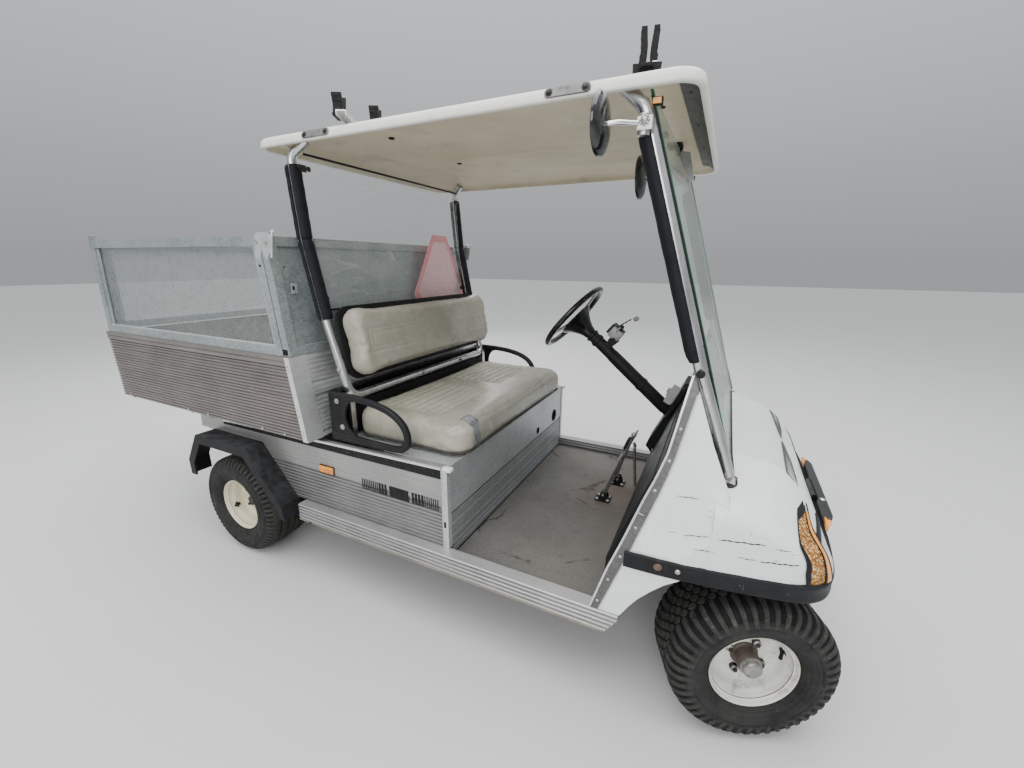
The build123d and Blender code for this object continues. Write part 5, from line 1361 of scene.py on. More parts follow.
# longer scratches on the right side of the cowl: rows of x, z along each
b = Build()
SCRATCH = [
    ((1764, 703.5), (1777, 704.6), (1801, 706.7), (1813, 707.7)), ((1789, 610.7), (1804, 614), (1834, 620.6), (1848, 623.8)),
    ((1868, 624.1), (1890, 625.7), (1919, 626.9), (1945, 628), (1969, 629.2)), ((1912, 585.1), (1935, 584.8), (1957, 584.5)),
    ((1960, 583.5), (1981, 585.2), (2003, 586), (2024, 586.7), (2046, 587.5)), ((1817, 585), (1841, 586.5), (1865, 588)),
    ((1989, 622.9), (2005, 622.7), (2021, 622.5)), ((1930, 655), (1938, 653)), ((1838, 671), (1846, 669.6))]
for k, row in enumerate(SCRATCH):
    pts = []
    m_ = len(row)
    for i in range(m_ - 1):
        for j in range(6):
            t = j / 6
            pts.append((lerp(row[i][0], row[i + 1][0], t), lerp(row[i][1], row[i + 1][1], t)))
    pts.append(row[-1])
    rings = []
    for i, (x, z) in enumerate(pts):
        f = min(i, len(pts) - 1 - i) / 4
        h = (1.5 if k in (2, 4) else 0.95) * min(1.0, 0.25 + f) * (1 + 0.45 * math.sin(i * 1.9 + k))
        y = hood_at(x)[0] + 1.25 if x > 1884 else cheek_y(x, z) + 1.3
        z += 0.8 * math.sin(i * 0.8 + k * 2)
        rings.append([V(x, -y, z - h), V(x, -y, z + h)])
    b.loops(rings, "stripe_black", closed=False)
b.done("cowl_scratches", fix=False)


# ======================================================================
# wheels and tyres: built flat with the outboard side up, then placed
# ======================================================================
TYRE_PROF = [(112.2, 79), (114, 80.5), (116.6, 83), (119.5, 86), (124, 93), (132, 100), (142, 105), (150, 106.8), (152, 108.0), (156, 108.0), (158, 107.0),
             (168, 107.0), (180, 105.0), (194, 100.5), (204, 94.5), (211, 87.5), (215.4, 79), (216.2, 66), (216.5, 40), (216.5, 0)]


def wheel_frame(at, axis):
    s, u, d = basis(axis)
    m_ = Matrix((s, u, d)).transposed().to_4x4()
    return Matrix.Translation(Vector(at)) @ m_


def polar(r, a, h):
    return V(r * math.cos(a), r * math.sin(a), h)


def ring_lathe(b, prof, mat, n=112):
    b.loops([[polar(r, 2 * math.pi * k / n, h) for k in range(n)] for r, h in prof], mat)


def raised(b, outline, floor, top, mat, pull=0.86):
    """block standing out of the tread: outline of (angle, h); radii floor and top"""
    ca = sum(p[0] for p in outline) / len(outline)
    ch = sum(p[1] for p in outline) / len(outline)
    lo = [polar(floor, a, h) for a, h in outline]
    up = [polar(top - 0.7, lerp(ca, a, 0.96), lerp(ch, h, 0.96)) for a, h in outline]
    tp_ = [polar(top, lerp(ca, a, pull), lerp(ch, h, pull)) for a, h in outline]
    b.loops([lo, up, tp_], mat, cap1=True)


def side_outline_arc(b, r0, r1, a0, a1, h, mat, w=1.5, lift=1.0):
    """raised outline of a plain arc-shaped field on the side wall"""
    pts = []
    m_ = 9
    for k in range(m_ + 1):
        pts.append((r1, lerp(a0, a1, k / m_)))
    for k in range(m_ + 1):
        pts.append((r0, lerp(a1, a0, k / m_)))
    cr, ca = (r0 + r1) / 2, (a0 + a1) / 2
    hh = lambda r: table_at([(116, 82.5), (124, 93), (132, 100), (142, 105), (150, 106.8), (168, 107), (180, 105), (194, 100.5)], r)[0]
    rings = []
    for r, a in pts:
        ri = r + (w if r < cr else -w)
        ai = a + (w / r if a < ca else -w / r) if (abs(a - a0) < 1e-6 or abs(a - a1) < 1e-6) else a
        sg = 1 if h > 0 else -1
        rings.append([polar(r, a, sg * (hh(r) - 0.4)), polar(lerp(r, ri, 0.2), lerp(a, ai, 0.2), sg * (hh(r) + lift)),
                      polar(lerp(r, ri, 0.8), lerp(a, ai, 0.8), sg * (hh(ri) + lift)), polar(ri, ai, sg * (hh(ri) - 0.4))])
    b.loops(rings, mat, closed=False, wrap=True)


def tyre(name, place, body, node_, front_type, seed):
    rnd = random.Random(seed)
    b = Build()
    b.place = place
    cut = 12 if front_type else 13
    prof = TYRE_PROF[cut:] + [(r, -h) for r, h in reversed(TYRE_PROF[cut:-1])]
    # tread ground near black: painted shade in the grooves between the blocks
    ring_lathe(b, prof, "tyre_groove_shade", 128)
    ring_lathe(b, TYRE_PROF[:cut + 1], "tyre_black", 128)
    ring_lathe(b, [(r, -h) for r, h in reversed(TYRE_PROF[:cut + 1])], "tyre_black", 128)
    inner = [(112.2, -79), (119, -70), (121, 0), (119, 70), (112.2, 79)]
    ring_lathe(b, inner, "tyre_black", 64)
    if front_type:
        n_ = 46
        pitch = 2 * math.pi / n_
        for k in range(n_):
            a = k * pitch
            for row, h in enumerate((-30.0, -10.0, 10.0, 30.0)):
                off = a + (0.5 * pitch if row % 2 else 0.0)
                da, dh = pitch * 0.41, 8.6
                jig = rnd.uniform(-0.25, 0.25)
                hexa = [(off - da, h + jig), (off - da * 0.45, h + dh), (off + da * 0.45, h + dh), (off + da, h + jig), (off + da * 0.45, h - dh), (off - da * 0.45, h - dh)]
                raised(b, hexa, 215.5, 222.0, "tyre_worn", 0.88)
            for sg in (1, -1):
                off = a + (0.25 * pitch if sg > 0 else 0.75 * pitch)
                path = [(222.0, 42), (222.0, 56), (220.4, 70), (217.8, 79.5), (213.6, 88.5), (206.5, 96.5), (196, 103), (184, 107), (172, 108.9), (166, 108.6)]
                rings = []
                m_ = len(path)
                for i, (r, h) in enumerate(path):
                    wd = lerp(7.6, 4.4, i / (m_ - 1)) * (0.8 if i == 0 else 1.0)
                    dip = 5.8 if i < 6 else lerp(5.4, 1.6, (i - 5) / 4)
                    ra, ha = path[max(0, i - 1)]
                    rb, hb = path[min(m_ - 1, i + 1)]
                    q = math.hypot(rb - ra, hb - ha)
                    nr, nh = (hb - ha) / q, -(rb - ra) / q
                    ri, hi = r - nr * dip, h - nh * dip
                    if i in (0, m_ - 1):
                        r, h = lerp(r, ri, 0.25), lerp(h, hi, 0.25)
                    rings.append([polar(ri, off - (wd + 1.6) / ri, sg * hi), polar(r, off - wd / r, sg * h), polar(r + 0.0, off, sg * h), polar(r, off + wd / r, sg * h), polar(ri, off + (wd + 1.6) / ri, sg * hi)])
                b.loops(rings, "tyre_worn", closed=False)
                b.add(rings[0], [tuple(range(5))], "tyre_worn")
                b.add(rings[-1], [tuple(range(5))], "tyre_worn")
    else:
        n_ = 240
        rows = ((-84, -55), (-49, -19), (-13, 13), (19, 49), (55, 84))
        for i, (h0, h1) in enumerate(rows):
            rings = []
            for k in range(n_):
                a = 2 * math.pi * k / n_
                zz = 2.6 * (1, 0, -1, 0)[k % 4]
                z0 = zz if i else 0.0
                z1 = zz if i < 4 else 0.0
                drop = lambda h: 0.0 if abs(h) < 60 else (abs(h) - 60) ** 2 / 24 * 0.16
                rings.append([polar(214.8 - drop(h0), a, h0 + z0 - 0.5), polar(221.2 - drop(h0 + 1), a, h0 + z0 + 0.2), polar(222 - drop(h0 + 2), a, h0 + z0 + 1.4),
                              polar(222 - drop((h0 + h1) / 2), a, (h0 + h1) / 2), polar(222 - drop(h1 - 2), a, h1 + z1 - 1.4), polar(221.2 - drop(h1 - 1), a, h1 + z1 - 0.2), polar(214.8 - drop(h1), a, h1 + z1 + 0.5)])
            b.loops(rings, "tyre_worn", closed=False, wrap=True)
        # shoulder cuts down the side wall
        for k in range(60):
            a = 2 * math.pi * (k + 0.5) / 60
            for sg in (1, -1):
                path = [(218.8, 84), (215.0, 89.5), (209, 95.8), (202, 100.4), (195, 103.0)]
                rings = []
                for i, (r, h) in enumerate(path):
                    wd = lerp(8.6, 5.4, i / 4)
                    rings.append([polar(r - 3.6, a - (wd + 1.2) / r, sg * (h - 3.2)), polar(r, a - wd / r, sg * h), polar(r, a + wd / r, sg * h), polar(r - 3.6, a + (wd + 1.2) / r, sg * (h - 3.2))])
                b.loops(rings, "tyre_worn", closed=False)
                b.add(rings[-1], [(0, 1, 2, 3)], "tyre_worn")
    # plain fields, ridges and mould marks on the side walls
    for sg in (1, -1):
        for r_ in ((126.5, 128.0, 95.5, 96.6), (136.5, 138.0, 102.4, 103.4), (182.5, 184.0, 104.5, 105.5)):
            ring_lathe(b, [(r_[0] - 0.6, sg * (r_[2] - 0.8)), (r_[0], sg * (r_[3] + 0.1)), (r_[1], sg * (r_[3] + 0.1)), (r_[1] + 0.6, sg * (r_[2] - 0.4))], "tyre_black", 112)
        for a0, a1 in ((0.15, 1.0), (1.35, 1.95), (2.3, 3.15), (3.5, 4.1), (4.4, 5.3), (5.55, 6.05)):
            side_outline_arc(b, 160.5, 177.0, a0, a1, sg, "tyre_black")
        for k in range(40):
            a = 2 * math.pi * k / 40
            b.add([polar(140.5, a - 0.012, sg * 104.2), polar(140.5, a + 0.012, sg * 104.2), polar(149, a + 0.011, sg * 107.4), polar(149, a - 0.011, sg * 107.4)], [(0, 1, 2, 3)], "tyre_black")
    b.done(name, body, replaces=(node_,), smooth=38, fix=False)


def rim(name, place, body, node_, slot_, mat, dish, rear_type):
    """rim and disc; heights from the outer flange's plane, outboard positive"""
    b = Build()
    b.place = place
    d = dish
    out = [(24, -d + 1.5), (37, -d + 1.5), (44, -d - 0.5), (58, -d + 0.5), (74, -d - 1.0), (86, -d - 0.5), (92, -d + 3), (95.4, -d + 9), (96.6, -d + 18),
           (97.4, -42), (98.6, -36), (102.6, -31.5), (104.2, -27), (104.6, -17.5), (106.0, -14.6), (109.8, -12.6), (110.9, -9.5), (111.4, -4.6), (112.6, -1.4),
           (114.2, -0.1), (115.4, -1.2), (116.0, -3.6), (115.4, -6.5), (112.0, -9.5), (108.0, -15), (103.5, -30), (101.5, -38), (99.6, -60), (99.6, -118), (103, -146),
           (107.5, -160), (112.0, -166.5), (115.4, -169.5), (116.0, -172.4), (115.2, -174.8), (113.8, -175.9), (112.4, -174.6), (111.2, -171), (110.6, -166.5),
           (106.2, -161.5), (102.6, -149), (97.2, -120), (96.8, -d - 22), (94, -d - 8), (88, -d - 4.6), (60, -d - 4.2), (24, -d - 3)]
    ring_lathe(b, out, mat, 112)
    b.loops([[polar(26, 2 * math.pi * k / 40, h) for k in range(40)] for h in (-d + 1.5, -d - 3)], "hub_brown")
    # bead ring: bright worn edge and a rusty ring at its foot
    ring_lathe(b, [(111.3, -6.2), (112.4, -2.2), (114.1, 0.15), (115.4, -0.9)], "rim_cream", 112)
    ring_lathe(b, [(104.9, -17.0), (105.3, -15.2), (106.4, -14.4)], "bolt_rusty", 112)
    a = math.radians(-25 if rear_type else 160)
    # valve in the barrel wall
    up = polar(1, a, 0)
    b.lathe([(8.6, 0), (8.6, 3), (6.2, 7), (4.6, 10), (4.4, 23), (5.0, 23.5), (5.0, 30), (3.0, 31.5)], polar(97.5, a, -42 if rear_type else -50), polar(-0.62, a, 0.78), "rubber_black", 16, cap0=True, cap1=True)
    # near-black disc round the valve: painted shade of its hole
    b.lathe([(14.5, -1.0), (14.5, 0.8), (9, 1.0)], polar(98.0, a, -42 if rear_type else -50), polar(-1.0, a, 0.0), "recess_shade", 24, cap1=True)
    if rear_type:
        ring_lathe(b, [(60, -d + 0.8), (61.5, -d + 2.0), (64, -d + 2.2), (66, -d + 0.4)], mat, 96)
        for k in range(4):
            t = math.pi / 4 + k * math.pi / 2
            b.hexbolt(polar(50.8, t, -d + 1.4), (0, 0, 1), 9.5, 9, "bolt_rusty")
            b.lathe([(6.0, 0), (6.0, 14), (5.0, 16)], polar(50.8, t, -d + 3), (0, 0, 1), "bolt_dark", 14, cap1=True)
        b.lathe([(32, -1), (31, 3), (28, 12), (25, 14), (12, 15)], (0, 0, -d), (0, 0, 1), "hub_brown", 40, cap1=True)
        b.lathe([(13, 0), (13, 5), (9, 8)], (0, 0, -d + 14), (0, 0, 1), "bolt_rusty", 24, cap1=True)
    else:
        b.lathe([(38, -1), (37.4, 4), (34, 7), (31.6, 9), (31, 24), (30.6, d - 22), (29.0, d - 20)], (0, 0, -d), (0, 0, 1), "hub_brown", 48)
        b.lathe([(29.0, 0), (26.0, 0.6), (25.2, 2), (25.0, 11), (24.0, 14.2), (20.5, 16.6), (13, 17.8), (5, 18.2)], (0, 0, -20), (0, 0, 1), "pedal_steel", 48, cap1=True)
        b.lathe([(27.2, -1), (27.2, 1.8), (25.2, 2.4)], (0, 0, -19), (0, 0, 1), "pedal_steel", 48)
        for k in range(4):
            t = math.radians(28) + k * math.pi / 2
            b.lathe([(15.5, -1), (14.5, 1.2), (12.5, 2.0)], polar(50.8, t, -d + 0.6), (0, 0, 1), mat, 24, cap1=True)
            b.hexbolt(polar(50.8, t, -d + 2.0), (0, 0, 1), 11.5, 13, "bolt_dark", washer=False)
            b.lathe([(11.2, 12.9), (9.0, 15.6), (6.4, 16.2)], polar(50.8, t, -d + 2.0), (0, 0, 1), "pedal_steel", 18)
            b.lathe([(6.2, 0), (6.2, 17), (5.2, 18.5)], polar(50.8, t, -d + 4), (0, 0, 1), "bolt_dark", 14, cap1=True)
    # inboard side of the hub
    if rear_type:
        b.lathe([(58, 0), (78, -3), (82, -8), (82, -34), (70, -38), (40, -40)], (0, 0, -d - 6), (0, 0, 1), "axle_steel", 56, cap1=True)
    else:
        b.lathe([(46, 0), (48, -4), (48, -10), (34, -14), (32, -40), (24, -44)], (0, 0, -d - 4), (0, 0, 1), "axle_steel", 40, cap1=True)
    b.done(name, body, replaces=(node_,), smooth=40, fix=False)


AX_R = V(0.3714, -0.9285, 0)
AX_L = V(-0.3714, 0.9285, 0)
AX_LF = V(-0.3714, 0.9285, 0)
WHEELS = [
    ("front_right", V(2005.2, -512.6, 222), AX_R, "wheel_fr", True, 66.0, 11),
    ("front_left", V(1876.8, 512.6, 222), AX_L, "wheel_fl", True, 66.0, 12),
    ("rear_right", V(0, -606, 222), V(0, -1, 0), "wheel_rr", False, 74.0, 13),
    ("rear_left", V(0, 606, 222), V(0, 1, 0), "wheel_rl", False, 74.0, 14)]
for tag, flange, axis, body_, is_front, dish, seed in WHEELS:
    rim("rim_" + tag, wheel_frame(flange, axis), body_, "wheel_" + tag, "rim_white" if is_front else "rim_cream", "rim_white" if is_front else "rim_cream", dish, not is_front)
    tyre("tread_" + tag, wheel_frame(flange - axis.normalized() * 88.0, axis), body_, "tyre_" + tag, is_front, seed)

# ======================================================================
# cushions: swollen with cloth, then sewn
# ======================================================================
def pillow(hx, hy, z0, z1, r, edge, crown, nx=10):
    """rounded closed start form, centred on x and y"""
    b = Build()
    rings = []
    prof = []
    steps = 5
    for k in range(steps + 1):
        a = math.pi / 2 * k / steps
        prof.append((edge * (1 - math.sin(a)), z0 + edge * (1 - math.cos(a))))
    prof = [(edge * 0.55, z0), (edge * 0.12, z0 + edge * 0.25), (0, z0 + edge * 0.6)]
    for k in range(steps + 1):
        a = math.pi / 2 * k / steps
        prof.append((edge * (1 - math.cos(a)), z1 - edge + edge * math.sin(a)))
    for ins, z in prof:
        rings.append([V(x, y, z) for x, y in rrect(hx - ins, hy - ins, max(6.0, r - ins * 0.6), 8)])
    for f in (0.75, 0.5, 0.25, 0.05):
        rings.append([V(x * f, y * f, z1 + crown * (1 - f)) for x, y in rrect(hx - edge, hy - edge, max(6.0, r - edge * 0.6), 8)])
    b.loops(rings, "seat_vinyl", cap0=True, cap1=True)
    return b


def swell(name, build, place, voxel, pressure, cap, limit):
    """remesh, swell by cloth pressure, cap the travel; returns the object unplaced; place is not used"""
    me = bpy.data.meshes.new(name)
    me.from_pydata([Vector(p) / 1000 for p in build.v], [], build.f)
    bm = bmesh.new()
    bm.from_mesh(me)
    bmesh.ops.recalc_face_normals(bm, faces=bm.faces)
    bm.to_mesh(me)
    bm.free()
    o = bpy.data.objects.new(name, me)
    bpy.context.scene.collection.objects.link(o)
    rm = o.modifiers.new("voxel", "REMESH")
    rm.mode = "VOXEL"
    rm.voxel_size = voxel / 1000
    dg = bpy.context.evaluated_depsgraph_get()
    fine = bpy.data.meshes.new_from_object(o.evaluated_get(dg))
    o.modifiers.clear()
    o.data = fine
    base = [v.co.copy() for v in fine.vertices]
    cl = o.modifiers.new("cloth", "CLOTH")
    st = cl.settings
    st.quality = 5
    st.mass = 0.06
    st.tension_stiffness = st.compression_stiffness = 8
    st.shear_stiffness = 3
    st.bending_stiffness = 0.5
    st.air_damping = 2.0
    st.use_pressure = True
    st.uniform_pressure_force = pressure
    st.effector_weights.gravity = 0
    cl.collision_settings.use_collision = False
    cl.point_cache.frame_start = 1
    cl.point_cache.frame_end = 20
    sc = bpy.context.scene
    for f in range(1, 21):
        sc.frame_set(f)
        dg = bpy.context.evaluated_depsgraph_get()
        o.evaluated_get(dg)
    ev = o.evaluated_get(bpy.context.evaluated_depsgraph_get())
    got = [v.co + v.normal * 0.006 for v in ev.data.vertices]
    o.modifiers.clear()
    sc.frame_set(1)
    pts = []
    for p, q in zip(base, got):
        d = q - p
        if d.length > cap / 1000:
            d = d * (cap / 1000 / d.length)
        pts.append(p + d)
    # the cover draws in as it swells: stretched back to the length and width that it was cut for
    for ax in range(3):
        lo = min(p[ax] for p in base) - 0.006
        hi = max(p[ax] for p in base) + 0.006
        la = min(p[ax] for p in pts)
        ha = max(p[ax] for p in pts)
        if ha - la < hi - lo:
            for p in pts:
                p[ax] = lo + (p[ax] - la) * (hi - lo) / (ha - la)
    for v, p in zip(fine.vertices, pts):
        p = p * 1000
        v.co = limit(p) / 1000
    fine.update()
    sub = o.modifiers.new("smooth", "SUBSURF")
    sub.levels = sub.render_levels = 1
    dg = bpy.context.evaluated_depsgraph_get()
    final = bpy.data.meshes.new_from_object(o.evaluated_get(dg))
    o.modifiers.clear()
    o.data = final
    return o


class _P:
    def __init__(self, co):
        self.co = co


def finish_pad(o, place, shape, body, node_, mats=("seat_vinyl",)):
    me = o.data
    me.update()
    norms = [v.normal.copy() for v in me.vertices]
    for v, n in zip(me.vertices, norms):
        p = shape(v.co * 1000, n)
        q = place @ p
        v.co = M(q.x, q.y, q.z)
    me.materials.clear()
    for m_ in mats:
        me.materials.append(MT[m_])
    me.polygons.foreach_set("use_smooth", [True] * len(me.polygons))
    me.update()
    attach(o, body)
    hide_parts(node_)


def groove(d, w, depth):
    return depth * math.exp(-(d / w) ** 2)


def soft_step(x, a, b_):
    t = max(0.0, min(1.0, (x - a) / (b_ - a)))
    return t * t * (3 - 2 * t)


# seat: one long bench cushion, local origin at its middle on the deck
seat_place = Matrix.Translation(V(850, 0, 0))


def seat_limit(p):
    return V(max(-243.0, min(243.5, p.x)), max(-481.0, min(481.0, p.y)), max(633.2, min(743.0, p.z)))


CHANNELS = [690 - 850 + 37 * k for k in range(7)]


def seat_shape(p, n):
    x, y, z = p
    top = soft_step(n.z, 0.35, 0.8)
    cut = 0.0
    ends = soft_step(400 - abs(y), -14, 16) * soft_step(abs(y) - 60, -12, 14)
    for c in CHANNELS:
        cut = max(cut, groove(x - c, 4.6, 4.2) * ends)
    # seams round the sewn field; the front edge crease follows below
    if -186 < x < 92:
        for e in (60, 402):
            cut = max(cut, groove(abs(y) - e, 4.5, 2.6))
    if 54 < abs(y) < 408:
        for e in (-186, 90):
            cut = max(cut, groove(x - e, 4.5, 2.6))
    puff = 2.2 * math.cos((x - CHANNELS[0]) / 37 * 2 * math.pi + math.pi) * ends * soft_step(x, -196, -176) * soft_step(84 - x, -10, 10)
    z += top * (puff - cut)
    # crease along the front edge, wavy from use
    line_ = 222 + 8 * math.sin(y / 190.0 + 1.7) - 6 * (abs(y) / 480) ** 4
    if z > 690:
        z -= groove(x - line_, 5.5, 2.4) * top
    # dent with folds near the right front corner
    dx_, dy_ = (x - 142) / 58, (y + 446) / 30
    q = dx_ * dx_ + dy_ * dy_
    if q < 3.5:
        z -= top * 7.5 * math.exp(-q * 1.2)
        fold = math.exp(-(q - 1.0) ** 2 * 2.0)
        z += top * 2.3 * fold * math.sin(9 * q + 0.5)
    # folds below it on the side face and wrinkles at the corners
    if n.y < -0.5 and x > 90:
        w = math.exp(-((x - 150) / 46) ** 2)
        y += 3.2 * w * math.sin((z - 640) / 7.5 + (x - 150) ** 2 / 900)
    for cx, cy in ((205, -440), (205, 440), (-205, -440), (-205, 440)):
        r_ = math.hypot(x - cx, y - cy)
        if r_ < 80:
            a = math.atan2(y - cy, x - cx)
            z += top * 0.9 * math.sin(a * 11) * math.exp(-((r_ - 38) / 20) ** 2)
    x += 0.9 * math.sin(y / 47 + z / 31) * (1 - top)
    return V(x, y, z)


seat_pad = swell("bench_cushion", pillow(238, 475, 634, 722, 66, 26, 3), seat_place, 9.0, 45.0, 15, seat_limit)
finish_pad(seat_pad, seat_place, seat_shape, "root", "seat_cushion")

# backrest: leans back; local z is its thickness direction here
back_tilt = Matrix.Translation(V(600, 0, 972)) @ Matrix.Rotation(math.radians(-9.93), 4, "Y")
# pillow's own axes: x up the rest, y across, z towards the sitter
back_place = back_tilt @ Matrix(((0, 0, 1, 0), (0, 1, 0, 0), (-1, 0, 0, 0), (0, 0, 0, 1)))


def back_limit(p):
    return V(max(-123.5, min(123.5, p.x)), max(-465.5, min(465.5, p.y)), max(-16.6, min(64.0, p.z)))


def back_shape(p, n):
    x, y, z = p
    top = soft_step(n.z, 0.3, 0.8)
    cut = 0.0
    for r_, dpt in ((0, 3.4), (15, 2.6)):
        hx_, hy_ = 42 - r_, 154 - r_
        cx = abs(abs(y) - 262)
        if cx < hy_ + 8 and abs(x) < hx_ + 8:
            dx_, dy_ = abs(abs(x) - hx_), abs(cx - hy_)
            if abs(x) <= hx_ + 2:
                cut = max(cut, groove(dy_, 4.2, dpt))
            if cx <= hy_ + 2:
                cut = max(cut, groove(dx_, 4.2, dpt))
    z -= top * cut
    z += top * 1.1 * math.sin(y / 64 + 0.6) * math.cos(x / 52)
    edge_ = soft_step(abs(y), 380, 460)
    z += top * edge_ * 0.9 * math.sin(x / 6.5 + y / 30)
    return V(x, y, z)


back_pad = swell("backrest_pad", pillow(118, 460, -16, 50, 52, 24, 3), back_place, 8.5, 45.0, 12, back_limit)
finish_pad(back_pad, back_place, back_shape, "root", "backrest_cushion")

# piping, tape and near-black welt at the bench's lower edge
b = Build()
foot_line = [(x + 850, y) for x, y in rrect(240.5, 478.5, 66, 14)]
b.tube([(x, y, 637.5 + 0.8 * math.sin(k * 1.1)) for k, (x, y) in enumerate(foot_line)], 4.0, "vinyl_piping", 10, closed=True)
top_line = [(x + 850, y) for x, y in rrect(236.0, 474.0, 62, 14)]
b.done("bench_piping", smooth=60)


def drop_on(obj, x, y, z_from=800.0, dirn=(0, 0, -1)):
    """where a line meets the swollen cushion, in millimetres"""
    o_ = M(x, y, z_from)
    hit, loc, nor, _ = obj.ray_cast(o_, Vector(dirn))
    if not hit:
        return None
    return V(loc.x * 1000 + SH, loc.y * 1000, loc.z * 1000), nor


bpy.context.view_layer.update()
b = Build()
rows = []
stations = [("top", x) for x in (1034, 1042, 1050, 1058, 1065, 1072, 1079)] + [("front", z) for z in (726, 716, 704, 690, 674, 658, 643)]
for kind, val in stations:
    row = []
    for k in range(8):
        y = lerp(-412 + 2.4 * math.sin(val * 0.31), (-352 if kind == "top" else -366) + 3.0 * math.sin(val * 0.43), k / 7)
        if kind == "top":
            got = drop_on(seat_pad, val, y)
        else:
            got = drop_on(seat_pad, 1150, y, val, (-1, 0, 0))
        row.append(got[0] + got[1].normalized() * (1.6 + 1.1 * math.sin(k * 2.3 + val * 0.23) if 0 < k < 7 else 0.3) if got else None)
    if all(r is not None for r in row):
        rows.append(row)
if len(rows) > 3:
    b.loops(rows, "duct_tape", closed=False)
    b.done("tape_on_bench", smooth=60)

# ======================================================================
# foam sleeves on the canopy struts
# ======================================================================
RT = [(500, 470, 1641), (446, 490, 1598), (470, 492, 1330), (530, 490, 1049), (606, 482, 776)]
FT = [(1540, 488, 1643), (1596, 505, 1590), (1777, 464.5, 1008), (1872, 447, 741)]


def sleeve(b, p, q, t0, t1, r_out, a_mid, half, seed, r_in=16.6):
    """C-shaped sleeve along p-q; a_mid is the direction of its middle, seen in plan"""
    p, q = Vector(p), Vector(q)
    d = (q - p).normalized()
    ref = Vector(a_mid)
    u = (ref - d * ref.dot(d)).normalized()
    w = d.cross(u)
    n_, m_ = 34, 22
    rings = []
    for i in range(n_ + 1):
        t = lerp(t0, t1, i / n_)
        c = p.lerp(q, t)
        e = min(i, n_ - i) / 2.0
        fat = 1.0 if e >= 1 else 0.80 + 0.2 * math.sqrt(max(0.0, 1 - (1 - e) ** 2))
        wob = 0.35 * math.sin(i * 0.8 + seed) + 0.22 * math.sin(i * 2.1 + seed * 2)
        ring = []
        for k in range(m_ + 1):
            f = k / m_
            a = lerp(-half, half, f)
            lip = min(1.0, min(f, 1 - f) * 9)
            r = lerp(r_in + 1.0, (r_out + wob) * fat if fat < 1 else r_out + wob, math.sqrt(lip))
            ring.append(c + u * (r * math.cos(a)) + w * (r * math.sin(a)))
        for k in range(m_, -1, -2):
            a = lerp(-half * 0.985, half * 0.985, k / m_)
            ring.append(c + u * (r_in * math.cos(a)) + w * (r_in * math.sin(a)))
        rings.append(ring)
    b.loops(rings, "pad_black", cap0=True, cap1=True)


b = Build()
for s in (-1, 1):
    g = lambda p: (p[0], s * p[1], p[2])
    for k, (i, t0, t1) in enumerate(((1, 0.11, 1.0), (2, 0.0, 0.97))):
        for dirn, half in (((1, 0, 0.1), 1.34), ((-1, 0, -0.1), 1.34)):
            sleeve(b, g(RT[i]), g(RT[i + 1]), t0, t1, 26.0, dirn, half, k + s)
    sleeve(b, g(FT[1]), g(FT[2]), 0.07, 0.955, 28.0, (-1, -s * 0.25, 0), 2.0, 3 + s)
foam = b.done("strut_sleeves", replaces=("strut_pads",), smooth=55)


# ======================================================================
# steering wheel, column, pedals
# ======================================================================
CA, CB = V(1207, 280, 1029), V(1632, 280, 669)
CD = (CB - CA).normalized()
wheel_at = wheel_frame(CA, -CD)


def along_col(t):
    return CA + CD * t


b = Build()
b.place = wheel_at
rings = []
n_big, n_small = 96, 18
for i in range(n_big):
    a = 2 * math.pi * i / n_big
    ring = []
    for k in range(n_small):
        t = 2 * math.pi * k / n_small
        grip = 0.35 * math.cos(a * 40) * (1 if math.cos(t) < 0.2 else 0)
        r = 162 + (13.4 + grip) * math.cos(t)
        ring.append(V(r * math.cos(a), r * math.sin(a), (12.4 + grip) * math.sin(t)))
    rings.append(ring)
b.loops(rings, "black_gloss", wrap=True)
b.lathe([(22, -116), (27, -104), (30, -88), (40, -66), (57, -40), (73, -25), (80, -18), (79, -12), (72, -8.5), (46, -6), (24, -4.5), (22, -6.5), (8, -6.0)], (0, 0, 0), (0, 0, 1), "black_gloss", 56, cap0=True, cap1=True)
b.lathe([(20, -6), (19, -3.2), (14, -1.6), (5, -1.2)], (0, 0, 0), (0, 0, 1), "black_plastic", 36, cap1=True)
for deg in (90, 210, 330):
    a = math.radians(deg)
    e, f = V(math.cos(a), math.sin(a), 0), V(-math.sin(a), math.cos(a), 0)
    secs = []
    for t, wd, th, z in ((44, 62, 12, -14), (62, 54, 11, -13), (88, 42, 9, -10), (116, 36, 8, -6.5), (136, 40, 8, -3.5), (150, 52, 7, -1.5), (158, 62, 6, -0.5)):
        secs.append([e * t + f * (wd * math.cos(q) * (1 if abs(math.cos(q)) > 0.1 else 1)) * 0.5 + V(0, 0, z + th * 0.5 * math.sin(q)) for q in (2 * math.pi * k / 14 for k in range(14))])
    b.loops(secs, "black_gloss", cap0=True, cap1=True)
    # raised middle rib on each spoke
    b.loops([[e * t + f * y + V(0, 0, z + h) for y, h in ((-4, 3.0), (-2.6, 5.2), (2.6, 5.2), (4, 3.0))] for t, z in ((56, -11), (92, -8.6), (128, -4.6))], "black_gloss", closed=False)
b.lathe([(12.4, -190), (12.4, -80)], (0, 0, 0), (0, 0, 1), "frame_black", 28, cap0=True)
b.done("steering_wheel_moulding", "steering", replaces=("steering_wheel",), smooth=45)

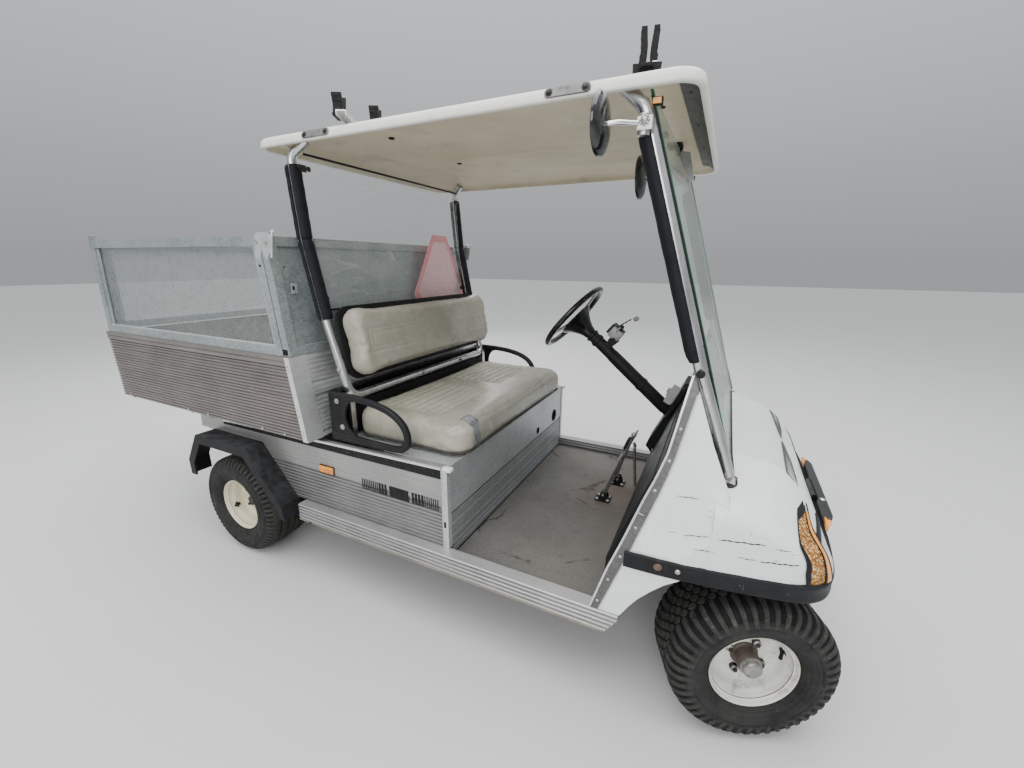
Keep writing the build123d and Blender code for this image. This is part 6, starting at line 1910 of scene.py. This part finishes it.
# column: boot, jacket with clamp, switch housing and stalks
b = Build()
b.place = wheel_frame(CA, CD)
b.lathe([(14, 108), (22, 110), (30, 114), (30.5, 122), (26, 126), (25.4, 140), (30, 142), (30, 158), (26.0, 160), (26.0, 238), (27.6, 242), (28.2, 300), (28.2, 560), (26, 566), (24.2, 600)], (0, 0, 0), (0, 0, 1), "black_plastic", 36, cap0=True)
for z in (168, 176, 184, 192):
    b.lathe([(24.4, -2.4), (25.8, -1.2), (25.8, 1.2), (24.4, 2.4)], (0, 0, z), (0, 0, 1), "black_plastic", 32)
b.lathe([(27.6, -9), (31.0, -8), (31.0, 8), (27.6, 9)], (0, 0, 420), (0, 0, 1), "frame_black", 32)
b.box((30, 0, 420), (16, 14, 14), "frame_black")
b.place = None
b.rod(along_col(420) + V(0, -22, 14), along_col(420) + V(0, 22, 14), 3.2, "bolt_steel", 12)
b.done("column_details", smooth=40, bevel=0.5)
b = Build()
sx = V(0.766, 0, -0.643)
sz = V(0.643, 0, 0.766)
c = V(1398, 292, 966)
for rr_, hh_ in (((27, 26, 9), (-21, 21)),):
    ring = rrect(rr_[0], rr_[1], rr_[2], 6)
    b.loops([[c + sx * (x * f) + V(0, 1, 0) * (y * f) + sz * h for x, y in ring] for h, f in ((-23, 0.9), (-20, 1.0), (18, 1.0), (22, 0.93), (23.4, 0.8))], "grey_plastic", cap0=True, cap1=True)
b.lathe([(11, 0), (11, 8), (9, 10), (4, 10.5)], c + sz * 22, sz, "black_plastic", 24, cap1=True)
b.tube([c + V(6, 20, 10), c + V(24, 30, 34), c + V(48, 34, 52), c + V(68, 36, 62)], 3.4, "chrome", 12)
b.lathe([(6.5, 0), (9.5, 4), (10.5, 12), (9.5, 20), (5.5, 24)], c + V(64, 35, 60), (0.85, 0.1, 0.5), "rubber_grey", 20, cap0=True, cap1=True)
b.tube([c + V(2, -20, 6), c + V(16, -36, 26), c + V(30, -40, 34)], 3.0, "chrome", 12)
b.lathe([(5, 0), (7.5, 3), (8, 9), (4.5, 13)], c + V(28, -39, 33), (0.8, -0.2, 0.5), "black_plastic", 18, cap0=True, cap1=True)
b.side([(1336, 905), (1350, 926), (1372, 936), (1390, 952), (1404, 934), (1388, 908), (1362, 890)], 258, 304, "black_plastic")
b.side([(1384, 940), (1396, 952), (1412, 932), (1400, 920)], 250, 312, "black_plastic")
for k in range(3):
    b.dome(c + sx * 27 + V(0, -12 + k * 12, 0), sx, 3.2, 1.4, "bolt_dark", 10)
b.done("column_switches", smooth=42)

# pedals: treadle with ribs, arm, tip pad; the second pair of arms beside it
b = Build()
A_, B_ = V(1446, 66, 296), V(1549, 66, 602)
d_ = (B_ - A_).normalized()
n_ = V(-d_.z, 0, d_.x)
if n_.x > 0:
    n_ = -n_
L_ = (B_ - A_).length
b.tube([A_, A_.lerp(B_, 0.5), B_], 6.4, "pedal_steel", 14)
plate = [(-17, 0.10), (17, 0.10), (18.5, 0.2), (18.5, 0.62), (15, 0.70), (-15, 0.70), (-18.5, 0.62), (-18.5, 0.2)]
b.loops([[A_ + d_ * (t * L_) + V(0, y, 0) + n_ * h for y, t in plate] for h in (4.6, 11.6)], "pedal_steel", cap0=True, cap1=True)
for k in range(13):
    t = 0.14 + k * 0.043
    q = A_ + d_ * (t * L_) + n_ * 12.2
    b.loops([[q + V(0, y, 0) + d_ * (dy) + n_ * h for dy, h in ((-2.4, -0.8), (-1.4, 1.4), (1.4, 1.4), (2.4, -0.8))] for y in (-16.5, 16.5)], "pedal_steel", cap0=True, cap1=True)
g_ = A_ + d_ * (0.86 * L_) + n_ * 5
b.loops([[g_ + V(0, y * f, 0) + d_ * (x * f) + n_ * h for x, y in rrect(26, 20, 7, 5)] for h, f in ((0, 1.0), (6, 1.0), (8.4, 0.94), (9.4, 0.84))], "rubber_black", cap0=True, cap1=True)
for k in range(4):
    q = g_ + d_ * (-16 + k * 10.5) + n_ * 9.6
    b.box(q, (30, 3.4, 1.8), "rubber_black", ex=(0, 1, 0), ey=tuple(d_))
b.lathe([(9.5, 0), (10.5, 3), (10.5, 11), (7, 15), (2.5, 16.5)], B_ - d_ * 6, tuple(d_), "bolt_steel", 20, cap1=True)
# brackets on the floor
for y0, x0 in ((66, 1446), (234, 1470)):
    b.loops([[V(x0 + x, y0 + y, z) for x, y in rrect(32, 28, 6, 5)] for z in (287.0, 292.5, 294.0)], "frame_black", cap0=True, cap1=True)
    for sx_, sy_ in ((-1, -1), (1, -1), (1, 1), (-1, 1)):
        b.hexbolt((x0 + sx_ * 22, y0 + sy_ * 18, 293.6), (0, 0, 1), 5.2, 4.4, "bolt_steel")
    for e_ in (-1, 1):
        b.side([(x0 - 20, 293), (x0 + 24, 293), (x0 + 10, 326), (x0 - 6, 326)], y0 + e_ * 15 - 2, y0 + e_ * 15 + 2, "frame_black")
    b.rod((x0 + 1, y0 - 20, 314), (x0 + 1, y0 + 20, 314), 5, "bolt_steel", 14)
for pts in (((1457, 234, 300), (1487, 234, 420), (1512, 234, 500)), ((1549, 234, 292), (1538, 234, 400), (1529, 234, 500))):
    b.tube(pts, 6.2, "pedal_steel", 14)
b.box((1523, 234, 521), (9, 52, 66), "pedal_steel", ex=(0.93, 0, -0.36), ey=(0, 1, 0))
for k in range(7):
    b.box((1519.5 - k * 0.0 + (k - 3) * 3.2, 234, 521 + (k - 3) * 8.4), (3, 46, 3.2), "rubber_black", ex=(0.93, 0, -0.36), ey=(0, 1, 0))
b.rod((1532, 214, 478), (1532, 254, 478), 6, "bolt_steel", 14)
b.done("foot_pedals", replaces=("pedals",), smooth=40, bevel=0.5)

# pod, relay block and lever beside the column
b = Build()
pod = [(1580, 512), (1590, 539), (1646, 655), (1664, 687), (1704, 784), (1716, 798), (1726, 790), (1700, 735), (1692, 700), (1646, 585), (1604, 500)]
b.loops([[V(x, y, z) for x, z in pod] for y in (202, 205, 283, 286)], "pad_black", cap0=True, cap1=True)
b.side([(1646, 655), (1664, 687), (1704, 784), (1716, 797), (1722, 792), (1700, 735), (1660, 660)], 172, 202, "pad_black")
b.box((1664, 190, 754), (30, 44, 74), "grey_plastic", ex=(0.9, 0, -0.44), ey=(0, 1, 0))
b.box((1650, 190, 764), (6, 34, 30), "grey_plastic", ex=(0.9, 0, -0.44), ey=(0, 1, 0))
for k in range(4):
    b.box((1647, 176 + k * 9.4, 772), (3, 5, 16), "black_plastic", ex=(0.9, 0, -0.44), ey=(0, 1, 0))
b.side([(1594, 452), (1614, 452), (1606, 468)], 184, 198, "grey_plastic")
b.rod((1600, 191, 462), (1612, 191, 505), 3, "bolt_steel", 10)
b.done("pod_and_relay", smooth=36, bevel=2.0)

# ======================================================================
# mirrors
# ======================================================================
b = Build()


def mirror_head(c, r, face, arm):
    d = V(*face).normalized()
    c = V(*c)
    b.lathe([(r, 0), (r - 0.4, -4), (r - 5, -9), (r * 0.78, -14), (r * 0.5, -18), (r * 0.2, -20)], c, tuple(d), "mirror_black", 56, cap1=True)
    b.lathe([(r, 0), (r - 1.2, 2.0), (r - 3.4, 2.6), (r - 4.6, 1.4)], c, tuple(d), "mirror_black", 56)
    b.lathe([(r - 4.6, 1.4), (r - 20, 2.2), (r * 0.4, 3.0), (2, 3.3)], c, tuple(d), "mirror_glass", 56, cap1=True)
    pts = [V(*p) for p in arm]
    b.tube(pts, 5.4, "chrome", 16)
    b.dome(pts[0], tuple((pts[0] - pts[1]).normalized()), 9, 8, "bolt_dark", 18)


mirror_head((1516, -576, 1546), 63.5, (-1, 0, 0.02), [(1534, -575, 1546), (1556, -569, 1548), (1584, -550, 1548), (1602, -540, 1548)])
b.rod((1602, -530, 1526), (1602, -530, 1568), 13, "bolt_steel", 22)
b.span(1590, 1622, -546, -508, 1534, 1561, "bolt_steel")
b.dome((1606, -547, 1552), (0, -1, 0), 8, 8, "bolt_steel", 18)
for k in range(8):
    a = 2 * math.pi * k / 8
    b.box((1606 + 9 * math.cos(a), -549, 1552 + 9 * math.sin(a)), (3.4, 7, 3.4), "bolt_steel")
mirror_head((1520, -110, 1515), 63.5, (-1, 0, -0.03), [(1538, -110, 1515), (1556, -110, 1530), (1572, -110, 1580), (1580, -110, 1628)])
b.span(1566, 1594, -128, -92, 1620, 1632, "clip_black")
b.done("mirror_heads", replaces=("mirrors",), smooth=44, bevel=0.6)

# knob bolts and caps on the struts
b = Build()
for s in (-1, 1):
    b.lathe([(8.8, 0), (10.4, 2), (10.4, 7), (8, 10), (3, 11)], (1778, s * 481, 1005), (0, s, 0), "rubber_black", 22, cap1=True)
    for i, (p, q) in enumerate(((RT[3], RT[4]),)):
        t = 0.62
        c_ = V(lerp(p[0], q[0], t), s * (lerp(p[1], q[1], t) + 15.5), lerp(p[2], q[2], t))
        b.hexbolt(c_, (0, s, 0), 7, 5, "bolt_steel")
    b.box((1619, s * 486, 1602), (22, 12, 16), "clip_black")
    b.box((1619, s * 493.5, 1602), (18, 3.4, 12), "lens_orange")
b.done("strut_fixings", smooth=40, bevel=0.8)

# bolt and bracket on the U tube, black channel across behind the bench
b = Build()
b.hexbolt((626, -60, 781), (1, 0, 0.3), 6, 5, "bolt_steel")
b.hexbolt((626, 240, 781), (1, 0, 0.3), 5, 4, "bolt_dark")
b.span(549, 553, -524, 524, 623, 800, "frame_black")
b.span(553, 575, -524, 524, 796, 800, "frame_black")
b.span(553, 590, -524, 524, 745, 749, "frame_black")
b.side([(586, 749), (590, 749), (600, 700), (600, 628), (596, 628), (596, 700)], -500, 500, "frame_black")
b.done("bench_back_channel", bevel=0.8)

# hip hoops: round tube, stamped plate with a hollow edge, feet
b = Build()
for s in (-1, 1):
    key = [(560, 797), (620, 797), (700, 794), (775, 785), (838, 767), (882, 738), (904, 700), (903, 664), (880, 643), (838, 636), (780, 636), (700, 638), (620, 641), (560, 642)]
    path = []
    n_ = len(key)
    for i in range(n_ - 1):
        p0, p1, p2, p3 = key[max(0, i - 1)], key[i], key[i + 1], key[min(n_ - 1, i + 2)]
        for j in range(6):
            t = j / 6
            path.append(tuple(0.5 * (2 * q1 + (q2 - q0) * t + (2 * q0 - 5 * q1 + 4 * q2 - q3) * t * t + (3 * q1 - q0 - 3 * q2 + q3) * t ** 3) for q0, q1, q2, q3 in zip(p0, p1, p2, p3)))
    path.append(key[-1])
    b.tube([(x, s * 535, z) for x, z in path], 12.5, "frame_black", 18)
    outline = [(552, 632), (552, 808), (640, 801)]
    for k in range(13):
        a = math.pi / 2 + math.pi * k / 12
        outline.append((672 + 46 * math.cos(a), 720 + 62 * math.sin(a)))
    outline += [(664, 640), (664, 632)]
    b.side(outline, s * 530.5, s * 539.0, "frame_black")
    b.span(556, 800, s * 526, s * 544, 622.6, 633, "frame_black")
    b.side([(552, 760), (560, 800), (548, 806), (548, 640), (560, 640)], s * 500, s * 530, "frame_black")
b.done("hip_hoops", replaces=("hip_restraints",), smooth=48, bevel=1.0)

# ======================================================================
# side panels: band, bars, corner post and cap; hoop fixings
# ======================================================================
b = Build()
for s in (-1, 1):
    y1, y2 = s * 555.2, s * 557.0
    band = [(1050, 579), (1050, 612), (451, 598), (-100, 583), (-100, 571), (451, 574.5)]
    b.loops([[V(x, y1, z) for x, z in band], [V(x, y2, z) for x, z in band]], "clip_black", cap0=True, cap1=True)
    ribs_ = [(1050, 612), (451, 598), (-100, 583)]
    rows = []
    for x, z in ribs_:
        rows.append([V(x, s * (555.2 + d), z + dz) for d, dz in ((0, -0.5), (2.8, 0.2), (3.2, 3.0), (3.2, 7.0), (2.2, 9.4), (0, 9.6))])
    b.loops(rows, "edge_bright", closed=False, cap0=False)
    for row in (rows[0], rows[-1]):
        b.add(row, [tuple(range(len(row)))], "edge_bright")
    # corner post: folded bright strip with slot, and a white cap on it
    post = [(1052.5, 555.2), (1052.5, 559.0), (1054.5, 560.2), (1072.5, 560.2), (1075.6, 558.0), (1075.6, 536), (1073.8, 536), (1073.8, 555.2)]
    b.loops([[V(x, s * y, z) for x, y in post] for z in (322.5, 323.5, 614.5, 615.5)], "galvanised_light", cap0=True, cap1=True)
    # the slot is a near-black inlay: painted shade
    b.box((1064, s * 560.6, 415), (8, 1.0, 22), "recess_shade")
    b.dome((1063, s * 560.2, 352), (0, s, 0), 4.6, 2.2, "bolt_steel", 14)
    b.dome((1063, s * 560.2, 574), (0, s, 0), 4.6, 2.2, "bolt_steel", 14)
    cap = rrect(18, 12, 6, 5)
    b.loops([[V(1073 + x * f, s * (548 + y * f), z) for x, y in cap] for z, f in ((611.5, 0.97), (613, 1.0), (619, 1.0), (622, 0.94), (623.2, 0.8))], "cap_white", cap0=True, cap1=True)
    # plain row of upright bars of a grating, thicker in the middle
    x = 698.0
    while x < 1036:
        inner_ = 770 < x < 975
        thick, gap = (8.5, 5.0) if inner_ else (3.4, 5.4)
        if not 818 < x + thick < 926:
            b.span(x, x + thick, s * 555.2, s * 556.6, 457, 499, "clip_black")
        x += thick + gap
    b.loops([[V(xx, s * yy, zz) for xx, zz in ((826, 457), (910, 457), (910, 499), (826, 499))] for yy in (555.2, 556.8)], "clip_black", cap0=True, cap1=True)
    for x in (1020, 640, 240, -60):
        b.dome((x, s * 557.0, 0.5 * (576 + table_at([(-100, 583), (451, 598), (1050, 612)], x)[0])), (0, s, 0), 3.6, 1.6, "bolt_dark", 12)
    # near-black inlay on the sill: painted shade of a slot
    b.span(428, 440, s * 593.0, s * 594.3, 250.5, 258, "recess_shade")
    # hoop bolts
    for x, z in ((592, 774), (609, 677)):
        b.lathe([(10, 0), (10, 1.2), (6, 1.4)], (x, s * 539.2, z), (0, s, 0), "bolt_steel", 20, cap1=True)
        b.hexbolt((x, s * 540.4, z), (0, s, 0), 6.2, 4.6, "bolt_steel", washer=False)
    for x in (580, 690, 780):
        b.hexbolt((x, s * 535, 632), (0, 0, 1), 5, 4, "bolt_steel")
b.done("side_trim", smooth=36, bevel=0.5)

# dark rims round the two holes of the seat box's front, with near-black cups sunk in them as painted shade
b = Build()
for y, z, r, rin in ((435, 490, 32, 19.4), (217, 480, 16.5, 10.4)):
    b.lathe([(r, 0), (r - 0.8, 1.2), (rin + 1.5, 1.2), (rin, -1), (rin - 1, -15), (1, -15.5)], (1073.5, y, z), (1, 0, 0), "recess_shade", 40, cap1=True)
b.done("panel_hole_rims", smooth=40)

# shell behind the rest: rolled rim and ribs
b = Build()
rings = []
line_ = rrect(134.5, 477.0, 62, 12)
for h, f in ((-30.5, 0.0), (-32.2, 1.2), (-31.0, 3.6), (-22.0, 4.4), (-18.0, 2.6), (-17.4, 0.0)):
    rings.append([back_tilt @ V(h, y - math.copysign(3.2 - f, y), x - math.copysign(3.2 - f, x)) for x, y in line_])
b.loops(rings, "black_plastic", wrap=False)
for k in range(5):
    z = -80 + k * 40
    b.loops([[back_tilt @ V(h, y, z + dz) for dz, h in ((-5, -28.3), (-3, -31.5), (3, -31.5), (5, -28.3))] for y in (-400, 400)], "black_plastic", cap0=True, cap1=True)
b.done("rest_shell_rim", smooth=50)

# ======================================================================
# camera, light, floor
# ======================================================================
cam_data = bpy.data.cameras.new("camera")
cam = bpy.data.objects.new("camera", cam_data)
bpy.context.scene.collection.objects.link(cam)
yaw, pitch, roll = math.radians(116.10), math.radians(-16.15), math.radians(0.49)
fwd = Vector((math.cos(pitch) * math.cos(yaw), math.cos(pitch) * math.sin(yaw), math.sin(pitch)))
right = Vector((math.sin(yaw), -math.cos(yaw), 0))
up = right.cross(fwd)
r2 = math.cos(roll) * right + math.sin(roll) * up
u2 = -math.sin(roll) * right + math.cos(roll) * up
rot = Matrix((r2, u2, -fwd)).transposed().to_4x4()
cam.matrix_world = Matrix.Translation(M(1808.21, -1595.29, 1259.67)) @ rot
cam_data.lens = 430.68 / 1024 * 36
cam_data.sensor_width = 36
cam_data.sensor_fit = "HORIZONTAL"
cam_data.shift_x = (512 - 509.92) / 1024
cam_data.shift_y = (387.75 - 384) / 1024
cam_data.clip_start = 0.05
bpy.context.scene.camera = cam

world = bpy.data.worlds.new("studio")
bpy.context.scene.world = world
world.use_nodes = True
wt = world.node_tree
bg = wt.nodes["Background"]
wc = wt.nodes.new("ShaderNodeTexCoord")
wsep = wt.nodes.new("ShaderNodeSeparateXYZ")
wt.links.new(wc.outputs["Generated"], wsep.inputs[0])
wr = wt.nodes.new("ShaderNodeValToRGB")
wr.color_ramp.elements[0].position = 0.0
wr.color_ramp.elements[0].color = (0.36, 0.375, 0.39, 1)
wr.color_ramp.elements[1].position = 0.75
wr.color_ramp.elements[1].color = (1.0, 1.03, 1.06, 1)
wm = wr.color_ramp.elements.new(0.16)
wm.color = (0.46, 0.475, 0.49, 1)
wt.links.new(wsep.outputs[2], wr.inputs[0])
wt.links.new(wr.outputs[0], bg.inputs[0])
bg.inputs[1].default_value = 1.0


def area(name, at, target, size, power, color=(1, 1, 1)):
    d = bpy.data.lights.new(name, "AREA")
    d.shape = "RECTANGLE"
    d.size, d.size_y = size
    d.energy = power
    d.color = color
    o = bpy.data.objects.new(name, d)
    bpy.context.scene.collection.objects.link(o)
    o.location = at
    o.rotation_euler = (Vector(target) - Vector(at)).to_track_quat("-Z", "Y").to_euler()
    return o


area("sky", (0.4, -0.6, 5.2), (0, 0, 0.6), (6.5, 5.5), 400, (0.98, 0.99, 1.0))
area("side", (1.4, -5.2, 2.8), (0, 0, 0.7), (4.0, 2.4), 150)
area("back", (-3.6, 3.8, 3.0), (0, 0, 0.7), (4.0, 2.5), 90)

fm = Mat("stage_floor")
fm.color(fm.mix(fm.noise(3, 4), (0.60, 0.60, 0.59), (0.64, 0.64, 0.63))).rough(0.8)
me = bpy.data.meshes.new("floor_sheet")
s = 30.0
me.from_pydata([(-s, -s, 0), (s, -s, 0), (s, s, 0), (-s, s, 0)], [], [(0, 1, 2, 3)])
me.materials.append(fm.m)
floor_sheet = bpy.data.objects.new("floor_sheet", me)
bpy.context.scene.collection.objects.link(floor_sheet)
